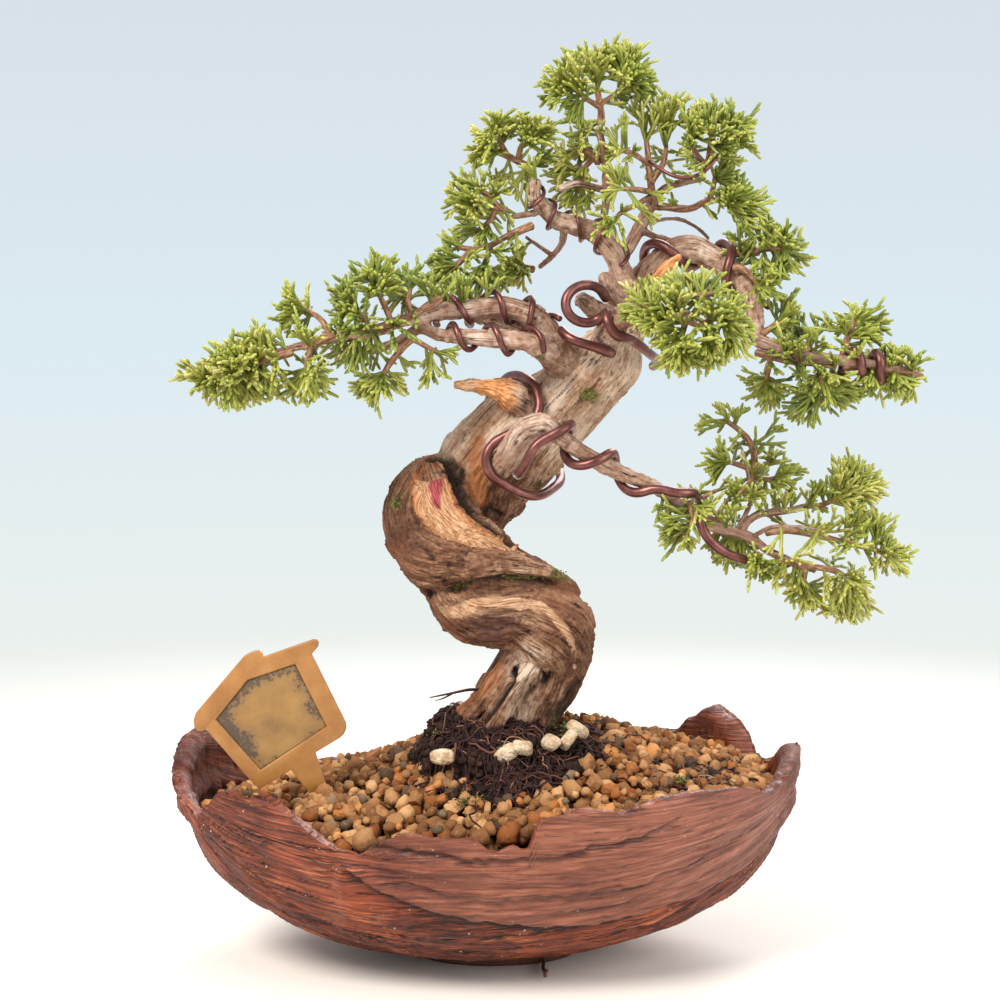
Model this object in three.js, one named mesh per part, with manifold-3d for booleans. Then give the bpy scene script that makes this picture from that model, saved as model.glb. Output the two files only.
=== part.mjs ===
// A juniper bonsai in a bark-like crescent pot, in millimetres, +Z up, front towards -Y.
// The origin is the middle of the pot's foot, on the surface that it stands on.
import * as THREE from "three";
import { mergeVertices } from "three/addons/utils/BufferGeometryUtils.js";
import Module from "manifold-3d";

const wasm = await Module();
wasm.setup();
const { Manifold, Mesh: SolidMesh } = wasm;

// ---------------------------------------------------------------- driving dimensions
const GAP = 0.4; // room between two pieces that lie against each other

const POT = {
  centreX: -2,
  halfLength: 82,
  halfDepth: 56,
  bellyBottom: 1, // underside of the belly, just above the foot's sole
  wall: 6, // thickness of the clay
  floor: 7, // height of the floor inside
  footLength: 44,
  footDepth: 30,
  fullness: 2.3, // roundness of the belly, where 2 would be an ellipse
  stepDepth: 1.6, // how far the shell steps in below its upper slabs
  ribDepth: 0.8,
  drainRadius: 5,
  drainX: 13,
  drainY: 3,
};

// Height of the torn rim, as [degrees anticlockwise from +X, height].
const RIM = [
  [0, 55], [6, 54], [12, 50], [24, 46], [27, 50], [32, 56], [38, 59], [44, 55.4], [48, 50.5], [56, 49.7],
  [66, 48], [80, 47], [96, 45.5], [112, 42.5], [126, 41], [140, 44], [152, 50], [163, 56], [172, 54],
  [180, 49], [188, 46.5], [196, 44], [205, 40.5], [212, 46], [217, 50.6], [223, 49.5], [228, 51.4],
    [237, 44.7],
  [243, 39.5], [247, 37.8], [251, 41], [256, 45.4], [261, 44], [268, 44.2], [271, 40.5], [275, 42.6],
  [277.5, 40.5], [279.5, 48.6], [287, 50.5], [294, 49.4], [304, 52.5], [314, 52.5], [325, 50.8],
    [330, 48.4],
  [338, 50], [346, 54], [353, 55.5],
];

// Height of the ledge where the upper slabs of the shell end, in the same way.
const LEDGE = [
  [0, 41], [21, 42], [39, 36.8], [56, 27.8], [72, 22.3], [88, 20.3], [105, 21.9], [121, 26.2], [138, 34],
  [153, 40], [180, 40], [206, 38], [217, 36], [222, 31], [228, 22], [236, 17], [240, 20], [243.5, 34],
  [245, 33.5], [254, 26.6], [267, 21.2], [282, 19.3], [300, 19.7], [318, 24], [328, 28.9], [337, 34.4],
  [350, 40],
];

const GRAIN = { size: 5.2, spacing: 15.8 }; // soil granules, drawn larger than life
const WIRE_THICK = 1.25; // radii of the three training wires
const WIRE_MEDIUM = 0.8;
const WIRE_THIN = 0.5;
const NEEDLE = { radius: 0.75, length: 7.5 };

// Training wire, as [x, y, z] points that are then pressed outwards until they lie on the wood.
const WIRES = {
  wire_trunk: {
    radius: WIRE_THICK,
    path: [[2.5, 10, 146], [4, 5, 149.5], [8, -3, 150.5], [10.5, -8, 148], [12, -11, 144.5],
      [11.5, -12.5, 141],
      [9, -13, 139], [6, -14, 137.5], [2.5, -14, 135.5], [0.5, -13.5, 132], [0.5, -13, 128.5],
        [2.5, -12, 124.5],
      [6, -11, 122], [10, -9, 120.5], [14, -3, 121], [17, 5, 123.5], [16, 13, 127], [9, 20, 131.5]],
  },
  wire_top: {
    radius: WIRE_THICK,
    path: [[28, -7, 170], [27.5, -10, 172.5], [25, -13.5, 174], [21.5, -16, 174], [18.5, -17.5, 172],
      [17.5, -18.5, 169], [19, -18.5, 166], [22, -17, 164.5], [25.5, -15.5, 164.5], [28.5, -16.5, 166.5],
      [31.5, -18.5, 165], [33, -18.5, 162], [35.5, -16, 160], [38, -12, 158], [40.5, -6, 156],
        [42.5, 1, 154.5],
      [41.5, 6, 153]],
  },
  wire_tip: {
    radius: WIRE_THIN,
    path: [[39.5, -2, 205], [43, -6, 202.5], [46.5, -7.5, 200.5], [50, -8, 200.5], [53, -8.5, 202],
      [55, -8.5, 204],
      [56.5, -6.5, 206.5]],
  },
  wire_low_end: {
    radius: WIRE_THICK,
    path: [[51.5, -20, 115.5], [52.5, -21.5, 112.5], [55, -21.5, 109.5], [59, -20, 107], [63, -17, 105.5]],
  },
  wire_crotch: {
    radius: WIRE_THICK,
    path: [[37.5, -9, 151], [34, -11.5, 152.5], [30, -13, 156], [26, -14, 158.5], [22, -15, 159.5],
      [18.5, -14.5, 161], [17, -11, 162.5]],
  },
};

// Training wire that winds round a branch, starting at its front.
const COILS = {
  wire_far: {
    radius: WIRE_THICK,
    branch: "farEnd",
    lead: [],
    from: 0.02,
    to: 0.6,
    turns: 1.9,
    start: 150,
  },
  wire_low: {
    radius: WIRE_THICK,
    branch: "lowerRight",
    lead: [[6, -21.5, 127], [8.5, -24, 130.5], [10, -25, 134.5]],
    from: 0.5,
    to: 0.985,
    turns: -2.1,
    start: 20,
    tail: [[46, -18, 122], [50, -16, 122.5], [52, -11, 120], [53.5, -8.5, 117.5]],
  },
  wire_left_a: { radius: WIRE_MEDIUM, branch: "leftUpper", lead: [], from: 0.27, to: 0.97, turns: 3.6,
    start: 90 },
  wire_left_b: { radius: WIRE_MEDIUM, branch: "leftLower", lead: [], from: 0.2, to: 0.97, turns: 2.6,
    start: 0 },
  wire_right: {
    radius: WIRE_THICK,
    branch: "rightUpper",
    lead: [[37, -4, 163.5]],
    from: 0.18,
    to: 0.93,
    turns: 2.2,
    start: 150,
  },
  wire_apex: { radius: WIRE_THIN, branch: "apexStem", lead: [], from: 0.12, to: 0.97, turns: 4.5,
    start: 0 },
};

// Lines that a coil follows beyond the end of the wood.
const GUIDES = {
  farEnd: [[88.5, -10, 153.5, 1.6], [93, -9, 153.5, 1.6], [97, -9, 153, 1.6], [101.5, -9, 152.5, 1.6],
    [106, -9, 152, 1.6]],
};

// Thin wire that comes out of a drain hole under the foot and ends in a small curl.
const TIE = {
  radius: 0.5,
  path: [[13, 3, 6], [13, 2.4, 2.6], [13, -0.5, 1], [13, -8, 0.9], [13, -16, 0.9], [12.6, -20.5, 0.9],
    [13.4, -23, 0.8], [14.6, -24.2, 1.8], [13.4, -24.8, 3], [12.1, -25.2, 1.9], [13.2, -25.7, 0.9]],
};

// Blank plant label in its own plane: [across, up] from the foot of its stake.
const LABEL = {
  foot: [-44.5, -20, 38],
  lean: 27.5,
  thickness: 1.6,
  recess: 0.5,
  outline: [[4, 0], [5.9, 0], [8.8, 17], [16.1, 17.5], [18, 18.2], [19.2, 19.8], [19.7, 39.5], [22.3, 40.7],
    [22.6, 41.8], [21.8, 42.5], [8.6, 44.5], [8.8, 45.6], [8, 46.6], [4.5, 46.9], [-13.1, 39.6],
    [-14.6, 38.2], [-15, 36.6], [-14.2, 35], [-12.6, 35], [-8.7, 17], [-7.3, 15.3], [1.4, 16]],
  window: [[-5.6, 19.3], [14.6, 21.5], [15, 39.3], [2.4, 41.2], [-9.5, 36]],
  room: [[3.6, -1], [6.2, -1], [9.5, 19], [0.5, 19]], // the hole that the stake needs
};

// Pale grains lying on the soil: [x, y, z, radius].
const PUMICE = [[-12.5, -23, 56.5, 2.4], [3.5, -21, 57, 2.6], [7.6, -22, 58.6, 2.2], [14.5, -19.5, 59.4, 2.5],
  [19, -18.5, 60, 2.2], [21.5, -14, 61.5, 2.4]];

// Leafy sprays. Each has bare stems and the tips that its shoots reach.
const SPRAYS = {
  apex: {
    stems: [
      [[27.5, 1, 214.5], [27.5, 1, 217.5], [27, 1, 220.5], [26.5, 1, 223.5]],
      [[27, 1, 219], [23.5, 0, 221], [20.5, 0, 223.5]],
      [[27, 1, 219.5], [31, 1, 222], [34, 1, 225]],
    ],
    tips: [
      [13.5, 0, 225.5], [12.5, -3, 222.5], [14.5, 3, 229.5], [19, 5, 233], [22.5, 0, 233.5],
      [20.5, -10, 229], [27.5, 2, 235], [28.5, -10, 230], [33, 0, 235], [38, 0, 230.5], [39.5, 4, 227],
      [41, -2, 223.5], [25, 12, 230], [30, 12, 230.5], [19, 9, 227.5], [34, -9, 228],
    ],
  },
  topright: {
    stems: [
      [[53, -4, 202.5], [54.5, -3, 205.5], [55, -2, 209], [55.5, -2, 212]],
      [[54, -3, 204], [51, -3, 207.5], [50.5, -3, 210.5]],
      [[55, -2, 207.5], [58.5, 0, 210.5], [60, 0, 213]],
    ],
    tips: [
      [56.5, 0, 221], [53.5, 4, 220], [50.5, -6, 217], [59.5, 4, 219.5], [62, -2, 215.5], [64, 2, 217],
      [66, 0, 214.5], [62.5, -4, 208.5], [66.5, 0, 208], [48, -3, 212], [55, -12, 213.5],
      [58.5, 9, 215], [51, -12, 209.5], [47, 0, 220],
    ],
  },
  centre: {
    stems: [
      [[41, 2, 194.5], [40.5, 2, 198], [40, 1, 202], [39.5, 0, 206], [39, 0, 210]],
      [[40.5, 1, 200], [43, 1, 204], [44, 1, 208], [44, 1, 212]],
      [[39.5, 0, 204.5], [35.5, -2, 207], [32, -3, 208]],
      [[40.5, 2, 196.5], [37, -2, 194.5], [33, -4, 192.5], [30, -5, 190]],
      [[40.5, 1, 197.5], [35.5, -4, 198], [31.5, -6, 198]],
    ],
    tips: [
      [35, 0, 221], [36.5, 3, 220.5], [33.5, -4, 217], [40.5, 1, 223], [46.5, 0, 222.5], [42, 2, 217],
      [28.5, -3, 214], [27, -4, 210], [28.5, -5, 204.5], [32, -7, 201], [47, -7, 201], [23.5, -5, 192],
      [28, -8, 197.5], [29, -8, 185.5], [38, 10, 204], [45.5, 10, 204.5], [37, -6, 189.5],
    ],
  },
  inner: {
    stems: [
      [[27, 3, 205], [26, 4, 206.5], [24, 4, 208], [21, 3, 208]],
      [[26, 4, 206.5], [23.5, 4, 204], [20.5, 3, 202.5]],
      [[24, 4, 203.5], [22.5, 5, 200], [21.5, 5, 197.5]],
    ],
    tips: [
      [20.5, 5, 211.5], [15.5, 1, 208.5], [13, 4, 205.5], [16, -1, 204], [25, 3, 200], [21.5, 4, 192],
      [25, 8, 193.5], [18.5, 2, 193.5], [22.5, 12, 208.5],
    ],
  },
  upperleft: {
    stems: [
      [[9, 1, 204], [6, 2, 205.5], [3, 3, 207], [0, 3, 208]],
      [[6.5, 2, 205.5], [7, 2, 208.5], [8.5, 2, 211]],
      [[3.5, 3, 207], [2, 2, 210], [1, 1, 213]],
    ],
    tips: [
      [1, 0, 217.5], [-2.5, 4, 215.5], [-6, -2, 213], [-5, -4, 209], [-4, -3, 204], [4, 5, 216.5],
      [7.5, 0, 216], [10.5, 3, 216.5], [14.5, 4, 214], [16, -2, 212], [17.5, 0, 208], [2, -9, 211.5],
      [5, 11, 213], [-1, -11, 207.5], [2, 0, 200.5], [10, -10, 210],
    ],
  },
  leftmid: {
    stems: [
      [[3.5, 2, 193], [1, 1, 193], [-1.5, 0, 194], [-5, -1, 194.5]],
      [[2, 1, 193], [-1, 1, 196.5], [-4, 0, 198]],
      [[1, 1, 193], [-1, 0, 190], [-3.5, 0, 188]],
    ],
    tips: [
      [-8.5, 3, 202.5], [-11.5, 0, 198], [-11.5, -3, 195], [-9.5, -5, 189], [2, 4, 203],
      [-4.5, 0, 185.5], [-0.5, -4, 185], [5.5, 3, 188.5], [-4.5, -11, 196], [-3.5, 12, 192.5],
    ],
  },
  leftlow: {
    stems: [
      [[10, 1, 189], [6.5, 0, 187.5], [3, 0, 186], [-0.5, -1, 184], [-5, -2, 183], [-8.5, -2, 183.5]],
      [[-0.5, -1, 184], [-1.5, -2, 181], [-2.5, -2, 178]],
      [[-5.5, -2, 183], [-8.5, -3, 179.5], [-11, -3, 177]],
    ],
    tips: [
      [-13.5, 2, 186.5], [-14, -4, 183.5], [-17, 0, 179.5], [-15, -5, 174.5], [-11.5, 0, 172.5],
      [-8, -9, 173.5], [-4.5, 2, 170.5], [-0.5, -6, 174], [3, -7, 179.5], [3.5, 3, 173.5], [7, -4, 181],
      [-10.5, 10, 180], [-3.5, 10, 176], [-5.5, -13, 179],
    ],
  },
  drop: {
    stems: [
      [[10.5, 9, 178], [8, 9, 178.5], [5, 8, 179]],
    ],
    tips: [
      [9, 7, 176], [6, 7, 173.5], [3.5, 8, 174], [2, 9, 180], [6, 8, 181.5],
    ],
  },
  right: {
    stems: [
      [[43.5, 4, 194], [47, 5, 193.5], [51, 4, 193.5], [54, 1, 195], [57, 0, 195.5], [60, -1, 194.5]],
      [[55, 1, 195], [56, 1, 198], [56.5, 1, 201]],
    ],
    tips: [
      [62, 2, 204.5], [62, -3, 202.5], [64, 0, 198.5], [67.5, 3, 196], [70, 0, 194.5], [67, -4, 193],
      [64, -3, 190.5], [66, 0, 187], [56, 0, 191], [55.5, 0, 204], [61, 9, 195.5], [58.5, -9, 196.5],
      [45, 7, 196],
    ],
  },
  rightmid: {
    stems: [
      [[59.5, 1, 181.5], [62.5, -1, 182], [66, -2, 182.5], [69.5, -3, 183], [73.5, -3, 183.5]],
    ],
    tips: [
      [68, 0, 189], [71, 3, 190], [73.5, -3, 188.5], [77.5, 0, 185.5], [80.5, 4, 183], [81, 0, 180],
      [77, -4, 176.5], [74, 4, 178], [70, -4, 176.5], [65, 0, 184.5], [73, -11, 184], [75.5, 7, 184],
    ],
  },
  under: {
    stems: [
      [[61, -4, 178.5], [63, -6, 178], [65.5, -6, 176], [67.5, -6, 174]],
    ],
    tips: [
      [68, -7, 176.5], [72, -3, 174], [73.5, -5, 171], [68, -9, 170.5], [68, -1, 178.5],
    ],
  },
  front: {
    stems: [
      [[35, -25, 168], [37.5, -28, 168], [40.5, -31, 167.5], [44, -34, 166.5], [47.5, -36, 165],
        [51, -37, 163.5]],
      [[42.5, -32, 167.5], [45.5, -31, 170.5], [49, -31, 171.5], [53, -32, 172]],
      [[46.5, -35, 165.5], [45.5, -36, 162.5], [44.5, -36, 159.5]],
      [[49.5, -36, 164], [53.5, -36, 166], [57, -35, 165]],
    ],
    tips: [
      [35.5, -22, 174.5], [33, -31, 171.5], [42.5, -24, 177], [40.5, -38, 174], [48.5, -28, 177],
      [51.5, -26, 178], [47, -22, 175], [43.5, -41, 173], [59, -34, 172], [57, -30, 173.5],
      [58, -38, 169], [60.5, -34, 167], [63, -30, 165], [62, -36, 159], [57.5, -38, 158],
      [54, -36, 154.5], [54, -46, 161.5], [50.5, -38, 155], [46.5, -36, 153.5], [41.5, -32, 154],
      [41, -29, 156.5], [47.5, -46, 160], [39, -35, 160], [35.5, -33, 163], [31.5, -25, 167.5],
      [34, -29, 164.5], [38, -41, 166], [44, -45, 167.5], [52, -43, 168.5], [51, -24, 167.5],
    ],
  },
  fartop: {
    stems: [
      [[68, -9, 162], [70, -8, 163], [72, -6, 164.5]],
    ],
    tips: [
      [78, -2, 169], [75, -6, 165.5], [73, -12, 163], [73, -9, 160],
    ],
  },
  far: {
    stems: [
      [[66.5, -9, 157], [70, -9, 156], [74, -10, 155], [78.5, -10, 154.5], [83, -10, 154],
        [86, -10, 153.5]],
      [[70, -9, 156], [69.5, -9, 152.5], [69, -9, 149.5]],
      [[78.5, -10, 154.5], [79.5, -9, 157.5], [80.5, -8, 159.5]],
      [[82, -10, 154], [83, -9, 150.5], [84.5, -8, 148]],
    ],
    tips: [
      [62.5, -11, 150], [65.5, -6, 147.5], [69, -9, 145], [72.5, -5, 142], [77.5, 0, 139],
      [71, -17, 151.5], [76.5, -2, 162], [80, -5, 163.5], [85, 0, 164], [76, -18, 159.5], [74, 4, 159],
      [88.5, -8, 146], [91.5, -6, 144], [88, -2, 143.5], [84, -3, 142.5], [79.5, -8, 146],
      [77.5, 0, 146], [79, -19, 149.5], [74.5, -3, 147.5], [93, -9, 147.5], [82.5, -18, 160],
      [81, 5, 155.5], [88.5, 4, 151.5],
    ],
  },
  farup: {
    stems: [
      [[88.5, -8, 156.5], [89.5, -6, 159.5], [91, -4, 162.5], [92, -3, 165.5]],
    ],
    tips: [
      [89, -5, 166.5], [92.5, -3, 169], [95.5, 2, 168.5], [97, 0, 165], [98, -5, 161.5],
      [93, -13, 163.5], [87.5, 2, 162.5],
    ],
  },
  farend: {
    stems: [
      [[88.5, -10, 153.5], [93, -9, 153.5], [97, -9, 153], [101.5, -9, 152.5], [106, -9, 152],
        [108.5, -8, 151]],
    ],
    tips: [
      [95, -7, 147], [91.5, -12, 149], [97, -11, 158], [101, -8, 158.5], [104, -7, 159],
      [106, -12, 156], [108, -3, 153.5], [99, -9, 147], [102.5, -8, 145], [105, -12, 148],
      [105, -3, 144],
    ],
  },
  lowleft: {
    stems: [
      [[49.5, -14, 119.5], [50.5, -15, 116], [49.5, -14, 113], [48, -12, 111.5]],
      [[52, -10, 119], [54.5, -6, 120.5], [57, -4, 121.5]],
    ],
    tips: [
      [41.5, -13, 112.5], [43, -15, 118.5], [42, -18, 116], [43, -10, 109.5], [48, -18, 109],
      [51, -13, 107.5], [50.5, -5, 122], [61, -3, 123.5], [53, -22, 117],
    ],
  },
  lowmid: {
    stems: [
      [[53, -5, 115.5], [56.5, -4, 114], [60.5, -4, 112], [63, -5, 110]],
      [[57, -4, 113.5], [58.5, -5, 117], [60, -5, 119.5]],
    ],
    tips: [
      [55.5, -2, 105.5], [57, -4, 103], [60.5, -5, 103], [64.5, -6, 104], [63, -10, 120.5],
      [54.5, 0, 118], [63, 6, 110.5], [63.5, 1, 115],
    ],
  },
  lowtop: {
    stems: [
      [[66.5, -4, 124], [67, -2, 126.5], [67, -2, 130.5], [65.5, -2, 134.5], [63, -2, 137],
        [59.5, -1, 139.5]],
      [[67, -2, 126.5], [63.5, -3, 128], [59.5, -3, 129]],
      [[66.5, -3, 125.5], [70, -3, 128], [73.5, -3, 129]],
      [[66.5, -4, 124.5], [64, -6, 122], [62, -8, 120.5]],
      [[66.5, -4, 125], [70.5, -5, 124.5], [74.5, -4, 125.5]],
    ],
    tips: [
      [52.5, -2, 138.5], [58, 0, 143.5], [60, -6, 134.5], [63, 3, 131], [68.5, 1, 133.5],
      [71.5, 1, 133], [75, -4, 129.5], [68.5, -12, 129], [58, 0, 131.5], [54, -5, 126.5],
      [60, -8, 124.5], [61, -11, 118.5], [68.5, -10, 121.5], [73, -9, 122.5], [78, -3, 127.5],
      [76, -3, 120.5], [71.5, 7, 129.5], [67.5, 4, 119],
    ],
  },
  lowright: {
    stems: [
      [[64, -6, 113], [67.5, -6, 115.5], [72, -5, 116], [76, -4, 116.5], [80, -4, 117.5],
        [84.5, -4, 118], [88.5, -4, 120]],
    ],
    tips: [
      [91, 0, 130], [92.5, -6, 130], [96.5, 3, 129], [98, -2, 127.5], [98.5, -8, 124.5],
      [100.5, 0, 121.5], [96.5, -3, 117], [91, -8, 117], [89.5, 4, 126], [81, -2, 122], [73, 2, 119],
      [68.5, -12, 119.5],
    ],
  },
  lowbranch: {
    stems: [
      [[69.5, -10, 111.5], [73.5, -10, 112], [78, -9, 111.5], [82.5, -9, 110.5], [87, -9, 109.5],
        [92.5, -8, 108], [97, -8, 107], [101, -8, 105]],
    ],
    tips: [
      [98, -5, 115.5], [92.5, -13, 114], [88.5, -16, 115.5], [104, -7, 108.5], [101.5, 2, 108.5],
      [107, -6, 105.5], [105.5, -9, 101], [100, -8, 100], [96, -18, 104], [82.5, -19, 114.5],
      [84, 2, 113], [88.5, -21, 109], [91, 4, 110], [73, -2, 114.5],
    ],
  },
  lowend: {
    stems: [
      [[72, -11, 105], [75.5, -11, 104], [79.5, -11, 103], [83.5, -11, 102.5], [87.5, -11, 101.5],
        [90.5, -11, 99.5]],
      [[78, -11, 103], [79, -10, 100], [79, -9, 97]],
    ],
    tips: [
      [96.5, -9, 96], [97, -7, 92], [94.5, -4, 90.5], [91, -8, 88.5], [87, -13, 89.5], [85.5, -6, 90],
      [81.5, -11, 92], [79.5, -5, 92.5], [75, -8, 94], [74.5, -13, 97.5], [73, -10, 100.5],
      [89, -22, 100], [95.5, 0, 100], [84, -20, 97.5], [87.5, 0, 103], [84, 2, 95], [76, -18, 106.5],
    ],
  },
  lowtuft: {
    stems: [
      [[66.5, -13, 106.5], [67, -13, 105], [67, -13, 103.5]],
    ],
    tips: [
      [63.5, -14, 101.5], [66.5, -11, 99.5], [70, -14, 102], [64, -18, 106], [67.5, -20, 105],
    ],
  },
  leftinner: {
    stems: [
      [[-13, -17, 170.5], [-16.5, -17, 168.5], [-20, -17, 166.5], [-23.5, -17, 165], [-27, -18, 164],
        [-30.5, -18, 163.5], [-34, -18, 163]],
      [[-20, -17, 166.5], [-21, -15, 169.5], [-20.5, -13, 173]],
      [[-25, -18, 164.5], [-26.5, -18, 168.5], [-28, -18, 171.5], [-29, -17, 175]],
      [[-30.5, -18, 163.5], [-33, -18, 167], [-35.5, -17, 169.5]],
    ],
    tips: [
      [-30, -12, 181.5], [-25.5, -19, 180.5], [-23.5, -23, 177.5], [-21, -11, 178], [-18, -7, 176],
      [-15, -12, 173], [-35.5, -14, 178], [-32.5, -18, 177.5], [-38.5, -14, 174], [-37.5, -23, 171.5],
      [-40.5, -12, 170], [-31, -27, 172.5], [-27.5, -28, 173.5], [-34.5, -28, 167], [-41, -18, 159],
      [-36.5, -15, 155.5], [-35, -18, 152.5], [-31, -14, 152.5], [-24.5, -28, 160], [-31, -28, 159.5],
      [-18, -25, 165], [-31, -6, 170], [-24.5, -5, 170], [-32, -6, 165.5],
    ],
  },
  leftdrop: {
    stems: [
      [[-19.5, -16, 161], [-22, -15, 159], [-24, -14, 156.5], [-26, -14, 154], [-27.5, -14, 151.5]],
      [[-19.5, -16, 160.5], [-17, -16, 159], [-14, -16, 157.5]],
    ],
    tips: [
      [-34, -15, 150], [-34, -14, 147], [-31.5, -11, 145], [-29, -15, 145], [-26.5, -18, 146],
      [-25, -10, 150], [-14.5, -14, 149.5], [-9, -16, 156], [-16, -12, 153.5],
    ],
  },
  leftmiddle: {
    stems: [
      [[-36.5, -18, 162.5], [-39.5, -20, 161.5], [-43, -21, 160], [-46.5, -22, 158.5]],
      [[-40, -20, 161.5], [-42, -19, 165], [-44.5, -18, 167], [-47, -18, 168]],
      [[-44.5, -22, 159.5], [-45.5, -22, 156], [-46, -21, 153.5]],
    ],
    tips: [
      [-50.5, -17, 173], [-52, -22, 170], [-53, -20, 164], [-47, -15, 171.5], [-52, -18, 163],
      [-52.5, -21, 146], [-46.5, -24, 148.5], [-46, -20, 144.5], [-43.5, -17, 146.5],
      [-42.5, -15, 149.5], [-43.5, -30, 151.5], [-44.5, -30, 163], [-45, -10, 157.5],
    ],
  },
  leftouter: {
    stems: [
      [[-49.5, -22, 157.5], [-52.5, -23, 156.5], [-56, -23, 155.5], [-59.5, -23, 154],
        [-63, -23, 152.5], [-66.5, -22, 151.5], [-70, -22, 151]],
    ],
    tips: [
      [-56.5, -18, 161.5], [-58, -20, 164], [-60, -26, 162.5], [-62.5, -17, 159.5], [-61, -29, 158],
      [-64.5, -20, 160.5], [-67, -25, 158.5], [-69.5, -19, 154], [-61, -33, 156.5], [-64, -33, 152],
      [-53.5, -34, 155.5], [-78, -21, 154.5], [-74, -18, 154.5], [-76.5, -24, 151.5], [-74, -21, 148.5],
      [-71, -22, 147], [-70, -17, 145], [-65.5, -26, 144], [-61.5, -22, 143.5], [-60, -15, 145.5],
      [-57, -23, 146], [-54.5, -18, 146], [-50, -26, 149], [-57, -32, 150], [-61, -10, 155.5],
      [-66, -11, 153.5], [-55, -10, 157.5], [-69, -31, 150],
    ],
  },
};

// ---------------------------------------------------------------- small tools
const vec = (p) => new THREE.Vector3(p[0], p[1], p[2]);
const lerp = THREE.MathUtils.lerp;
const rad = THREE.MathUtils.degToRad;

// A repeatable random number from 0 to 1.
function randomSource(seed) {
  let state = seed;
  return () => {
    state = (state * 1664525 + 1013904223) % 4294967296;
    return state / 4294967296;
  };
}

function solidOf(geometry) {
  const bare = geometry.clone();
  bare.deleteAttribute("normal");
  bare.deleteAttribute("uv");
  const merged = mergeVertices(bare, 1e-4);
  return new Manifold(
    new SolidMesh({
      numProp: 3,
      vertProperties: merged.attributes.position.array,
      triVerts: new Uint32Array(merged.index.array),
    }),
  );
}

// The largest piece of a solid, so that a loose scrap is dropped.
function largest(solid) {
  return solid.decompose().reduce((a, b) => (a.volume() > b.volume() ? a : b));
}

function geometryOf(solid) {
  const mesh = solid.getMesh();
  const geometry = new THREE.BufferGeometry();
  geometry.setAttribute("position", new THREE.BufferAttribute(new Float32Array(mesh.vertProperties), 3));
  geometry.setIndex(new THREE.BufferAttribute(new Uint32Array(mesh.triVerts), 1));
  geometry.computeVertexNormals();
  return geometry;
}

// A closed skin over rings of equally many points, with a fan at each end. Rings run anticlockwise
// seen from the last ring's end.
function skin(rings) {
  const sides = rings[0].length;
  const positions = rings.flat().flatMap((p) => [p.x, p.y, p.z]);
  const middle = (ring) => ring.reduce((sum, p) => sum.add(p), new THREE.Vector3()).divideScalar(sides);
  const first = middle(rings[0]);
  const last = middle(rings[rings.length - 1]);
  positions.push(first.x, first.y, first.z, last.x, last.y, last.z);
  const firstIndex = rings.length * sides;
  const faces = [];
  for (let k = 0; k < sides; k++) {
    const next = (k + 1) % sides;
    for (let r = 0; r < rings.length - 1; r++) {
      const a = r * sides;
      faces.push(a + k, a + next, a + sides + next, a + k, a + sides + next, a + sides + k);
    }
    const top = (rings.length - 1) * sides;
    faces.push(firstIndex, next, k, firstIndex + 1, top + k, top + next);
  }
  const geometry = new THREE.BufferGeometry();
  geometry.setAttribute("position", new THREE.Float32BufferAttribute(positions, 3));
  geometry.setIndex(faces);
  return geometry;
}

// ---------------------------------------------------------------- wood
// A limb of wood: [x, y, z, radius] points, round or with flutes that wind round it. Ring planes
// are carried along the curve without twist, and both ends are rounded.
function limb(points, sides, { grow = 0, flutes = 0, depth = 0.07, wind = 0.05, perSpan = 2 } = {}) {
  const curve = new THREE.CatmullRomCurve3(points.map(vec), false, "centripetal");
  const spans = points.length - 1;
  const steps = spans * perSpan;
  const radiusAt = (t) => {
    const s = Math.min(t * spans, spans - 1e-6);
    const i = Math.floor(s);
    return lerp(points[i][3], points[i + 1][3], s - i);
  };
  const rings = [];
  let side = new THREE.Vector3(0, -1, 0);
  let travelled = 0;
  let before = curve.getPoint(0);
  const addRing = (centre, along, radius) => {
    side.addScaledVector(along, -side.dot(along)).normalize();
    const up = new THREE.Vector3().crossVectors(along, side);
    const ring = [];
    for (let k = 0; k < sides; k++) {
      const a = (2 * Math.PI * k) / sides;
      const r = radius * (1 + depth * Math.sin(flutes * a + wind * travelled) * Math.sign(flutes));
      ring.push(centre.clone().addScaledVector(side, r * Math.cos(a)).addScaledVector(up, r * Math.sin(a)));
    }
    rings.push(ring);
  };
  const END = { back: 0.35, share: 0.55 };
  for (let i = 0; i <= steps; i++) {
    const t = i / steps;
    const centre = curve.getPoint(t);
    const along = curve.getTangent(t);
    travelled += centre.distanceTo(before);
    before = centre;
    const r = radiusAt(t) + grow;
    if (i === 0) addRing(centre.clone().addScaledVector(along, -r * END.back), along, r * END.share);
    addRing(centre, along, r);
    if (i === steps) addRing(centre.clone().addScaledVector(along, r * END.back), along, r * END.share);
  }
  return skin(rings);
}

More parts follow.
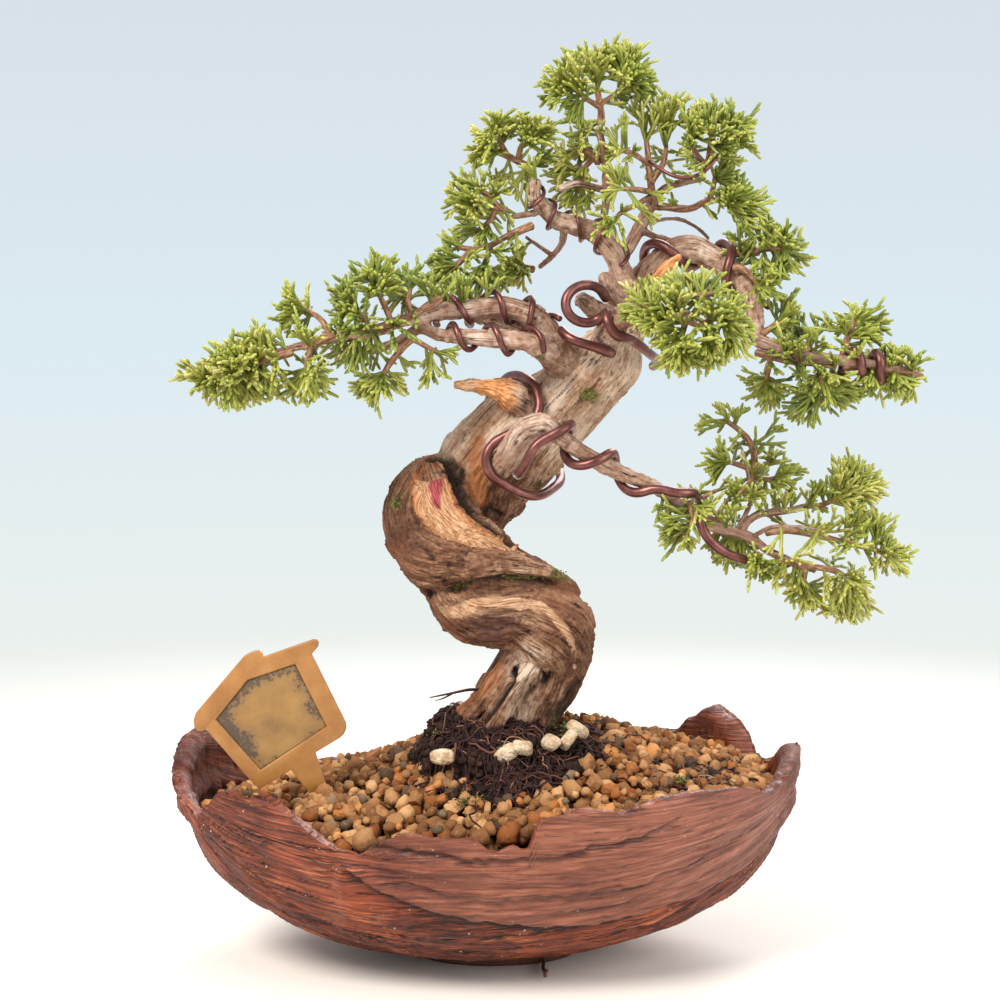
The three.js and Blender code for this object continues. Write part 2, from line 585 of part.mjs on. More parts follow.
// The trunk is bent in tight folds, so it is laid out as four stretches that run into each other.
const TRUNK = [
  // from the soil up to the bend on the right
  [[2, 2, 42, 11.5], [3.5, 2, 52.5, 12.6], [4.2, 2, 60, 11.6], [7.8, 1.5, 67.5, 11.1], [12.6, 0, 75.5, 11.4],
    [15.3, -2, 82, 11], [16, -3, 86, 8]],
  // back to the left, below the fold
  [[17.2, -2, 79.3, 9.4], [13.7, -6, 86.5, 11.4], [5.5, -8.5, 91, 9.4], [-3, -10, 91.5, 8.9],
    [-8.5, -9, 94.5, 7.8], [-11.5, -7, 99, 7]],
  // the bend on the left
  [[-8, -8, 94, 7], [-11.3, -6, 99.5, 8.2], [-15.7, -4, 106, 9.2], [-18, -1, 113.8, 10.8],
    [-13.8, 2.5, 119.4, 11.2], [-7, 6, 121, 9]],
  // the upper trunk, leaning to the right
  [[-6, 8, 112, 9.5], [-5, 8, 118.5, 12.4], [-2.2, 7, 125, 13], [3.8, 5, 131.5, 13.4],
    [9, 3.5, 136.2, 12.6], [14.6, 2, 140.4, 11], [23.4, 0.5, 148.5, 9.8], [29.5, 0, 155, 8.6],
    [32.4, 0, 161, 6.6], [33, 0.5, 168, 4.4], [33.5, 1, 173.5, 3.3]],
];

// The fold that crosses in front of the trunk, the bare heartwood above it, and the two old root
// straps at the base.
const STRAPS = [
  [[-18, -8, 107, 7.4], [-14.5, -11.8, 104.8, 7.4], [-9.5, -14.2, 103.8, 6.2], [-4.5, -15.4, 103.4, 5],
    [1, -15.2, 103.2, 4.2], [7, -13.5, 102.2, 3.8], [12, -10.5, 100.4, 3.4], [17, -7, 97.2, 3.1],
    [20, -3, 94.5, 2.9]],
  [[-14.5, -1, 122, 8.5], [-12.5, -4, 115.5, 8.8], [-8, -7, 110.5, 7.6], [-2, -9, 108, 5.8],
    [4, -9, 104.6, 4.3], [10, -8, 101.3, 3.5], [15, -6, 97.8, 3.1]],
  [[-15.5, -3, 52, 4.4], [-9, -6, 61, 3.5], [-1.8, -8, 69.2, 2.6], [3, -9, 76, 2.6], [6.5, -8, 81, 2.6]],
  [[-3.5, -11, 56, 3.4], [1, -12.5, 65, 3], [5, -12.5, 71.5, 2.7], [10, -11.5, 77, 2.4]],
];

const BRANCHES = {
  apexStem: [[33.5, 1, 173, 3.3], [32.5, 2, 178.5, 2.8], [29.5, 2, 184, 2.8], [26, 3, 187.5, 2.8],
    [21, 2, 189, 2.6], [16, 1, 190.5, 2.3], [13, 0, 193.5, 2.2], [10.5, -2, 196.5, 1.9],
      [11, -4, 200, 1.5]],
  leader: [[29.5, 2, 184, 2.1], [28.5, 4, 189.5, 1.7], [29, 4, 195.5, 1.5], [29, 3, 202, 1.4],
    [28, 2, 208.5, 1.4], [27, 1, 213.5, 1.5]],
  apexRight: [[32, 2, 179, 2.2], [35.5, 5, 184.5, 2.2], [38.5, 6, 190, 2.1], [41, 6, 195, 1.9],
    [44, 4, 198.5, 1.5], [48.5, 0, 200, 1.3], [53.5, -3, 201, 1.1]],
  arch: [[28.5, 4, 198, 1.3], [24.5, 0, 199, 1.3], [20.5, -4, 199.5, 1.2], [17, -7, 198, 1.2]],
  leftMidTwig: [[13, 0, 193, 1.6], [9, 1, 192, 1.2], [5, 2, 191.3, 1]],
  dropTwig: [[18.5, 3, 188.5, 1.3], [18, 6, 185, 1.2], [15.5, 8, 181.5, 1], [12, 9, 178.5, 0.9]],
  dropTwigUpper: [[15.5, 8, 181.5, 1], [12.5, 5, 183.5, 0.9], [8.5, 2, 186, 0.8]],
  rightUpper: [[34, 2, 163, 5], [37.5, 4, 171, 4], [40, 6, 176.5, 3.7], [43.5, 6, 180.5, 3.5],
    [48, 5, 183, 3.5],
    [52.5, 4, 182.8, 3.4], [57, 2, 180.5, 3.2], [61, 0, 177.5, 3.1], [63.8, -2, 174.3, 2.8],
      [66, -4, 170, 2.5],
    [66.5, -5, 165, 2.3]],
  rightTwig: [[57, 2, 180.5, 1.8], [61, 6, 182, 1.4], [65, 9, 182, 1.1]],
  arcTwig: [[38, 6, 189, 1.1], [42, 8, 190.5, 0.8], [47.5, 10, 191, 0.7], [52.5, 11, 189, 0.7],
    [56, 10, 186, 0.7]],
  brokenTwig: [[38, 5, 188, 1.4], [43, 7, 186, 1.2], [47.5, 8, 184.5, 1.1], [50, 6, 183, 1.1]],
  sideTwig: [[41, 6, 194, 1.3], [44.5, 3, 193.5, 0.9], [49, 0, 193.5, 0.8]],
  front: [[27.5, -4, 158, 3.6], [29.5, -12, 162, 3], [32, -19, 165, 2.5], [35.5, -24.5, 166.3, 2]],
  leftUpper: [[20, -2, 151.5, 5.6], [16, -6, 157.5, 4.5], [13.5, -8, 162.5, 3.4], [11, -9, 165.5, 3],
    [7, -9, 167.5, 2.8], [2, -9, 168.5, 2.8], [-5, -10, 168, 2.5], [-11.5, -11, 167.5, 2.3],
      [-17, -13, 166.5, 1.9]],
  leftUnder: [[13.5, -4, 160, 3.1], [9, -3, 162.5, 2.8], [4, -3.5, 164.5, 2.5], [-1, -5, 166, 2.4],
    [-6, -8, 167, 2]],
  leftLower: [[16, -7, 155.5, 4], [12, -13, 158.5, 2.9], [7.5, -15, 160, 2.5], [2, -15.5, 160.5, 2.4],
    [-3.5, -15.5, 161, 2.2], [-9, -15, 161.3, 2], [-13, -14.5, 161.5, 1.7]],
  lowerRight: [[1, -9, 128, 3.2], [3.8, -15.5, 132, 2.9], [6.5, -19, 136.5, 2.9], [9.5, -20.5, 139, 3],
    [13, -20.5, 139.5, 2.8], [16.3, -20, 137, 2.5], [20, -19, 134, 2.2], [26.5, -17, 130, 2.1],
    [33.5, -15, 126.5, 2], [40.5, -13, 123.5, 1.8]],
  jin: [[10, -3, 142, 4.6], [6, -7, 145.2, 4], [2, -9, 147.5, 3.2], [-3, -10.5, 148.7, 2.2],
    [-9.5, -12, 149, 1.2]],
  brokenJin: [[39, 2, 173, 1.4], [42, -1.5, 176, 1.6], [45, -4, 179, 1.4], [47.5, -5.5, 181.5, 0.8]],
  cutStub: [[32.5, -1, 170, 2.6], [29.5, -5.5, 173.5, 2.3], [28, -7.5, 176.2, 1.8]],
  ringStub: [[29, -3, 165, 3], [25, -9, 168.3, 2.4], [22, -13, 170.5, 2]],
};

function woodSolid(grow) {
  const trunk = TRUNK.map((points) => solidOf(limb(points, 10, { grow, flutes: 3, perSpan: 1 })));
  const straps = STRAPS.map((points) => solidOf(limb(points, 6, { grow, perSpan: 1 })));
  const branches = Object.values(BRANCHES).map((points) => {
    const sides = points[0][3] > 2.8 ? 6 : 4;
    return solidOf(limb(points, sides, { grow, perSpan: 1 }));
  });
  return Manifold.union([...trunk, ...straps, ...branches]).simplify(0.64);
}

const root = new THREE.Group();
const finish = {
  clay: new THREE.MeshStandardMaterial({ color: 0x6b3326, roughness: 0.5, metalness: 0 }),
  soil: new THREE.MeshStandardMaterial({ color: 0xb0743a, roughness: 0.9, metalness: 0 }),
  peat: new THREE.MeshStandardMaterial({ color: 0x2e1c16, roughness: 0.95, metalness: 0 }),
  pumice: new THREE.MeshStandardMaterial({ color: 0xe6d3ad, roughness: 0.9, metalness: 0 }),
  bark: new THREE.MeshStandardMaterial({ color: 0x8a6651, roughness: 0.85, metalness: 0 }),
  foliage: new THREE.MeshStandardMaterial({ color: 0x7fa63a, roughness: 0.7, metalness: 0 }),
  wire: new THREE.MeshStandardMaterial({ color: 0x5a2620, roughness: 0.35, metalness: 0.8 }),
  label: new THREE.MeshStandardMaterial({ color: 0xe0b468, roughness: 0.45, metalness: 0 }),
};

function addPiece(name, solid, material) {
  const mesh = new THREE.Mesh(geometryOf(solid), material);
  mesh.name = name;
  root.add(mesh);
}

// ---------------------------------------------------------------- pot
const ZC = 54; // height at which the belly would be widest

// Height at an angle, read from a table of [degrees, height].
function heightIn(table, degrees) {
  const a = ((degrees % 360) + 360) % 360;
  for (let i = 0; i < table.length; i++) {
    const [a0, h0] = table[i];
    const [a1, h1] = i + 1 < table.length ? table[i + 1] : [360, table[0][1]];
    if (a >= a0 && a <= a1) return lerp(h0, h1, (a - a0) / (a1 - a0));
  }
  return table[0][1];
}

const rimHeight = (degrees) => heightIn(RIM, degrees);

// How far out the belly reaches at a height, as a share of its full plan.
function bellyShare(z, bottom) {
  const share = Math.min(Math.max((ZC - z) / (ZC - bottom), 0), 1);
  return Math.pow(Math.max(1 - Math.pow(share, POT.fullness), 0), 1 / POT.fullness);
}

function bellyRing(angles, bottom, inset, heightAt) {
  return angles.map((degrees) => {
    const z = heightAt(degrees);
    const share = bellyShare(z, bottom);
    const x = POT.centreX + (POT.halfLength - inset) * share * Math.cos(rad(degrees));
    return new THREE.Vector3(x, (POT.halfDepth - inset) * share * Math.sin(rad(degrees)), z);
  });
}

const INNER_LEVELS = [0.98, 0.6, 0.3, 0.1, 0.02]; // from the rim down to the floor

function potSolid() {
  const angles = RIM.map((row) => row[0]);
  const ledge = (a) => Math.min(heightIn(LEDGE, a), rimHeight(a) - 5);
  // Each ring of the outside: how far in it is pushed, and its height.
  const rows = [
    [0, (a) => 0.03 * ledge(a)],
    [0, (a) => 0.14 * ledge(a) + 1],
    [POT.ribDepth, (a) => 0.38 * ledge(a)],
    [0, (a) => 0.62 * ledge(a)],
    [POT.stepDepth, (a) => ledge(a) - 1.2],
    [0, (a) => ledge(a) + 0.8],
    [POT.ribDepth, (a) => lerp(ledge(a), rimHeight(a), 0.4)],
    [0, (a) => lerp(ledge(a), rimHeight(a), 0.7)],
  ];
  const outer = rows.map(([inset, height]) =>
    bellyRing(angles, POT.bellyBottom, inset, (a) => Math.max(height(a), POT.bellyBottom + 0.3)));
  const rim = bellyRing(angles, POT.bellyBottom, 0.8, (a) => rimHeight(a));
  const inner = INNER_LEVELS.map((t) =>
    bellyRing(angles, POT.floor, POT.wall, (a) => lerp(POT.floor, rimHeight(a) - 0.4, t)),
  );
  const shell = solidOf(skin([...outer, rim, ...inner]));
  const foot = solidOf(new THREE.CylinderGeometry(0.5, 0.5, 6, 24))
    .rotate([90, 0, 0])
    .scale([POT.footLength, POT.footDepth, 1])
    .translate([0, 0, 3]);
  const drain = (x) => solidOf(new THREE.CylinderGeometry(POT.drainRadius, POT.drainRadius, 30, 12))
    .rotate([90, 0, 0])
    .translate([x, POT.drainY, 0]);
  const notch = solidOf(new THREE.BoxGeometry(3.4, 20, 3.4)).translate([POT.drainX, -9, 0]);
  return largest(shell.add(foot).subtract(drain(-POT.drainX)).subtract(drain(POT.drainX)).subtract(notch));
}

// ---------------------------------------------------------------- soil and roots
function soilHeight(x, y) {
  const mound = 18.5 * Math.exp(-((x - 9) ** 2) / 2200 - (y - 5) ** 2 / 1450);
  const dip = 3.5 * Math.exp(-(((x + 34) / 14) ** 2) - ((y + 50) / 10) ** 2);
  return 41.3 + 0.05 * x + mound - dip;
}

function pebble(x, y, z, r, spin) {
  return solidOf(new THREE.OctahedronGeometry(1.2 * r, 0))
    .scale([1.15, 0.95, 0.85])
    .rotate([spin * 90, spin * 210, spin * 360])
    .translate([x, y, z]);
}

function soilSolid() {
  const inset = POT.wall + 4 * GAP;
  const angles = RIM.map((row) => row[0]);
  const wallTop = (a) => {
    const share = 0.9;
    const x = POT.centreX + (POT.halfLength - inset) * share * Math.cos(rad(a));
    const top = soilHeight(x, (POT.halfDepth - inset) * share * Math.sin(rad(a)));
    return Math.min(top, rimHeight(a) - 1.5, rimHeight(a - 5) - 1.5, rimHeight(a + 5) - 1.5);
  };
  const bottom = POT.floor + 2 * GAP;
  const sides = INNER_LEVELS.slice(1).map((t) =>
    bellyRing(angles, bottom, inset, (a) => Math.min(lerp(bottom, rimHeight(a) - 0.4, t), wallTop(a) - 2)),
  );
  sides.reverse();
  sides.push(bellyRing(angles, bottom, inset, wallTop));
  const edge = sides[sides.length - 1];
  const crown = [0.72, 0.45, 0.2].map((share) =>
    edge.map((p) => {
      const x = lerp(8, p.x, share);
      const y = lerp(3, p.y, share);
      return new THREE.Vector3(x, y, soilHeight(x, y));
    }),
  );
  const body = solidOf(skin([...sides, ...crown]));
  const random = randomSource(7);
  const grains = [];
  const rows = Math.floor((2 * POT.halfDepth) / GRAIN.spacing);
  for (let j = 0; j <= rows; j++) {
    for (let i = -12; i <= 12; i++) {
      const x = POT.centreX + (i + (j % 2) / 2 + 0.5 * (random() - 0.5)) * GRAIN.spacing;
      const y = -POT.halfDepth + 3 + (j + 0.5 * (random() - 0.5)) * GRAIN.spacing;
      const r = GRAIN.size * (0.75 + 0.3 * random());
      const reach = Math.hypot((x - POT.centreX) / (POT.halfLength - inset), y / (POT.halfDepth - inset));
      const spin = random();
      if (reach > 0.83 || rootCover(x, y) < 1) continue;
      grains.push(pebble(x, y, soilHeight(x, y) - 0.3 * r, r, spin));
    }
  }
  return Manifold.union([body, ...grains]).simplify(0.55);
}

// Dark fibrous root mass: [x, y, z, half length, half depth, half height] of its lumps.
const ROOT_LUMPS = [[-1, -7, 51, 20, 17, 12], [17, -9, 49, 16, 16, 9], [5, -24, 45, 15, 10, 6.5],
  [-9, -5, 56, 9, 9, 9]];

function rootCover(x, y) {
  return Math.min(...ROOT_LUMPS.map(([cx, cy, , a, b]) => Math.hypot((x - cx) / a, (y - cy) / b)));
}

function rootSolid(grow) {
  const lumps = ROOT_LUMPS.map(([x, y, z, a, b, c]) =>
    solidOf(new THREE.SphereGeometry(1, 10, 7)).scale([a + grow, b + grow, c + grow]).translate([x, y, z]),
  );
  return Manifold.union(lumps).trimByPlane([0, 0, 1], 41 - grow);
}

// ---------------------------------------------------------------- wires
// Samples of every limb, so that wire can be pressed out of the wood.
function woodSamples() {
  const samples = [];
  for (const points of [...TRUNK, ...STRAPS, ...Object.values(BRANCHES)]) {
    const curve = new THREE.CatmullRomCurve3(points.map(vec), false, "centripetal");
    const steps = (points.length - 1) * 6;
    for (let i = 0; i <= steps; i++) {
      const s = Math.min((i / steps) * (points.length - 1), points.length - 1 - 1e-6);
      const k = Math.floor(s);
      const fat = points[k][3] > 6 ? 1.07 : 1;
      samples.push({ at: curve.getPoint(i / steps), r: fat * lerp(points[k][3], points[k + 1][3], s - k) });
    }
  }
  return samples;
}

const samples = woodSamples();

function pressOut(point, radius) {
  for (let pass = 0; pass < 12; pass++) {
    for (const { at, r } of samples) {
      const need = r + radius + GAP;
      const away = point.clone().sub(at);
      const d = away.length();
      if (d < need) point.addScaledVector(away.divideScalar(d + 1e-6), (need - d) * 0.7);
    }
  }
  return point;
}

function wirePoints(path, radius) {
  const curve = new THREE.CatmullRomCurve3(path.map(vec), false, "centripetal");
  const count = Math.max(8, Math.round(curve.getLength() / Math.max(3 * radius, 2.8)));
  let points = curve.getSpacedPoints(count).map((p) => pressOut(p, radius));
  for (let pass = 0; pass < 2; pass++) {
    points = points.map((p, i) => {
      if (i === 0 || i === points.length - 1) return p;
      const middle = points[i - 1].clone().add(points[i + 1]).multiplyScalar(0.5);
      return pressOut(p.clone().lerp(middle, 0.4), radius);
    });
  }
  return points;
}

// The path of a coil round part of a branch.
function coilPath({ radius, branch, lead, from, to, turns, start, tail = [] }) {
  const limbPoints = BRANCHES[branch] ?? GUIDES[branch];
  const curve = new THREE.CatmullRomCurve3(limbPoints.map(vec), false, "centripetal");
  const steps = Math.ceil(Math.abs(turns) * 10);
  const path = [...lead];
  const side = new THREE.Vector3(0, -1, 0);
  for (let i = 0; i <= steps; i++) {
    const t = lerp(from, to, i / steps);
    const s = Math.min(t * (limbPoints.length - 1), limbPoints.length - 1 - 1e-6);
    const k = Math.floor(s);
    const r = lerp(limbPoints[k][3], limbPoints[k + 1][3], s - k) + radius + GAP + 0.1;
    const along = curve.getTangent(t);
    side.addScaledVector(along, -side.dot(along)).normalize();
    const up = new THREE.Vector3().crossVectors(along, side);
    const a = rad(start) + (2 * Math.PI * turns * i) / steps;
    const p = curve.getPoint(t).addScaledVector(side, r * Math.cos(a)).addScaledVector(up, r * Math.sin(a));
    path.push([p.x, p.y, p.z]);
  }
  return [...path, ...tail];
}

function wireSolid(path, radius, grow = 0) {
  const points = wirePoints(path, radius).map((p) => [p.x, p.y, p.z, radius]);
  return solidOf(limb(points, radius > 1 ? 5 : 4, { grow, perSpan: 1 }));
}

// ---------------------------------------------------------------- label
function flatShape(points, depth) {
  const shape = new THREE.Shape(points.map(([x, y]) => new THREE.Vector2(x, y)));
  return solidOf(new THREE.ExtrudeGeometry(shape, { depth, bevelEnabled: false }));
}

function labelSolid(grow) {
  const plate = flatShape(LABEL.outline, LABEL.thickness + 2 * grow).translate([0, 0, -grow]);
  const window = flatShape(LABEL.window, 4).translate([0, 0, LABEL.thickness - LABEL.recess]);
  const room = flatShape(LABEL.room, LABEL.thickness + 2 * grow).translate([0, 0, -grow]);
  const blade = grow ? room : plate.subtract(window);
  return blade.rotate([90, 0, 0]).rotate([0, -LABEL.lean, 0]).translate(LABEL.foot);
}

// ---------------------------------------------------------------- foliage
// A leafy spray is one skin: a three-sided stem, and shoots that grow out of single faces of it.
class Spray {
  constructor(name) {
    this.name = name;
    this.points = [];
    this.faces = [];
  }

  ring(centre, along, radius, towards) {
    const side = towards.clone().addScaledVector(along, -towards.dot(along)).normalize();
    const up = new THREE.Vector3().crossVectors(along, side);
    return [0, 1, 2].map((k) => {
      const a = (2 * Math.PI * k) / 3;
      const p = centre.clone().addScaledVector(side, radius * Math.cos(a));
      p.addScaledVector(up, radius * Math.sin(a));
      return this.points.push(p) - 1;
    });
  }

  join(a, b, along) {
    for (let k = 0; k < 3; k++) {
      const n = (k + 1) % 3;
      this.faces.push({ corners: [a[k], a[n], b[n]], along }, { corners: [a[k], b[n], b[k]], along });
    }
  }

  // A tube along a curve from a first ring, closed by a point beyond its end.
  tube(first, curve, radii, steps, from, tip) {
    let before = first;
    for (let i = from; i <= steps; i++) {
      const along = curve.getTangentAt(i / steps);
      const radius = lerp(radii[0], radii[1], i / steps);
      const centre = curve.getPointAt(i / steps);
      const towards = this.points[before[0]].clone().sub(curve.getPointAt(Math.max(i - 1, 0) / steps));
      const ring = this.ring(centre, along, radius, towards);
      this.join(before, ring, along);
      before = ring;
    }
    const end = this.points.push(tip) - 1;
    for (let k = 0; k < 3; k++) {
      this.faces.push({ corners: [before[k], before[(k + 1) % 3], end], along: null });
    }
  }

  middle(face) {
    const [a, b, c] = face.corners.map((i) => this.points[i]);
    return a.clone().add(b).add(c).divideScalar(3);
  }

  normal(face) {
    const [a, b, c] = face.corners.map((i) => this.points[i]);
    return b.clone().sub(a).cross(c.clone().sub(a)).normalize();
  }

  // The free face of a stem from which a shoot to this tip leaves most naturally.
  bestFace(tip) {
    let best = null;
    for (const face of this.faces) {
      if (!face.along || face.used) continue;
      const reach = tip.clone().sub(this.middle(face));
      const length = reach.length();
      reach.divideScalar(length);
      const facing = reach.dot(this.normal(face));
      if (facing < 0.3) continue;
      const cost = length * (1.35 - 0.5 * reach.dot(face.along) - 0.15 * facing);
      if (!best || cost < best.cost) best = { face, cost };
    }
    return best && best.face;
  }

  // Corners of a face, turned so that they follow the ring that is put on them.
  open(face) {
    this.faces.splice(this.faces.indexOf(face), 1);
    return face.corners;
  }

  stem(points) {
    const curve = new THREE.CatmullRomCurve3(points.map(vec), false, "centripetal");
    const steps = Math.max(2, Math.round(curve.getLength() / 2.7));
    const end = curve.getPointAt(1).addScaledVector(curve.getTangentAt(1), 0.8);
    if (this.faces.length === 0) {
      const towards = new THREE.Vector3(0.2, -0.9, 0.3);
      const first = this.ring(curve.getPointAt(0), curve.getTangentAt(0), 1.15, towards);
      this.faces.push({ corners: [first[2], first[1], first[0]], along: null });
      this.tube(first, curve, [1.15, 0.8], steps, 1, end);
    } else {
      const face = this.bestFace(curve.getPointAt(0.5));
      this.tube(this.open(face), curve, [1, 0.75], steps, 1, end);
    }
    for (let i = 0; i < points.length - 1; i++) {
      place(this.name, vec(points[i]), vec(points[i + 1]), 1.2, true);
    }
  }

  shoot(tip, random) {
    const face = this.bestFace(tip);
    if (!face) return;
    const from = this.middle(face);
    if (!isFree(this.name, from, tip, NEEDLE.radius)) return;
    place(this.name, from, tip, NEEDLE.radius);
    const at = this.faces.length;
    const curve = new THREE.LineCurve3(from, from.clone().lerp(tip, 0.72));
    this.tube(this.open(face), curve, [NEEDLE.radius, NEEDLE.radius - 0.15], 2, 1, tip);
    const along = tip.clone().sub(from);
    const length = along.length();
    if (length < 4.5) return;
    along.normalize();
    // Two side needles, each on a face of the shoot's outer stretch.
    const free = this.faces.slice(at - 1).filter((f) => f.along);
    for (const pick of [free[free.length - 2], free[free.length - 5]]) {
      const start = this.middle(pick);
      const out = this.normal(pick);
      const reach = Math.min(NEEDLE.length, 0.6 * length) * (0.8 + 0.4 * random());
      const end = start.clone().addScaledVector(along, 0.75 * reach).addScaledVector(out, 0.55 * reach);
      if (!isFree(this.name, start, end, 0.6)) continue;
      place(this.name, start, end, 0.6);
      const corners = this.open(pick);
      const apex = this.points.push(end) - 1;
      for (let k = 0; k < 3; k++) {
        this.faces.push({ corners: [corners[k], corners[(k + 1) % 3], apex], along: null });
      }
    }
    this.faces.slice(at - 1).forEach((f) => {
      f.along = null;
    });
  }

  solid() {
    const geometry = new THREE.BufferGeometry();
    const positions = this.points.flatMap((p) => [p.x, p.y, p.z]);
    geometry.setAttribute("position", new THREE.Float32BufferAttribute(positions, 3));
    geometry.setIndex(this.faces.flatMap((face) => face.corners));
    return solidOf(geometry);
  }
}

function segmentDistance(p1, q1, p2, q2) {
  const d1 = q1.clone().sub(p1);
  const d2 = q2.clone().sub(p2);
  const r = p1.clone().sub(p2);
  const a = d1.dot(d1);
  const e = d2.dot(d2);
  const b = d1.dot(d2);
  const c = d1.dot(r);
  const f = d2.dot(r);
  const clamp = THREE.MathUtils.clamp;
  const denom = a * e - b * b;
  let s = denom > 1e-9 ? clamp((b * f - c * e) / denom, 0, 1) : 0;
  let t = (b * s + f) / e;
  if (t < 0 || t > 1) {
    t = clamp(t, 0, 1);
    s = clamp((b * t - c) / a, 0, 1);
  }
  return p1.clone().addScaledVector(d1, s).distanceTo(p2.clone().addScaledVector(d2, t));
}

// Capsules of the sprays placed so far. Shoots of one spray may meet near their roots.
const placed = [];
const ROOT_SHARE = 0.35;

function isFree(name, from, to, radius) {
  const clear = from.clone().lerp(to, ROOT_SHARE);
  return placed.every((other) => {
    if (other.name !== name) {
      return segmentDistance(from, to, other.from, other.to) > radius + other.radius + GAP;
    }
    return other.stem || segmentDistance(clear, to, other.clear, other.to) > radius + other.radius + 0.05;
  });
}

function place(name, from, to, radius, stem = false) {
  placed.push({ name, from, to, radius, stem, clear: from.clone().lerp(to, ROOT_SHARE) });
}

// ---------------------------------------------------------------- assembly
const wood = largest(woodSolid(0));
const woodRoom = largest(woodSolid(GAP));
addPiece("tree_wood", wood, finish.bark);

const wires = {};
for (const [name, { path, radius }] of Object.entries(WIRES)) wires[name] = { path, radius };
for (const [name, coil] of Object.entries(COILS)) {
  wires[name] = { path: coilPath(coil), radius: coil.radius };
}
const wireRooms = [];
for (const [name, { path, radius }] of Object.entries(wires)) {
  let wire = wireSolid(path, radius).subtract(woodRoom);
  for (const room of wireRooms) wire = wire.subtract(room);
  addPiece(name, largest(wire), finish.wire);
  wireRooms.push(wireSolid(path, radius, GAP));
}
const hardware = Manifold.union([woodRoom, ...wireRooms]);

// All stems are laid before any shoot, so that no shoot of one spray crosses another's stem.
const random = randomSource(31);
const sprays = Object.entries(SPRAYS).map(([name, { stems, tips }]) => {
  const spray = new Spray(name);
  for (const stem of stems) spray.stem(stem);
  return { spray, tips };
});
for (const { spray, tips } of sprays) {
  for (const tip of tips) spray.shoot(vec(tip), random);
  addPiece(`foliage_${spray.name}`, largest(spray.solid().subtract(hardware)), finish.foliage);
}

addPiece("pot", potSolid(), finish.clay);
addPiece("tie_wire", wireSolid(TIE.path, TIE.radius), finish.wire);
const labelRoom = labelSolid(GAP);
addPiece("plant_label", labelSolid(0), finish.label);
const roots = rootSolid(0).subtract(woodRoom);
addPiece("root_ball", largest(roots), finish.peat);
const grains = PUMICE.map(([x, y, z, r], i) => pebble(x, y, z, r, 0.17 * i));
const grainRooms = PUMICE.map(([x, y, z, r], i) => pebble(x, y, z, r + GAP, 0.17 * i));
const soil = soilSolid().subtract(Manifold.union([rootSolid(GAP), woodRoom, labelRoom, ...grainRooms]));
addPiece("soil", largest(soil), finish.soil);
grains.forEach((grain, i) => {
  addPiece(`pumice_${i + 1}`, largest(grain.subtract(rootSolid(GAP))), finish.pumice);
});

export default root;
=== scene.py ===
"""A juniper bonsai in a bark-like crescent pot. Lengths in the tables are millimetres."""
import math

import bpy
import numpy as np
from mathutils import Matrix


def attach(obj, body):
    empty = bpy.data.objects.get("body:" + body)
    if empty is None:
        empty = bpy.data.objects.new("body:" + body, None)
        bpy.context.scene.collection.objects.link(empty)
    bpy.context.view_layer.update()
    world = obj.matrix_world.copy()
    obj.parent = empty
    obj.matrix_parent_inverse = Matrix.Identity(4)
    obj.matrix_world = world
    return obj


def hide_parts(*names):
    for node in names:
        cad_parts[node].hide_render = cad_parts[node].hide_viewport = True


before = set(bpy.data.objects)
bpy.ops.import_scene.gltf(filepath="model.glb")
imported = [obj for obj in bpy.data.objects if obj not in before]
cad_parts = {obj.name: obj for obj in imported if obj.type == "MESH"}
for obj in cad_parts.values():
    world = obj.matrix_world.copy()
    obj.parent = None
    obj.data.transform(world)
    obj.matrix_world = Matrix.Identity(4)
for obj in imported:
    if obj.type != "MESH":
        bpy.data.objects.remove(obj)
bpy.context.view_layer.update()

MM = 0.001

# ------------------------------------------------------------------ camera, light and floor
bpy.ops.object.select_all(action="DESELECT")
bpy.ops.object.camera_add(location=(0.00184, -0.5644, 0.1751), rotation=(math.radians(84.3), 0, 0))
camera = bpy.context.object
camera.name = "studio_camera"
camera.data.sensor_width = 36
camera.data.lens = 79.2
camera.data.clip_start = 0.01
bpy.context.scene.camera = camera


# ------------------------------------------------------------------ shader maths
class Sock:
    """A socket of a material, with sums and products written as Python."""

    def __init__(self, mat, out):
        self.mat = mat
        self.out = out

    def calc(self, operation, *others, clamp=False):
        return self.mat.node("ShaderNodeMath", {"operation": operation, "use_clamp": clamp},
                             {i: v for i, v in enumerate((self, *others))})

    def __add__(self, other): return self.calc("ADD", other)
    def __mul__(self, other): return self.calc("MULTIPLY", other)
    def __sub__(self, other): return self.calc("SUBTRACT", other)
    def __truediv__(self, other): return self.calc("DIVIDE", other)
    def __pow__(self, other): return self.calc("POWER", other)
    def __rsub__(self, other): return (self * -1) + other
    __radd__ = __add__
    __rmul__ = __mul__

    def clamp(self):
        return self.calc("ADD", 0.0, clamp=True)

    def step(self, low, high):
        return self.mat.node("ShaderNodeMapRange", {"interpolation_type": "SMOOTHSTEP"},
                             {"Value": self, "From Min": low, "From Max": high})


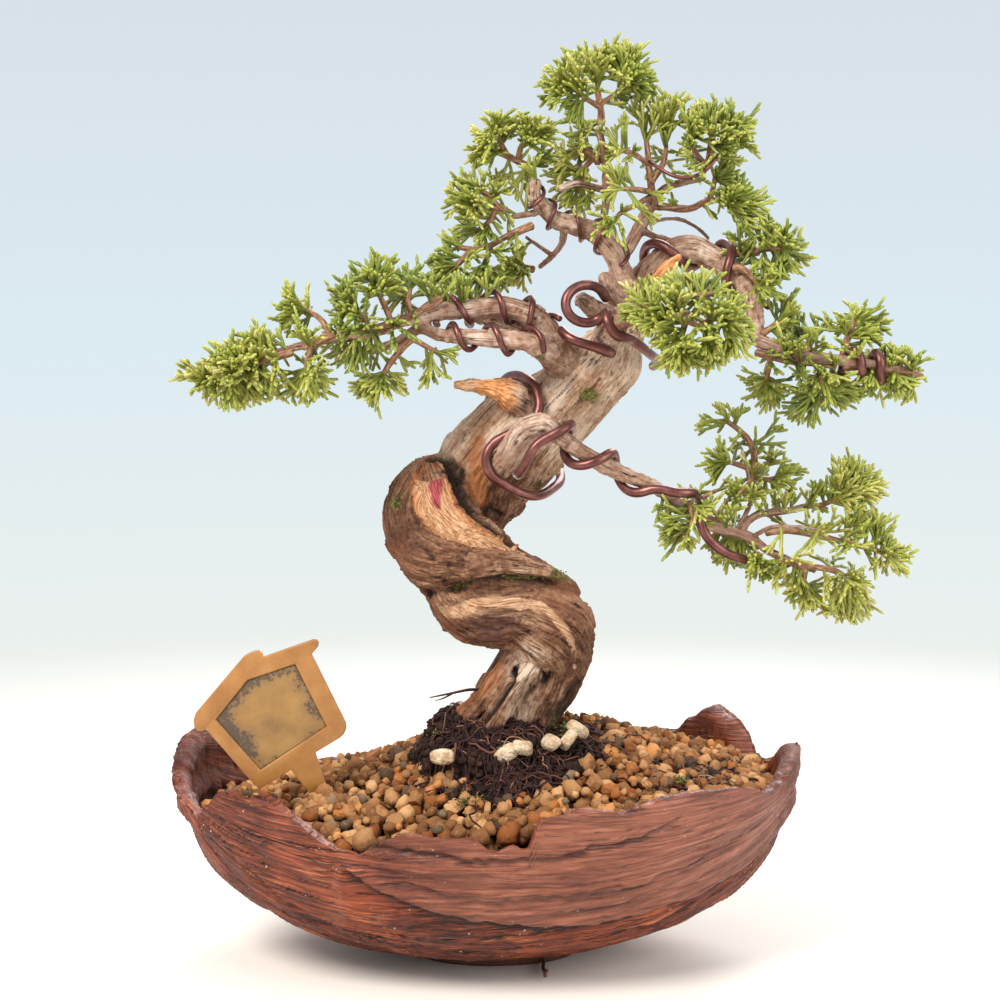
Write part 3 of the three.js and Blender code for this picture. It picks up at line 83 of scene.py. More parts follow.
class Finish:
    """A named material that is built up node by node."""

    def __init__(self, name):
        self.mat = bpy.data.materials.new(name)
        self.mat.use_nodes = True
        self.tree = self.mat.node_tree
        self.tree.nodes.clear()
        self.shader = self.tree.nodes.new("ShaderNodeBsdfPrincipled")
        self.output = self.tree.nodes.new("ShaderNodeOutputMaterial")
        self.tree.links.new(self.shader.outputs[0], self.output.inputs[0])

    def put(self, socket, value):
        if isinstance(value, Sock):
            self.tree.links.new(value.out, socket)
        elif isinstance(value, tuple) and len(value) == 3 and socket.type == "RGBA":
            socket.default_value = (*value, 1)
        else:
            socket.default_value = value

    def node(self, kind, settings, inputs, output=0):
        made = self.tree.nodes.new(kind)
        stops = settings.get("stops")
        for key, value in settings.items():
            if key != "stops":
                setattr(made, key, value)
        if stops:
            ramp = made.color_ramp
            while len(ramp.elements) < len(stops):
                ramp.elements.new(0.5)
            for element, (place, colour) in zip(ramp.elements, stops):
                element.position = place
                element.color = (*colour, 1)
        for key, value in inputs.items():
            self.put(made.inputs[key], value)
        return Sock(self, made.outputs[output])

    def place(self):
        return self.node("ShaderNodeTexCoord", {}, {}, "Object")

    def attribute(self, name, output="Fac"):
        return self.node("ShaderNodeAttribute", {"attribute_name": name}, {}, output)

    def stretch(self, vector, scale):
        return self.node("ShaderNodeMapping", {}, {"Vector": vector, "Scale": scale})

    def noise(self, vector, scale, detail=3.0, rough=0.55, twist=0.0):
        return self.node("ShaderNodeTexNoise", {},
                         {"Vector": vector, "Scale": scale, "Detail": detail, "Roughness": rough,
                          "Distortion": twist})

    def cells(self, vector, scale, feature="F1", output="Distance"):
        return self.node("ShaderNodeTexVoronoi", {"feature": feature}, {"Vector": vector, "Scale": scale},
                         output)

    def parts(self, vector):
        """The three numbers of a vector."""
        split = self.node("ShaderNodeSeparateXYZ", {}, {"Vector": vector}).out.node
        return [Sock(self, socket) for socket in split.outputs]

    def veins(self, vector, scale, low, high):
        """Thin lines, where a noise passes through its middle value."""
        line = self.noise(vector, scale, 2, 0.5) - 0.5
        return 1 - line.calc("ABSOLUTE").step(low, high)

    def ramp(self, value, *stops):
        return self.node("ShaderNodeValToRGB", {"stops": stops}, {"Fac": value})

    def mix(self, share, first, second, blend="MIX"):
        made = self.tree.nodes.new("ShaderNodeMix")
        made.data_type = "RGBA"
        made.blend_type = blend
        for key, value in ((0, share), (6, first), (7, second)):
            self.put(made.inputs[key], value)
        return Sock(self, made.outputs[2])

    def bump(self, height, strength, distance, normal=None):
        inputs = {"Height": height, "Strength": strength, "Distance": distance}
        if normal:
            inputs["Normal"] = normal
        return self.node("ShaderNodeBump", {}, inputs)

    def set(self, **values):
        for key, value in values.items():
            self.put(self.shader.inputs[key.replace("_", " ")], value)
        return self.mat


# ------------------------------------------------------------------ numbers in space
def hashed(cell, seed):
    """A steady number from 0 to 1 for each whole-numbered cell."""
    i, j, k = (cell[..., n].astype(np.int64) for n in range(3))
    h = (i * 73856093) ^ (j * 19349663) ^ (k * 83492791) ^ (seed * 2654435761)
    h = (h ^ (h >> 13)) * 1274126177
    return ((h ^ (h >> 16)) & 0xFFFFFF) / float(0xFFFFFF)


def lumps(p, seed=0):
    """Smooth noise from -1 to 1 with lumps one unit across."""
    base = np.floor(p)
    f = p - base
    f = f * f * f * (f * (f * 6 - 15) + 10)
    total = 0
    for dx in (0, 1):
        for dy in (0, 1):
            for dz in (0, 1):
                share = ((f[..., 0] if dx else 1 - f[..., 0]) * (f[..., 1] if dy else 1 - f[..., 1])
                         * (f[..., 2] if dz else 1 - f[..., 2]))
                total = total + share * hashed(base + np.array([dx, dy, dz]), seed)
    return 2 * total - 1


def rough(p, octaves=4, seed=0, gain=0.5):
    """Lumps with finer lumps on them, from -1 to 1."""
    total, size, weight = 0, 1.0, 0
    for n in range(octaves):
        total = total + size * lumps(p * 2.03 ** n + 17.3 * n, seed + n)
        weight += size
        size *= gain
    return total / weight


def ridges(p, seed=0, octaves=2):
    """Sharp creases: 0 in a crease, 1 between creases."""
    total, size, weight = 0, 1.0, 0
    for n in range(octaves):
        total = total + size * np.abs(lumps(p * 2.03 ** n + 31.7 * n, seed + n))
        weight += size
        size *= 0.5
    return np.clip(2.2 * total / weight, 0, 1)


def soft(x, low, high):
    """0 below low, 1 above high and smooth between; the other way round where low is above high."""
    t = np.clip((x - low) / (high - low), 0, 1)
    return t * t * (3 - 2 * t)


def curve_through(points, step):
    """Points [x, y, z, r] about step apart on a smooth curve, and how far along each one is."""
    p = np.array(points, float)
    q = np.vstack([2 * p[0] - p[1], p, 2 * p[-1] - p[-2]])
    out = []
    for i in range(1, len(q) - 2):
        p0, p1, p2, p3 = q[i - 1], q[i], q[i + 1], q[i + 2]
        t0 = 0.0
        t1 = t0 + max(np.linalg.norm((p1 - p0)[:3]) ** 0.5, 1e-4)
        t2 = t1 + max(np.linalg.norm((p2 - p1)[:3]) ** 0.5, 1e-4)
        t3 = t2 + max(np.linalg.norm((p3 - p2)[:3]) ** 0.5, 1e-4)
        count = max(1, int(round(np.linalg.norm((p2 - p1)[:3]) / step)))
        for t in np.linspace(t1, t2, count, endpoint=False):
            a1 = (t1 - t) / (t1 - t0) * p0 + (t - t0) / (t1 - t0) * p1
            a2 = (t2 - t) / (t2 - t1) * p1 + (t - t1) / (t2 - t1) * p2
            a3 = (t3 - t) / (t3 - t2) * p2 + (t - t2) / (t3 - t2) * p3
            b1 = (t2 - t) / (t2 - t0) * a1 + (t - t0) / (t2 - t0) * a2
            b2 = (t3 - t) / (t3 - t1) * a2 + (t - t1) / (t3 - t1) * a3
            out.append((t2 - t) / (t2 - t1) * b1 + (t - t1) / (t2 - t1) * b2)
    out.append(p[-1])
    out = np.array(out)
    if out.shape[1] > 3:
        low, high = p[:, 3].min(), p[:, 3].max()
        out[:, 3] = np.clip(out[:, 3], low, high)
    along = np.r_[0, np.cumsum(np.linalg.norm(np.diff(out[:, :3], axis=0), axis=1))]
    return out, along


def frames_along(centres, first=(0, -1, 0)):
    """Tangent, side and up at each point of a curve, carried along without twist."""
    tangent = np.gradient(centres, axis=0)
    tangent /= np.linalg.norm(tangent, axis=1)[:, None] + 1e-12
    side = np.zeros_like(centres)
    now = np.array(first, float)
    if abs(now @ tangent[0]) > 0.95:
        now = np.array([1.0, 0, 0])
    for i, t in enumerate(tangent):
        now = now - (now @ t) * t
        now = now / (np.linalg.norm(now) + 1e-12)
        side[i] = now
    return tangent, side, np.cross(tangent, side)


class Shape:
    """Vertices in millimetres, faces, and a number or three for each vertex."""

    def __init__(self):
        self.verts, self.faces, self.count = [], [], 0
        self.notes = {}

    def add(self, verts, faces, **notes):
        verts = np.asarray(verts, float)
        self.verts.append(verts)
        self.faces += [tuple(int(i) + self.count for i in f) for f in faces]
        self.count += len(verts)
        for key, value in notes.items():
            value = np.asarray(value, float)
            if value.ndim == 0:
                value = np.full(len(verts), float(value))
            self.notes.setdefault(key, []).append(value)

    def grid(self, rings, closed=True, caps=True, **notes):
        """Joins rows of points, each row a ring; caps put a point in the middle of each end."""
        rings = np.asarray(rings, float)
        rows, sides = rings.shape[:2]
        verts = rings.reshape(-1, 3)
        faces = []
        for r in range(rows - 1):
            for k in range(sides if closed else sides - 1):
                n = (k + 1) % sides
                faces.append((r * sides + k, r * sides + n, (r + 1) * sides + n, (r + 1) * sides + k))
        if caps:
            verts = np.vstack([verts, rings[0].mean(0), rings[-1].mean(0)])
            first, last = rows * sides, rows * sides + 1
            for k in range(sides):
                n = (k + 1) % sides
                faces.append((first, n, k))
                faces.append((last, (rows - 1) * sides + k, (rows - 1) * sides + n))
            notes = {key: np.concatenate([np.asarray(v, float).reshape(rows * sides, -1),
                                          [np.asarray(v, float).reshape(rows * sides, -1)[0]],
                                          [np.asarray(v, float).reshape(rows * sides, -1)[-1]]]).squeeze()
                     if np.ndim(v) else v for key, v in notes.items()}
        self.add(verts, faces, **notes)

    def build(self, name, material):
        mesh = bpy.data.meshes.new(name)
        verts = np.vstack(self.verts) * MM
        mesh.from_pydata(verts.tolist(), [], self.faces)
        for key, parts in self.notes.items():
            write_note(mesh, key, np.concatenate(parts))
        shade_smooth(mesh)
        mesh.materials.append(material)
        mesh.update()
        piece = bpy.data.objects.new(name, mesh)
        bpy.context.collection.objects.link(piece)
        return piece


def write_note(mesh, key, values):
    """Keeps a number, or three, on each vertex for the material to read."""
    values = np.asarray(values, np.float32)
    if values.ndim == 1:
        layer = mesh.attributes.new(key, "FLOAT", "POINT")
        layer.data.foreach_set("value", values)
    else:
        layer = mesh.attributes.new(key, "FLOAT_VECTOR", "POINT")
        layer.data.foreach_set("vector", values.ravel())


def read_verts(mesh):
    out = np.empty(3 * len(mesh.vertices), np.float32)
    mesh.vertices.foreach_get("co", out)
    return out.reshape(-1, 3).astype(float) / MM


def move_verts(mesh, verts):
    mesh.vertices.foreach_set("co", (verts * MM).astype(np.float32).ravel())
    mesh.update()


def normals_of(mesh):
    out = np.empty(3 * len(mesh.vertices), np.float32)
    mesh.vertices.foreach_get("normal", out)
    return out.reshape(-1, 3).astype(float)


def tube(shape, points, sides=10, step=1.2, wobble=0.0, seed=0, **notes):
    """A round tube along [x, y, z, r] points with rounded ends."""
    path, along = curve_through(points, step)
    centres, radii = path[:, :3], path[:, 3]
    tangent, side, up = frames_along(centres)
    r0, r1 = radii[0], radii[-1]
    centres = np.vstack([centres[0] - tangent[0] * r0 * 0.45, centres[0] - tangent[0] * r0 * 0.2, centres,
                         centres[-1] + tangent[-1] * r1 * 0.2, centres[-1] + tangent[-1] * r1 * 0.45])
    radii = np.r_[r0 * 0.5, r0 * 0.86, radii, r1 * 0.86, r1 * 0.5]
    side = np.vstack([side[0], side[0], side, side[-1], side[-1]])
    up = np.vstack([up[0], up[0], up, up[-1], up[-1]])
    along = np.r_[along[0], along[0], along, along[-1], along[-1]]
    a = np.linspace(0, 2 * np.pi, sides, endpoint=False)
    out = side[:, None] * np.cos(a)[None, :, None] + up[:, None] * np.sin(a)[None, :, None]
    r = np.repeat(radii[:, None], sides, 1)
    if wobble:
        where = centres[:, None] + out * r[..., None]
        r = r * (1 + wobble * rough(where / 3.0, 3, seed))
    rings = centres[:, None] + out * r[..., None]
    grain = np.stack([np.cos(a)[None] * r, np.sin(a)[None] * r,
                      np.repeat(along[:, None], sides, 1) + 7.3 * seed], -1)
    shape.grid(rings, grain=grain.reshape(-1, 3), **notes)


# ------------------------------------------------------------------ work on a finished piece
def only(piece):
    """Selects this piece alone."""
    bpy.ops.object.select_all(action="DESELECT")
    piece.select_set(True)
    bpy.context.view_layer.objects.active = piece


def work(piece, kind, **settings):
    """Adds a modifier with these settings and applies it."""
    only(piece)
    step = piece.modifiers.new(kind.lower(), kind)
    for key, value in settings.items():
        setattr(step, key, value)
    bpy.ops.object.modifier_apply(modifier=step.name)


def shade_smooth(mesh):
    mesh.polygons.foreach_set("use_smooth", np.full(len(mesh.polygons), True))


def belongs(piece, slot, *nodes):
    """Puts a piece on the part's one body and hides the nodes it stands for."""
    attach(piece, "root")
    if nodes:
        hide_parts(*nodes)


# ------------------------------------------------------------------ wood
# Limbs as [x, y, z, radius] points: the trunk's four bends, the straps that cross it, the branches.
TRUNK = [
    [[2, 2, 42, 11.5], [3.5, 2, 52.5, 12.6], [4.2, 2, 60, 11.6], [7.8, 1.5, 67.5, 11.1],
     [12.6, 0, 75.5, 11.4],
     [15.3, -2, 82, 11], [16, -3, 86, 8]],
    [[17.2, -2, 79.3, 9.4], [13.7, -6, 86.5, 11.4], [5.5, -8.5, 91, 9.4], [-3, -10, 91.5, 8.9],
     [-8.5, -9, 94.5, 7.8],
     [-11.5, -7, 99, 7]],
    [[-8, -8, 94, 7], [-11.3, -6, 99.5, 8.2], [-15.7, -4, 106, 9.2], [-18, -1, 113.8, 10.8],
     [-13.8, 2.5, 119.4, 11.2],
     [-7, 6, 121, 9]],
    [[-6, 8, 112, 9.5], [-5, 8, 118.5, 12.4], [-2.2, 7, 125, 13], [3.8, 5, 131.5, 13.4],
     [9, 3.5, 136.2, 12.6],
     [14.6, 2, 140.4, 11], [23.4, 0.5, 148.5, 9.8], [29.5, 0, 155, 8.6], [32.4, 0, 161, 6.6],
     [33, 0.5, 168, 4.4],
     [33.5, 1, 173.5, 3.3]],
]
STRAPS = [
    [[-18, -8, 107, 7.4], [-14.5, -11.8, 104.8, 7.4], [-9.5, -14.2, 103.8, 6.2], [-4.5, -15.4, 103.4, 5],
     [1, -15.2, 103.2, 4.2], [7, -13.5, 102.2, 3.8], [12, -10.5, 100.4, 3.4], [17, -7, 97.2, 3.1],
     [20, -3, 94.5, 2.9]],
    [[-14.5, -1, 122, 8.5], [-12.5, -4, 115.5, 8.8], [-8, -7, 110.5, 7.6], [-2, -9, 108, 5.8],
     [4, -9, 104.6, 4.3], [10, -8, 101.3, 3.5], [15, -6, 97.8, 3.1]],
    [[-15.5, -3, 52, 4.4], [-9, -6, 61, 3.5], [-1.8, -8, 69.2, 2.6], [3, -9, 76, 2.6], [6.5, -8, 81, 2.6]],
    [[-3.5, -11, 56, 3.4], [1, -12.5, 65, 3], [5, -12.5, 71.5, 2.7], [10, -11.5, 77, 2.4]],
]
BRANCHES = {
    "apexStem": [[33.5, 1, 173, 3.3], [32.5, 2, 178.5, 2.8], [29.5, 2, 184, 2.8], [26, 3, 187.5, 2.8],
                 [21, 2, 189, 2.6], [16, 1, 190.5, 2.3], [13, 0, 193.5, 2.2], [10.5, -2, 196.5, 1.9],
                 [11, -4, 200, 1.5]],
    "leader": [[29.5, 2, 184, 2.1], [28.5, 4, 189.5, 1.7], [29, 4, 195.5, 1.5], [29, 3, 202, 1.4],
               [28, 2, 208.5, 1.4], [27, 1, 213.5, 1.5]],
    "apexRight": [[32, 2, 179, 2.2], [35.5, 5, 184.5, 2.2], [38.5, 6, 190, 2.1], [41, 6, 195, 1.9],
                  [44, 4, 198.5, 1.5], [48.5, 0, 200, 1.3], [53.5, -3, 201, 1.1]],
    "arch": [[28.5, 4, 198, 1.3], [24.5, 0, 199, 1.3], [20.5, -4, 199.5, 1.2], [17, -7, 198, 1.2]],
    "leftMidTwig": [[13, 0, 193, 1.6], [9, 1, 192, 1.2], [5, 2, 191.3, 1]],
    "dropTwig": [[18.5, 3, 188.5, 1.3], [18, 6, 185, 1.2], [15.5, 8, 181.5, 1], [12, 9, 178.5, 0.9]],
    "dropTwigUpper": [[15.5, 8, 181.5, 1], [12.5, 5, 183.5, 0.9], [8.5, 2, 186, 0.8]],
    "rightUpper": [[34, 2, 163, 5], [37.5, 4, 171, 4], [40, 6, 176.5, 3.7], [43.5, 6, 180.5, 3.5],
                   [48, 5, 183, 3.5], [52.5, 4, 182.8, 3.4], [57, 2, 180.5, 3.2], [61, 0, 177.5, 3.1],
                   [63.8, -2, 174.3, 2.8], [66, -4, 170, 2.5], [66.5, -5, 165, 2.3], [67, -7, 160.5, 2],
                   [71.5, -9, 158.5, 1.8], [78.5, -10, 156.5, 1.5], [87.5, -10, 155, 1.4],
                   [96.5, -10, 154, 1.3],
                   [102.5, -9, 153, 1.1], [107.5, -8, 151.5, 0.8]],
    "rightTwig": [[57, 2, 180.5, 1.8], [61, 6, 182, 1.4], [65, 9, 182, 1.1]],
    "arcTwig": [[38, 6, 189, 1.1], [42, 8, 190.5, 0.8], [47.5, 10, 191, 0.7], [52.5, 11, 189, 0.7],
                [56, 10, 186, 0.7]],
    "brokenTwig": [[38, 5, 188, 1.4], [43, 7, 186, 1.2], [47.5, 8, 184.5, 1.1], [50, 6, 183, 1.1]],
    "sideTwig": [[41, 6, 194, 1.3], [44.5, 3, 193.5, 0.9], [49, 0, 193.5, 0.8]],
    "front": [[27.5, -4, 158, 3.6], [29.5, -12, 162, 3], [32, -19, 165, 2.5], [35.5, -24.5, 166.3, 2],
              [42.5, -32, 167, 1.6], [48, -36, 166.5, 1.2]],
    "leftUpper": [[20, -2, 151.5, 5.6], [16, -6, 157.5, 4.5], [13.5, -8, 162.5, 3.4], [11, -9, 165.5, 3],
                  [7, -9, 167.5, 2.8], [2, -9, 168.5, 2.8], [-5, -10, 168, 2.5], [-11.5, -11, 167.5, 2.3],
                  [-17, -13, 166.5, 1.9], [-22.5, -15, 165, 1.7], [-30, -17, 162.5, 1.6],
                  [-38, -19, 161.5, 1.5],
                  [-47.5, -20, 159, 1.2], [-57, -21, 156, 1.1], [-66, -21, 153, 1], [-73.5, -20, 151, 0.7]],
    "leftUnder": [[13.5, -4, 160, 3.1], [9, -3, 162.5, 2.8], [4, -3.5, 164.5, 2.5], [-1, -5, 166, 2.4],
                  [-6, -8, 167, 2]],
    "leftLower": [[16, -7, 155.5, 4], [12, -13, 158.5, 2.9], [7.5, -15, 160, 2.5], [2, -15.5, 160.5, 2.4],
                  [-3.5, -15.5, 161, 2.2], [-9, -15, 161.3, 2], [-13, -14.5, 161.5, 1.7],
                  [-18, -12, 163, 1.5],
                  [-24.5, -8, 159.5, 1.3], [-31, -4, 157, 1.1]],
    "lowerRight": [[1, -9, 128, 3.2], [3.8, -15.5, 132, 2.9], [6.5, -19, 136.5, 2.9], [9.5, -20.5, 139, 3],
                   [13, -20.5, 139.5, 2.8], [16.3, -20, 137, 2.5], [20, -19, 134, 2.2],
                   [26.5, -17, 130, 2.1],
                   [33.5, -15, 126.5, 2], [40.5, -13, 123.5, 1.8], [47, -12, 119, 1.5],
                   [51.5, -12, 115, 1.4],
                   [58, -12, 112.5, 1.3], [65, -12, 110.5, 1.3], [70, -12, 107, 1.1], [75.5, -11, 104.5, 1],
                   [82, -10, 101.5, 0.8]],
    "lowerUp": [[63, -12, 111, 1.3], [65, -10, 114.5, 1.3], [70, -8, 116.5, 1.3], [76.5, -6, 117, 1.1],
                [82, -4, 118, 1]],
    "lowerMid": [[65.5, -12, 110.5, 1.1], [70, -16, 113.5, 0.9], [76, -19, 114, 0.7],
                 [82.5, -21, 113, 0.6]],
    "lowerTop": [[61.5, -11, 111.5, 0.9], [66, -6, 120, 0.8], [65, -3, 127, 0.8], [64, -2, 131.5, 0.7]],
    "jin": [[10, -3, 142, 4.6], [6, -7, 145.2, 4], [2, -9, 147.5, 3.2], [-3, -10.5, 148.7, 2.2],
            [-9.5, -12, 149, 1.2]],
    "brokenJin": [[39, 2, 173, 1.4], [42, -1.5, 176, 1.6], [45, -4, 179, 1.4], [47.5, -5.5, 181.5, 0.8]],
    "cutStub": [[32.5, -1, 170, 2.6], [29.5, -5.5, 173.5, 2.3], [28, -7.5, 176.2, 1.8]],
    "ringStub": [[29, -3, 165, 3], [25, -9, 168.3, 2.4], [22, -13, 170.5, 2]],
}

# Marks on the wood, as [x, y, z, radius] points of each stroke: the bare torn face with its red
# blush, carved folds and cracks darkened with painted shade, dark patches, rusty and pale streaks, and moss.
FACE = [[-15.8, -8.5, 126, 5], [-15.6, -9.2, 123.4, 5], [-15, -10.5, 119.5, 5], [-12.4, -12.2, 115.6, 4.5],
        [-8.3, -13.7, 112.4, 3.7], [-3.9, -14.1, 110, 2.9], [0.8, -13.5, 108.7, 2.2],
        [4.9, -11.9, 107.2, 1.6],
        [8.3, -10.6, 105.8, 0.8]]
BLUSH = [[-14.2, -8.8, 126.4, 2], [-14.4, -9.3, 124.2, 2], [-14.5, -10.5, 121, 1.7],
         [-13.9, -11.3, 118.6, 0.9],
         [-13.4, -11.8, 116.5, 0.4]]
CREVICE = [[-16.5, -1, 129.8, 1.2], [-12.3, -1.5, 128.6, 1.8], [-10.1, -5.2, 126.2, 2],
           [-8.6, -7.9, 121.6, 1.9],
           [-5.8, -10.2, 116.8, 1.7], [-2, -10.8, 113.9, 1.5], [0.8, -11.2, 111.9, 1.3],
           [5, -10.7, 109.4, 0.9]]
SPLIT = [[-7.4, -1.5, 133.3, 0.6], [-7.9, -3.3, 128.3, 0.7], [-6.8, -7.6, 120.8, 0.8],
         [-4.8, -9, 117.1, 0.7]]
ORANGE = [[-3.3, -5.3, 133.6, 2.4], [-3.5, -5.7, 129.1, 2.6], [-3.8, -6, 124, 2.4],
          [-2.8, -4.8, 119.2, 1.8]]
CREASE = [[-20, -9, 94.5, 1.1], [-15.7, -11.5, 96.2, 1.3], [-10, -15.2, 98, 1.4], [-4.7, -19, 99.6, 1.4],
          [0.8, -18.5, 100.6, 1.4], [6.4, -17, 100.6, 1.3], [10.9, -14.7, 99.7, 1.2],
          [15.3, -11.2, 99, 1.1],
          [19, -6.5, 97.5, 1]]
SHARI = [[-4.7, -17.6, 94.9, 1.1], [1.6, -17.4, 95, 1.5], [8.6, -16.7, 94.4, 1.6], [13.9, -15.5, 92.3, 1.5],
         [17, -16.3, 89.2, 1.4], [19.5, -15, 85, 1.3], [20.7, -12.2, 80.9, 1.1], [20.8, -9.9, 76.9, 0.8]]
BARE = [[-11, -16, 91, 1.6], [-5, -17.6, 92.4, 2.2], [3, -17.4, 92, 2.6], [9.5, -16.7, 90.6, 2.8],
        [14, -15.5, 87.6, 2.8],
        [16.5, -14, 82.5, 2.4], [17.5, -12, 77, 2]]
PALE = [[-13.1, -14.4, 92.3, 1.2], [-9.5, -17.3, 92.5, 1.6], [-5.7, -17.4, 93.8, 1.7]]
PLUM = [[-1.9, -17.4, 87.1, 4], [3.1, -18.1, 88.3, 4.6], [8.1, -17.5, 89.7, 3.6]]
CRACKS = [
    [[-18.8, -15, 109.4, 0.6], [-16.9, -17.1, 108.1, 0.7], [-14.9, -18.7, 106, 0.7],
     [-13.9, -18.8, 105.1, 0.5]],
    [[-20.8, -14.3, 105.5, 0.6], [-15.4, -17.7, 102.9, 0.7], [-12.2, -18.2, 100.2, 0.6]],
    [[-0.7, -3.4, 117, 0.5], [2.6, -0.5, 114.6, 0.6], [5.5, 0, 112, 0.5]],
    [[20.9, -11.2, 91.8, 0.6], [23.3, -8.1, 87.5, 0.7], [25, -5.8, 81.9, 0.7], [25.8, -1, 78.1, 0.5]],
    [[8, -7, 141, 0.6], [13, -9, 144, 0.7], [18, -10, 148, 0.5]],
    [[14, -9.5, 135, 0.5], [19, -10, 140, 0.6], [24, -9.8, 145, 0.5]],
    [[12, -13, 92, 0.5], [16.5, -12.5, 88, 0.6], [18, -12, 82, 0.6], [17.5, -11, 76, 0.5]],
    [[6, -12.5, 82, 0.5], [10, -12, 80, 0.6], [13.5, -11.5, 74, 0.6], [13, -10.5, 66, 0.5]],
]
ROOT_GAP = [[-3, -13.2, 62, 1.2], [-0.7, -14.3, 66.1, 1.3], [2.6, -14.4, 70.5, 1.4],
            [4.9, -13.7, 74.3, 1.3],
            [6.4, -9.3, 77, 1]]
RED_ROOT = [[-12, -5, 62, 3.6], [-8.9, -6.5, 67.1, 3.4], [-4.8, -8, 70.3, 3], [-1.2, -9.5, 73.5, 2.8],
            [1.1, -9.6, 76.6, 2.4]]
CUT_TOP = [[-21.5, -8, 127.6, 1.6], [-18.5, -8.5, 129.2, 2.6], [-14.5, -8.5, 129.4, 2.6], [-11, -7, 128, 2]]
BASE_DARK = [[16.4, -1.6, 61, 5], [18, -5, 67, 3.2], [21, -6.5, 72, 2.4]]
MOSS = [[[-24.1, -7.2, 118.7, 2.6]], [[24.6, -8.6, 146.3, 2.8]], [[11.8, -14.6, 156.6, 1.6]],
        [[11, -14, 100.6, 1.3], [15.8, -10.3, 100.4, 2], [19, -6, 98.6, 1.8]], [[11.1, -1.6, 124.1, 2.2]],
        [[-3.2, -11.3, 113.8, 2]], [[2, -18.6, 100.3, 0.9], [6.4, -16.9, 100.6, 1.2],
         [10, -15, 100.2, 1.1]],
        [[-9.5, -15.6, 98.2, 1], [-4, -19, 99.6, 1]], [[17, -6, 62, 2.6]], [[12, -11, 66, 1.4]]]


def stroke(at, points):
    """Distance from each place to a stroke, in shares of the stroke's radius there."""
    line = np.array(points, float)
    if len(line) > 1:
        line = curve_through(points, 0.6)[0]
    best = np.full(len(at), 1e9)
    for x, y, z, r in line:
        best = np.minimum(best, np.sqrt(((at - (x, y, z)) ** 2).sum(1)) / r)
    return best


def mark(at, points, ragged=0.25, sharp=0.12, seed=0):
    """1 within a stroke and 0 beyond it, with a ragged edge."""
    d = stroke(at, points) + ragged * rough(at / 1.6, 3, seed)
    return 1 - soft(d, 1 - sharp, 1 + sharp)


class Limb:
    """A limb's centre line with its grain directions, to bend patterns along the wood."""

    def __init__(self, points, number):
        path, along = curve_through(points, 1.0)
        self.centres, self.radii, self.along = path[:, :3], path[:, 3], along
        self.tangent, self.side, self.up = frames_along(self.centres)
        self.number = number

    def nearest(self, at):
        gap = np.empty(len(at))
        which = np.empty(len(at), int)
        for i in range(0, len(at), 20000):
            part = at[i:i + 20000]
            d = np.sqrt(((part[:, None] - self.centres[None]) ** 2).sum(2)) - self.radii[None]
            which[i:i + 20000] = d.argmin(1)
            gap[i:i + 20000] = d.min(1)
        return gap, which

    def grain(self, at, which):
        away = at - self.centres[which]
        a = np.arctan2((away * self.up[which]).sum(1), (away * self.side[which]).sum(1))
        s = self.along[which] + (away * self.tangent[which]).sum(1)
        r = np.clip(self.radii[which], 1.2, 11)
        a = a + 0.012 * s
        return np.stack([np.cos(a) * r, np.sin(a) * r, s + 41 * self.number], 1)


# How often each pattern of the bark repeats in a millimetre: twice across the limb, then along it.
DEEP_FOLDS, THIN_FOLDS = np.array([0.19, 0.19, 0.024]), np.array([0.62, 0.62, 0.055])
SHEETS, CHIPS_OFF = np.array([0.17, 0.17, 0.045]), np.array([0.55, 0.55, 0.17])
FLAKES, FIBRES = np.array([0.42, 0.42, 0.075]), np.array([1.7, 1.7, 0.16])
SCARS = [[10, -12, 82, 5], [8, -12, 74, 6], [6, -11, 66, 5]]  # pale weathered front of the base


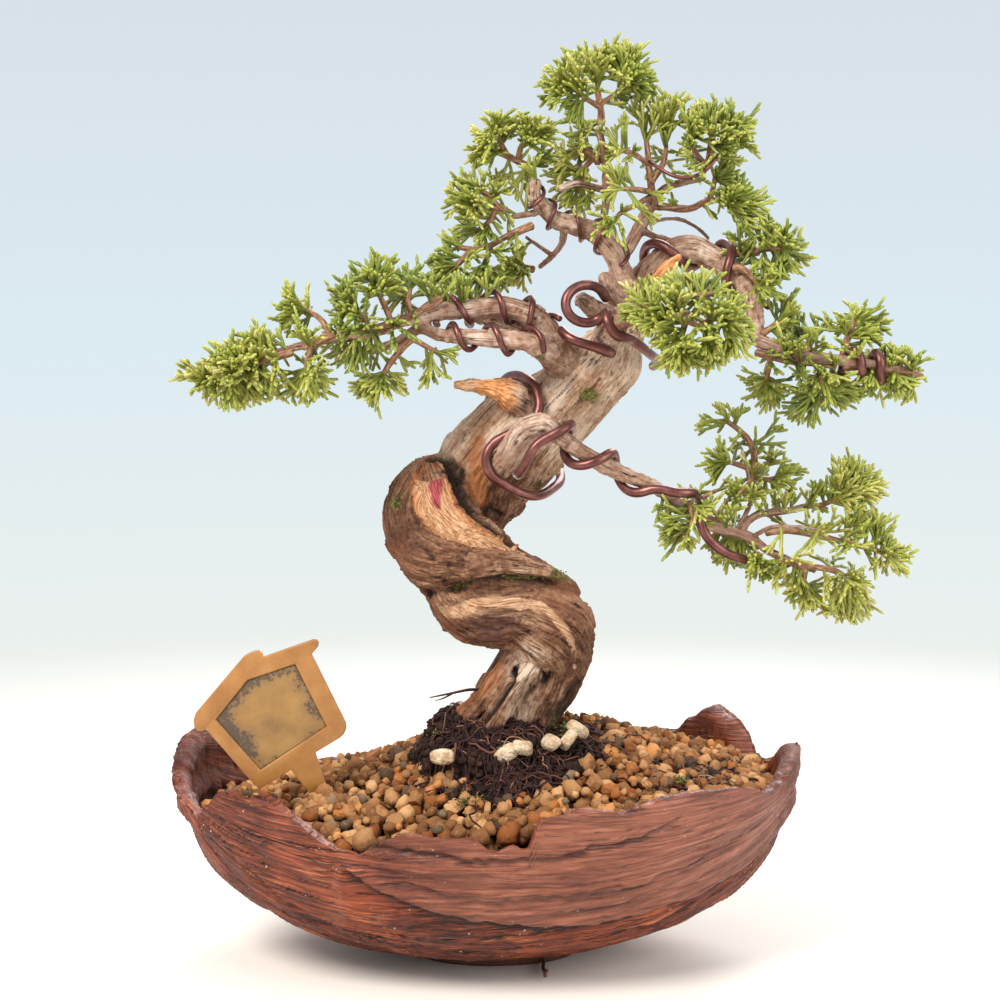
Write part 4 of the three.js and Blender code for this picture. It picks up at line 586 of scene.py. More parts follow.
def grow_wood(name, limbs, voxel, coarse):
    """Melts limbs into one skin, then carves bark along their grain. Coarse is for the trunk."""
    shape = Shape()
    for i, points in enumerate(limbs):
        tube(shape, points, sides=28 if coarse else 16, step=1.2)
    shape.notes = {}  # the melted skin gets its own
    piece = shape.build(name, BARK)
    work(piece, "REMESH", mode="VOXEL", voxel_size=voxel * MM)
    work(piece, "SMOOTH", factor=0.5, iterations=5)
    mesh = piece.data
    at = read_verts(mesh)
    out = normals_of(mesh)
    lines = [Limb(points, i) for i, points in enumerate(limbs)]
    found = [line.nearest(at) for line in lines]
    gaps = np.stack([g for g, _ in found], 1)
    first = gaps.min(1)
    lift = np.zeros(len(at))
    groove = np.zeros(len(at))
    plate = np.zeros(len(at))
    total = np.zeros(len(at))
    grain = np.zeros((len(at), 3))
    for j, line in enumerate(lines):
        near = np.nonzero(gaps[:, j] < first + 3)[0]
        if not len(near):
            continue
        g = line.grain(at[near], found[j][1][near])
        size = np.clip(line.radii[found[j][1][near]] / 10, 0.16, 1)
        w = np.exp(-(gaps[near, j] - first[near]) / 0.8)
        bent = g + 1.1 * np.stack([lumps(g / 7, 31), lumps(g / 7, 32), lumps(g / 7, 33)], 1)
        deep = 1 - ridges(bent * DEEP_FOLDS / np.clip(size, 0.45, 1)[:, None] ** 0.7, 3)
        deep = soft(deep, 0.8, 1.0)
        thin = soft(1 - ridges(bent * THIN_FOLDS, 11), 0.66, 1.0)
        sheet = np.tanh(5 * rough(bent * SHEETS / size[:, None] ** 0.5, 3, 23))
        chip = soft(rough(g * CHIPS_OFF, 3, 27), 0.3, 0.48)
        flakes = np.tanh(3.2 * rough(bent * FLAKES / size[:, None] ** 0.5, 4, 21))
        fibre = rough(g * FIBRES, 3, 5)
        lift[near] += w * size ** 0.6 * (-0.85 * deep - 0.36 * thin + 0.24 * flakes + 0.2 * fibre
                                         + 0.34 * sheet + 0.8 * chip)
        groove[near] += w * np.clip(deep + 0.55 * thin, 0, 1)
        plate[near] += w * (0.6 * flakes + 0.6 * sheet)
        total[near] += w
        own = near[gaps[near, j] <= first[near] + 1e-9]
        grain[own] = line.grain(at[own], found[j][1][own])
    lift, groove, plate = lift / total, groove / total, plate / total
    girth = np.zeros(len(at))
    nearest = gaps.argmin(1)
    for j, line in enumerate(lines):
        own = nearest == j
        least = 8.5 if coarse and j < len(TRUNK + STRAPS) else 0
        girth[own] = np.maximum(line.radii[found[j][1][own]], least)
    lift = lift + 0.55 * soft(girth, 1.5, 7) * rough(at / 7.5, 3, 40)
    # Where the wood is bare, torn, split or mossy.
    face = mark(at, FACE, 0.14, 0.05, 1)
    face = face * (1 - soft(at[:, 2] + 1.4 * rough(at / 1.2, 3, 14), 124.6, 125.2))
    shari = mark(at, SHARI, 0.5, 0.4, 2)
    bare = mark(at, BARE, 0.7, 0.55, 15)
    pale = mark(at, PALE, 0.4, 0.3, 3)
    jin = soft(-at[:, 0] + 0.6 * at[:, 2], 87, 90.5) * (stroke(at, BRANCHES["jin"]) < 1.35)
    jin = np.where((at[:, 0] < 4.5) & (at[:, 2] > 142), jin, 0)
    torn = (stroke(at, BRANCHES["brokenJin"]) < 1.5) & (at[:, 2] > 174)
    stub = soft(at[:, 0], -5, -3) * (1 - soft(at[:, 0] + 1.5 * rough(at / 1.5, 2, 16), 4, 7.5))
    stub = stub * (stroke(at, BRANCHES["jin"]) < 1.5) * soft(at[:, 2], 141.5, 143.5)
    torn = np.maximum(torn, stub)
    jin = jin * (1 - stub)
    crevice = mark(at, CREVICE, 0.4, 0.3, 5)
    crease = mark(at, CREASE, 0.3, 0.35, 6)
    gap = mark(at, ROOT_GAP, 0.25, 0.3, 7)
    split = mark(at, SPLIT, 0.3, 0.35, 8)
    cracks = np.max([mark(at, line, 0.35, 0.4, 20 + i) for i, line in enumerate(CRACKS)], 0)
    dead = np.clip(face + 0.62 * shari + 0.42 * bare + 0.5 * pale, 0, 1)
    # The surface is carved there.
    lift = lift * (1 - 0.9 * face) * (1 - 0.6 * np.clip(shari + 0.7 * bare, 0, 1))
    lift = lift + stub * (0.9 * rough(at * np.array([0.25, 0.9, 0.9]), 3, 17) - 0.3)
    lift = lift - 1.15 * face - 0.3 * shari - 1.7 * crevice - 1.5 * crease - 1.5 * gap
    lift = lift - 0.7 * split - 0.6 * cracks
    lip = np.clip(1 - np.abs(stroke(at, FACE) - 1.12) / 0.14, 0, 1)
    lift = lift + 0.45 * lip * (1 - crevice)
    moss = np.max([mark(at, line, 0.7, 0.5, 50 + i) for i, line in enumerate(MOSS)], 0)
    lift = lift + moss * (0.35 + 0.35 * rough(at / 0.9, 2, 70))
    move_verts(mesh, at + out * lift[:, None])
    # Notes for the finish.
    orange = mark(at, ORANGE, 0.5, 0.4, 9)
    lipstain = np.clip(1 - np.abs(stroke(at, FACE) - 0.98) / 0.2, 0, 1)
    lipstain = lipstain * (0.45 + 0.55 * soft(out[:, 2], -0.1, 0.5))
    orange = np.clip(0.8 * orange + 0.8 * lipstain, 0, 1)
    orange = np.maximum(orange, 0.75 * mark(at, RED_ROOT, 0.4, 0.3, 10))
    blush = mark(at, BLUSH, 0.5, 0.35, 11)
    # Painted shade in the carved crevice, crease, root gap, split and cracks, with dark patches at the base
    # and on the cut top; below that the trunk gets darker towards its foot.
    shade_and_dark = np.clip(crevice + 0.9 * crease + gap + split + cracks + 0.8 * mark(at, BASE_DARK, 0.5, 0.4, 12)
                   + 0.9 * mark(at, CUT_TOP, 0.7, 0.3, 21) * soft(at[:, 2], 125.2, 126.4), 0, 1)
    shade_and_dark = np.maximum(shade_and_dark, 1 - soft(at[:, 2] + 3 * rough(at / 3, 2, 9), 57, 65))
    plum = 0.6 * mark(at, PLUM, 0.6, 0.7, 13)
    thick = soft(girth, 2.2, 7)
    write_note(mesh, "grain", grain)
    write_note(mesh, "groove", groove)
    write_note(mesh, "plate", plate)
    second = np.sort(gaps, 1)[:, 1]
    write_note(mesh, "seam", np.exp(-(second - first) / 1.2) if coarse else 0 * first)
    bleach = soft(at[:, 2] + 6 * rough(at / 9, 2, 41), 118, 136) * soft(girth, 3, 8)
    bleach = np.maximum(bleach, mark(at, SCARS, 0.6, 0.8, 18))
    bleach = np.maximum(bleach, 0.45 * (1 - soft(girth, 3, 6)))
    write_note(mesh, "bleach", bleach)
    write_note(mesh, "marks", np.stack([dead, blush, moss], 1))
    # The first of these is painted shade with dark patches; orange and plum are real stains.
    write_note(mesh, "shade_and_stains", np.stack([shade_and_dark, orange, plum], 1))
    write_note(mesh, "tips", np.stack([jin, torn.astype(float), thick], 1))
    mesh.materials.clear()
    mesh.materials.append(BARK)
    shade_smooth(mesh)
    return piece


# ------------------------------------------------------------------ finishes
def bark_finish():
    """Bark in ridges and plates, bare and torn wood, stains, painted shade in grooves and crevices, and moss,
    from the notes on the wood.
    """
    f = Finish("juniper_bark")
    grain = f.attribute("grain", "Vector")
    dead, blush, moss = f.parts(f.attribute("marks", "Vector"))
    shade_and_dark, orange, plum = f.parts(f.attribute("shade_and_stains", "Vector"))
    jin, torn, thick = f.parts(f.attribute("tips", "Vector"))
    groove = f.attribute("groove")
    plate = f.attribute("plate")
    fibre = f.noise(f.stretch(grain, (1, 1, 0.13)), 1.5, 5, 0.62)
    thread = f.noise(f.stretch(grain, (1, 1, 0.07)), 3.6, 3, 0.6)
    seam = f.attribute("seam")
    fibre = fibre + (0.5 - fibre) * seam * 0.9
    patch = f.noise(f.place(), 95, 4, 0.6)
    specks = f.noise(f.place(), 900, 3, 0.6)
    bleach = f.attribute("bleach")
    tone = 0.34 * patch + 0.36 * fibre + 0.08 * plate + 0.28 * specks + 0.21 * bleach - 0.045
    hairline = f.veins(f.stretch(grain, (1, 1, 0.05)), 0.85, 0.006, 0.022) * patch.step(0.42, 0.56)
    bark = f.ramp(tone, (0.32, (0.05, 0.02, 0.011)), (0.42, (0.13, 0.058, 0.033)),
                  (0.5, (0.24, 0.118, 0.064)), (0.59, (0.405, 0.242, 0.148)), (0.7, (0.62, 0.46, 0.34)))
    twig = f.ramp(tone, (0.3, (0.11, 0.045, 0.028)), (0.44, (0.29, 0.15, 0.095)),
                  (0.56, (0.47, 0.3, 0.215)), (0.7, (0.68, 0.52, 0.42)))
    bark = f.mix(thick, twig, bark)
    rust = f.noise(f.place(), 60, 3, 0.5).step(0.46, 0.7)
    bark = f.mix(0.5 * rust * (1 - 0.6 * bleach), bark, (0.235, 0.085, 0.04))
    bark = f.mix((0.6 * plum).clamp(), bark, (0.075, 0.035, 0.032))
    bark = f.mix((0.85 * orange * (0.5 + fibre)).clamp(), bark,
                 f.ramp(fibre, (0.35, (0.21, 0.055, 0.018)), (0.65, (0.5, 0.19, 0.065))))
    # Painted shade in the carved grooves of the bark, with dark hairline cracks.
    bark = f.mix((groove * 0.85 + hairline * 0.8).clamp(), bark, (0.03, 0.012, 0.007))
    cream = f.ramp(0.55 * thread + 0.45 * fibre, (0.38, (0.2, 0.068, 0.024)), (0.47, (0.42, 0.195, 0.085)),
                   (0.6, (0.71, 0.45, 0.27)))
    old = f.ramp(0.5 * thread + 0.5 * fibre, (0.38, (0.24, 0.105, 0.05)), (0.5, (0.44, 0.245, 0.13)),
                 (0.62, (0.64, 0.42, 0.265)))
    fresh = dead.step(0.86, 0.97)
    wood = f.mix(fresh, old, cream)
    torn_red = f.ramp(thread, (0.4, (0.15, 0.01, 0.016)), (0.6, (0.42, 0.07, 0.085)))
    wood = f.mix((0.9 * orange * (0.35 + fibre)).clamp(), wood, (0.5, 0.185, 0.06))
    wood = f.mix((blush * (0.2 + 1.5 * fibre)).clamp(), wood, torn_red)
    colour = f.mix((dead * (0.62 + 0.7 * fibre)).step(0.28, 0.62), bark, wood)
    colour = f.mix(jin, colour, cream)
    colour = f.mix(torn, colour, f.ramp(fibre, (0.35, (0.42, 0.13, 0.045)), (0.62, (0.86, 0.42, 0.17))))
    # Painted shade in the crevices, crease, gaps and cracks, with dark patches at the base and the cut top.
    colour = f.mix((shade_and_dark * (0.72 + 0.5 * patch)).clamp(), colour, (0.022, 0.012, 0.009))
    green = f.ramp(specks, (0.38, (0.026, 0.021, 0.006)), (0.55, (0.12, 0.11, 0.026)),
                   (0.7, (0.27, 0.25, 0.07)))
    colour = f.mix((moss * (0.15 + 1.2 * specks)).step(0.4, 0.72) * 0.75, colour, green)
    height = 0.55 * fibre + 0.25 * thread + 0.3 * specks - 0.3 * groove - 0.35 * hairline
    normal = f.bump(height, 0.85, 0.0009)
    return f.set(Base_Color=colour, Roughness=0.86 - 0.25 * dead, Normal=normal, Specular_IOR_Level=0.16)


def wire_finish():
    f = Finish("brown_wire")
    grain = f.attribute("grain", "Vector")
    scuff = f.noise(f.stretch(grain, (1, 1, 0.2)), 0.8, 4, 0.6)
    wear = f.noise(f.place(), 260, 3, 0.6)
    cut = f.attribute("cut")
    colour = f.ramp(wear, (0.35, (0.11, 0.036, 0.03)), (0.55, (0.18, 0.066, 0.055)),
                    (0.75, (0.27, 0.12, 0.1)))
    colour = f.mix(cut, colour, (0.72, 0.72, 0.72))
    normal = f.bump(scuff, 0.12, 0.0002)
    return f.set(Base_Color=colour, Metallic=0.72, Roughness=0.26 + 0.22 * scuff, Normal=normal)


def clay_finish():
    """Fired clay: smooth plum slabs in front, coarse rusty husk elsewhere, pale specks; painted shade in the
    grooves and painted highlights on the ridges.
    """
    f = Finish("pot_clay")
    grain = f.attribute("grain", "Vector")
    crust = f.attribute("crust")
    groove = f.attribute("groove")
    ridge = f.attribute("ridge")
    patch = f.noise(f.place(), 42, 4, 0.6)
    strand = f.noise(f.stretch(grain, (0.08, 1, 1)), 0.95, 4, 0.62)
    crack = f.veins(f.stretch(grain, (0.05, 1, 1)), 0.62, 0.006, 0.022) * patch.step(0.42, 0.52)
    fine = f.veins(f.stretch(grain, (0.07, 1, 1)), 1.5, 0.01, 0.04) * patch.step(0.54, 0.46)
    crack = (crack + fine * crust).clamp() * (0.5 + 0.5 * crust)
    grit = f.noise(f.place(), 1500, 2, 0.6)
    slab = f.ramp(0.4 * patch + 0.6 * strand, (0.34, (0.052, 0.01, 0.005)), (0.44, (0.15, 0.04, 0.02)),
                  (0.54, (0.24, 0.074, 0.039)), (0.68, (0.36, 0.134, 0.08)))
    husk = f.ramp(0.35 * patch + 0.65 * strand, (0.34, (0.032, 0.005, 0.002)), (0.45, (0.112, 0.018, 0.006)),
                  (0.55, (0.225, 0.041, 0.012)), (0.68, (0.43, 0.102, 0.03)))
    # Husk where this mask is high; at the left end of the front the mask also paints the shell darker as
    # shade.
    colour = f.mix(crust, slab, husk)
    # Painted highlights on the ridges: orange on the husk, pale on the smooth slabs.
    colour = f.mix((ridge * crust * strand.step(0.5, 0.66) * 0.85).clamp(), colour, (0.5, 0.17, 0.062))
    colour = f.mix((ridge * (1 - crust) * strand.step(0.5, 0.7) * 0.5).clamp(), colour, (0.42, 0.185, 0.13))
    # Painted shade in the carved grooves, and painted shadow under the ledge and slab lips, with dark cracks.
    colour = f.mix((groove * (0.62 + 0.33 * crust) + 0.8 * crack).clamp(), colour, (0.018, 0.005, 0.003))
    spots = 1 - f.cells(f.place(), 420).step(0.07, 0.11)
    some = f.noise(f.place(), 160, 1, 0.5).step(0.45, 0.58)
    colour = f.mix(spots * some * (0.25 + 0.75 * crust) * 0.8, colour, (0.74, 0.64, 0.56))
    height = (0.35 + 0.4 * crust) * strand + 0.2 * grit - 0.6 * crack
    normal = f.bump(height, 0.75, 0.0009)
    shine = 0.22 + 0.16 * strand + 0.18 * crust
    return f.set(Base_Color=colour, Roughness=shine, Normal=normal, Specular_IOR_Level=0.4)


def grain_finish():
    f = Finish("baked_soil")
    tone = f.attribute("tone")
    hue = f.attribute("hue")
    fleck = f.noise(f.place(), 700, 4, 0.65)
    blotch = f.noise(f.place(), 240, 3, 0.6)
    ochre = f.ramp(tone, (0.0, (0.15, 0.06, 0.022)), (0.35, (0.275, 0.122, 0.044)),
                   (0.75, (0.425, 0.212, 0.086)), (1.0, (0.56, 0.31, 0.135)))
    rust = f.ramp(tone, (0.0, (0.2, 0.058, 0.015)), (0.6, (0.41, 0.15, 0.042)), (1.0, (0.58, 0.26, 0.085)))
    grey = f.ramp(tone, (0.0, (0.05, 0.03, 0.017)), (0.6, (0.12, 0.076, 0.042)), (1.0, (0.22, 0.145, 0.08)))
    colour = f.mix(hue.step(0.66, 0.78), ochre, rust)
    colour = f.mix(hue.step(0.9, 0.92), colour, grey)
    colour = f.mix(fleck.step(0.54, 0.76) * 0.35, colour, (0.6, 0.36, 0.17))
    colour = f.mix((1 - blotch.step(0.32, 0.48)) * 0.6, colour, (0.095, 0.036, 0.013))
    normal = f.bump(0.6 * fleck + 0.5 * blotch, 0.9, 0.0009)
    return f.set(Base_Color=colour, Roughness=0.84, Normal=normal, Specular_IOR_Level=0.15)


def peat_finish():
    f = Finish("dark_peat")
    fine = f.noise(f.place(), 1300, 4, 0.65)
    broad = f.noise(f.place(), 260, 3, 0.6)
    colour = f.ramp(0.5 * fine + 0.5 * broad, (0.34, (0.007, 0.003, 0.002)), (0.52, (0.026, 0.01, 0.006)),
                    (0.68, (0.11, 0.048, 0.024)))
    return f.set(Base_Color=colour, Roughness=0.9, Normal=f.bump(fine, 0.8, 0.0009), Specular_IOR_Level=0.25)


def root_finish():
    f = Finish("fine_roots")
    tone = f.attribute("tone")
    colour = f.ramp(tone, (0.0, (0.016, 0.004, 0.003)), (0.6, (0.046, 0.012, 0.008)),
                    (0.88, (0.15, 0.055, 0.03)), (1.0, (0.36, 0.19, 0.11)))
    return f.set(Base_Color=colour, Roughness=0.72, Specular_IOR_Level=0.35)


def pumice_finish():
    f = Finish("pale_pumice")
    pits = f.cells(f.place(), 1500)
    cloud = f.noise(f.place(), 420, 4, 0.6)
    colour = f.ramp(cloud, (0.35, (0.34, 0.21, 0.115)), (0.5, (0.52, 0.38, 0.235)), (0.68, (0.68, 0.54, 0.37)))
    return f.set(Base_Color=colour, Roughness=0.9, Normal=f.bump(0.6 * pits + cloud, 0.8, 0.0005))


def leaf_finish():
    """Green shoots that turn yellow towards their tips, with overlapping scale leaves."""
    f = Finish("juniper_shoots")
    young = f.attribute("young")
    tint = f.attribute("tint")
    scale = f.attribute("scale", "Vector")
    leaf = f.cells(scale, 1.0)
    fine = f.noise(f.place(), 1500, 2, 0.6)
    old = f.ramp(tint, (0.0, (0.062, 0.085, 0.012)), (0.5, (0.175, 0.192, 0.026)), (1.0, (0.4, 0.37, 0.05)))
    new = f.ramp(tint, (0.0, (0.32, 0.395, 0.07)), (0.5, (0.56, 0.58, 0.11)), (1.0, (0.84, 0.76, 0.27)))
    colour = f.mix(young, old, new)
    colour = f.mix(leaf.step(0.3, 0.7) * 0.34, colour, (0.1, 0.115, 0.01))
    colour = f.mix((1 - fine) * 0.18, colour, (0.15, 0.17, 0.015))
    normal = f.bump(1 - leaf, 0.6, 0.0003)
    return f.set(Base_Color=colour, Roughness=0.48, Normal=normal, Specular_IOR_Level=0.3)


def twig_finish():
    f = Finish("young_twigs")
    grain = f.attribute("grain", "Vector")
    tone = f.noise(f.stretch(grain, (1, 1, 0.3)), 1.6, 4, 0.6)
    colour = f.ramp(tone, (0.3, (0.085, 0.036, 0.018)), (0.5, (0.275, 0.125, 0.06)),
                    (0.68, (0.52, 0.3, 0.17)))
    return f.set(Base_Color=colour, Roughness=0.8, Normal=f.bump(tone, 0.7, 0.0004))


def moss_finish():
    f = Finish("green_moss")
    tone = f.attribute("tone")
    colour = f.ramp(tone, (0.0, (0.045, 0.048, 0.01)), (0.5, (0.12, 0.13, 0.026)), (1.0, (0.27, 0.27, 0.06)))
    return f.set(Base_Color=colour, Roughness=0.75)


def label_finish():
    """Amber plastic with a dirty window."""
    f = Finish("amber_label")
    grime = f.attribute("grime")
    soot = f.noise(f.place(), 1100, 4, 0.7)
    cloud = f.noise(f.place(), 150, 4, 0.6)
    body = f.ramp(cloud, (0.32, (0.285, 0.12, 0.026)), (0.5, (0.345, 0.152, 0.038)), (0.7, (0.4, 0.19, 0.055)))
    pane = f.ramp(cloud, (0.35, (0.275, 0.128, 0.034)), (0.65, (0.385, 0.19, 0.05)))
    pane = f.mix((grime * 0.62).clamp(), pane, (0.15, 0.085, 0.048))
    colour = f.mix(grime.step(0.0, 0.02), body, pane)
    dots = (0.42 * grime + soot).step(0.7, 0.86) * grime.step(0.02, 0.3)
    colour = f.mix(dots * 0.8, colour, (0.055, 0.036, 0.026))
    normal = f.bump(soot, 0.12, 0.0003)
    return f.set(Base_Color=colour, Roughness=0.42, Normal=normal, Subsurface_Weight=0.15,
                 Subsurface_Scale=0.004, Specular_IOR_Level=0.5)


# ------------------------------------------------------------------ training wire
THICK, MEDIUM, THIN = 1.25, 0.8, 0.5  # radii of the wires
# Wires, as a radius and [x, y, z] points.
WIRE_PATHS = {
    "wire_trunk": (THICK, [[2.5, 10, 146], [4, 5, 149.5], [8, -3, 150.5], [10.5, -8, 148], [12, -11, 144.5],
                          [11.5, -12.5, 141], [9, -13, 139], [6, -14, 137.5], [2.5, -14, 135.5],
                          [0.5, -13.5, 132],
                          [0.5, -13, 128.5], [2.5, -12, 124.5], [6, -11, 122], [10, -9, 120.5],
                          [14, -3, 121],
                          [17, 5, 123.5], [16, 13, 127], [9, 20, 131.5]]),
    "wire_top": (THICK, [[28, -7, 170], [27.5, -10, 172.5], [25, -13.5, 174], [21.5, -16, 174],
                         [18.5, -17.5, 172],
                        [17.5, -18.5, 169], [19, -18.5, 166], [22, -17, 164.5], [25.5, -15.5, 164.5],
                        [28.5, -16.5, 166.5], [31.5, -18.5, 165], [33, -18.5, 162], [35.5, -16, 160],
                        [38, -12, 158], [40.5, -6, 156], [42.5, 1, 154.5], [41.5, 6, 153]]),
    "wire_tip": (THIN, [[39.5, -2, 205], [43, -6, 202.5], [46.5, -7.5, 200.5], [50, -8, 200.5],
                        [53, -8.5, 202],
                       [55, -8.5, 204], [56.5, -6.5, 206.5]]),
    "wire_low_end": (THICK, [[51.5, -20, 115.5], [52.5, -21.5, 112.5], [55, -21.5, 109.5], [59, -20, 107],
                            [63, -17, 105.5]]),
    "tie_wire": (THIN, [[13, 3, 6], [13, 2.4, 2.6], [13, -0.5, 1], [13, -8, 0.9], [13, -16, 0.9],
                        [12.6, -20.5, 0.9],
                       [13.4, -23, 0.8], [14.6, -24.2, 1.8], [13.4, -24.8, 3], [12.1, -25.2, 1.9],
                       [13.2, -25.7, 0.9]]),
    "wire_crotch": (THICK, [[30, -11.5, 157.2], [26, -14, 158.5],
                           [22, -15, 159.5], [18.5, -14.5, 161], [17, -11, 162.5]]),
}
FAR_END = [[88.5, -10, 153.5, 1.6], [93, -9, 153.5, 1.6], [97, -9, 153, 1.6], [101.5, -9, 152.5, 1.6],
           [106, -9, 152, 1.6]]
# Coils: radius, branch, points before, the share of the branch where the coil begins and ends,
# turns, start angle, points after.
COILS = {
    "wire_far": (THICK, FAR_END, [], 0.02, 0.6, 1.9, 150, []),
    "wire_low": (THICK, BRANCHES["lowerRight"][:10], [[6, -21.5, 127], [8.5, -24, 130.5], [10, -25, 134.5]],
                 0.5, 0.985, -2.1, 20, [[46, -18, 122], [50, -16, 122.5], [52, -11, 120],
                                        [53.5, -8.5, 117.5]]),
    "wire_left_a": (MEDIUM, BRANCHES["leftUpper"][:9], [], 0.27, 0.97, 3.6, 90, []),
    "wire_left_b": (MEDIUM, BRANCHES["leftLower"][:7], [], 0.2, 0.97, 2.6, 0, []),
    "wire_right": (THICK, BRANCHES["rightUpper"][:11], [[37, -4, 163.5]], 0.18, 0.93, 2.2, 150, []),
    "wire_apex": (THIN, BRANCHES["apexStem"], [], 0.12, 0.97, 4.5, 0, []),
}
WOOD_LINES = [curve_through(points, 1.0)[0] for points in [*TRUNK, *STRAPS, *BRANCHES.values()]]
WOOD_POINTS = np.vstack(WOOD_LINES)


def press_out(points, radius, room=0.25, passes=10):
    """Moves wire outwards until it lies on the wood."""
    points = points.copy()
    fat = np.where(WOOD_POINTS[:, 3] > 6, 1.06, 1.0) * WOOD_POINTS[:, 3]
    for _ in range(passes):
        away = points[:, None] - WOOD_POINTS[None, :, :3]
        d = np.sqrt((away ** 2).sum(2))
        short = np.clip(fat[None] + radius + room - d, 0, None)
        k = short.argmax(1)
        rows = np.arange(len(points))
        push = away[rows, k] / (d[rows, k][:, None] + 1e-6) * short[rows, k][:, None]
        points += 0.8 * push
    return points


def even(points, count):
    """Points the same way apart on a line."""
    gaps = np.r_[0, np.cumsum(np.linalg.norm(np.diff(points, axis=0), axis=1))]
    at = np.linspace(0, gaps[-1], count + 1)
    return np.stack([np.interp(at, gaps, points[:, i]) for i in range(3)], 1)


def coil_path(radius, branch, lead, start_at, end_at, turns, start, tail):
    """A wire that winds round part of a branch, with points given before and after."""
    branch = np.array(branch, float)
    fine, _ = curve_through(branch, 0.5)
    spans = len(branch) - 1
    marks = [np.abs(fine[:, :3] - p[:3]).sum(1).argmin() for p in branch]
    steps = int(abs(turns) * 16) + 1
    path = []
    _, side, up = frames_along(fine[:, :3])
    for i in range(steps + 1):
        t = (start_at + (end_at - start_at) * i / steps) * spans
        k = min(int(t), spans - 1)
        at = int(round(marks[k] + (marks[k + 1] - marks[k]) * (t - k)))
        at = min(at, len(fine) - 1)
        a = math.radians(start) + 2 * math.pi * turns * i / steps
        r = fine[at, 3] + radius + 0.35
        path.append(fine[at, :3] + r * (side[at] * math.cos(a) + up[at] * math.sin(a)))
    return np.array([*lead, *path, *tail], float)


def wire_piece(name, radius, path, silver=()):
    """A wire pressed on to the wood. Silver names the ends, 0 or -1, that show a bright cut."""
    fine = curve_through(np.array(path, float), 0.5)[0][:, :3]
    length = np.linalg.norm(np.diff(fine, axis=0), axis=1).sum()
    points = even(fine, max(10, int(length / 1.6)))
    points = press_out(points, radius)
    for _ in range(4):
        middle = points.copy()
        middle[1:-1] = 0.5 * (points[:-2] + points[2:])
        points = press_out(0.5 * points + 0.5 * middle, radius, passes=4)
    shape = Shape()
    tube(shape, np.c_[points, np.full(len(points), radius)], sides=14, step=0.55)
    ends = np.zeros(shape.count)
    verts = shape.verts[0]
    for end in silver:
        tip = points[end]
        inward = points[1] - points[0] if end == 0 else points[-2] - points[-1]
        inward = inward / np.linalg.norm(inward)
        ends = np.maximum(ends, 1 - soft((verts - tip) @ inward, -0.05, 0.12))
    shape.notes["cut"] = [ends]
    belongs(shape.build(name, WIRE), "wire", name)


# ------------------------------------------------------------------ pot
POT_CENTRE, HALF_LENGTH, HALF_DEPTH = -2.0, 82.0, 56.0
BELLY_BOTTOM, BELLY_TOP, FULLNESS = 1.0, 54.0, 2.3
WALL, FLOOR = 6.0, 7.0
FOOT_SIZE = (44, 30, 5.8)
DRAIN_RADIUS, DRAIN_X, DRAIN_Y = 5, 13, 3
# Height of the torn rim, as [degrees anticlockwise from +X, height].
RIM = [
    [0, 55], [6, 54], [12, 50], [24, 46], [27, 50], [32, 56], [38, 59], [44, 55.4], [48, 50.5], [56, 49.7],
    [66, 48], [80, 47], [96, 45.5], [112, 42.5], [126, 41], [140, 44], [152, 50], [163, 56], [172, 54],
    [180, 49], [188, 46.5], [196, 44], [205, 40.5], [212, 46], [217, 50.6], [223, 49.5], [228, 51.4],
    [237, 44.7],
    [243, 39.5], [247, 37.8], [251, 41], [256, 45.4], [261, 44], [268, 44.2], [271, 40.5], [275, 42.6],
    [277.5, 40.5], [279.5, 48.6], [287, 50.5], [294, 49.4], [304, 52.5], [314, 52.5], [325, 50.8],
    [330, 48.4],
    [338, 50], [346, 54], [353, 55.5], [360, 55],
]
# Height of the ledge where the upper slabs of the shell end, as [angle, height].
LEDGE = [
    [0, 41], [21, 42], [39, 36.8], [56, 27.8], [72, 22.3], [88, 20.3], [105, 21.9], [121, 26.2], [138, 34],
    [153, 40], [180, 40], [206, 38], [217, 36], [222, 31], [228, 22], [236, 17], [240, 20], [243.5, 34],
    [245, 33.5], [254, 26.6], [267, 21.2], [282, 19.3], [300, 19.7], [318, 24], [328, 28.9], [337, 34.4],
    [350, 40], [360, 41],
]
STEP_DEPTH, RIB_DEPTH = 1.6, 0.8
# Thinner slabs: [x, turn] points of the lower edge, where turn is the angle below the front
# horizon seen along the pot's length. Then how far the slab stands proud.
SLABS = [
    ([[-36, 10], [-22, 15], [-3, 18.6], [12, 18], [25.7, 15.2], [40, 10], [47.7, 6.4]], 0.9),
    ([[-30, 23], [-10, 28], [10, 29.5], [30, 29], [52, 27], [72, 22]], 0.6),
    ([[10, 36], [24, 34], [46, 35], [70, 34]], 0.5),
    ([[-60, 38], [-48, 43], [-39.6, 46.3], [-26, 48.5], [-10, 52]], 0.9),
    ([[-38, 17], [-35.3, 20.8], [-30, 25]], 1.0),
    ([[-70, 47], [-40, 55], [-12.9, 60], [16.7, 62], [47, 60], [66, 54]], 0.6),
    ([[-50, 48], [-20, 52], [10, 53], [40, 52], [60, 48]], 0.5),
    ([[-76, 75], [-30, 84], [10, 80], [40, 86], [70, 72]], 0.6),
    ([[-60, 112], [-20, 104], [20, 108], [60, 116]], 0.7),
    ([[-50, 158], [-10, 152], [30, 157], [60, 163]], 0.7),
]


def rim_height(turn):
    rows = np.array(RIM, float)
    return np.interp(np.degrees(turn) % 360, rows[:, 0], rows[:, 1])


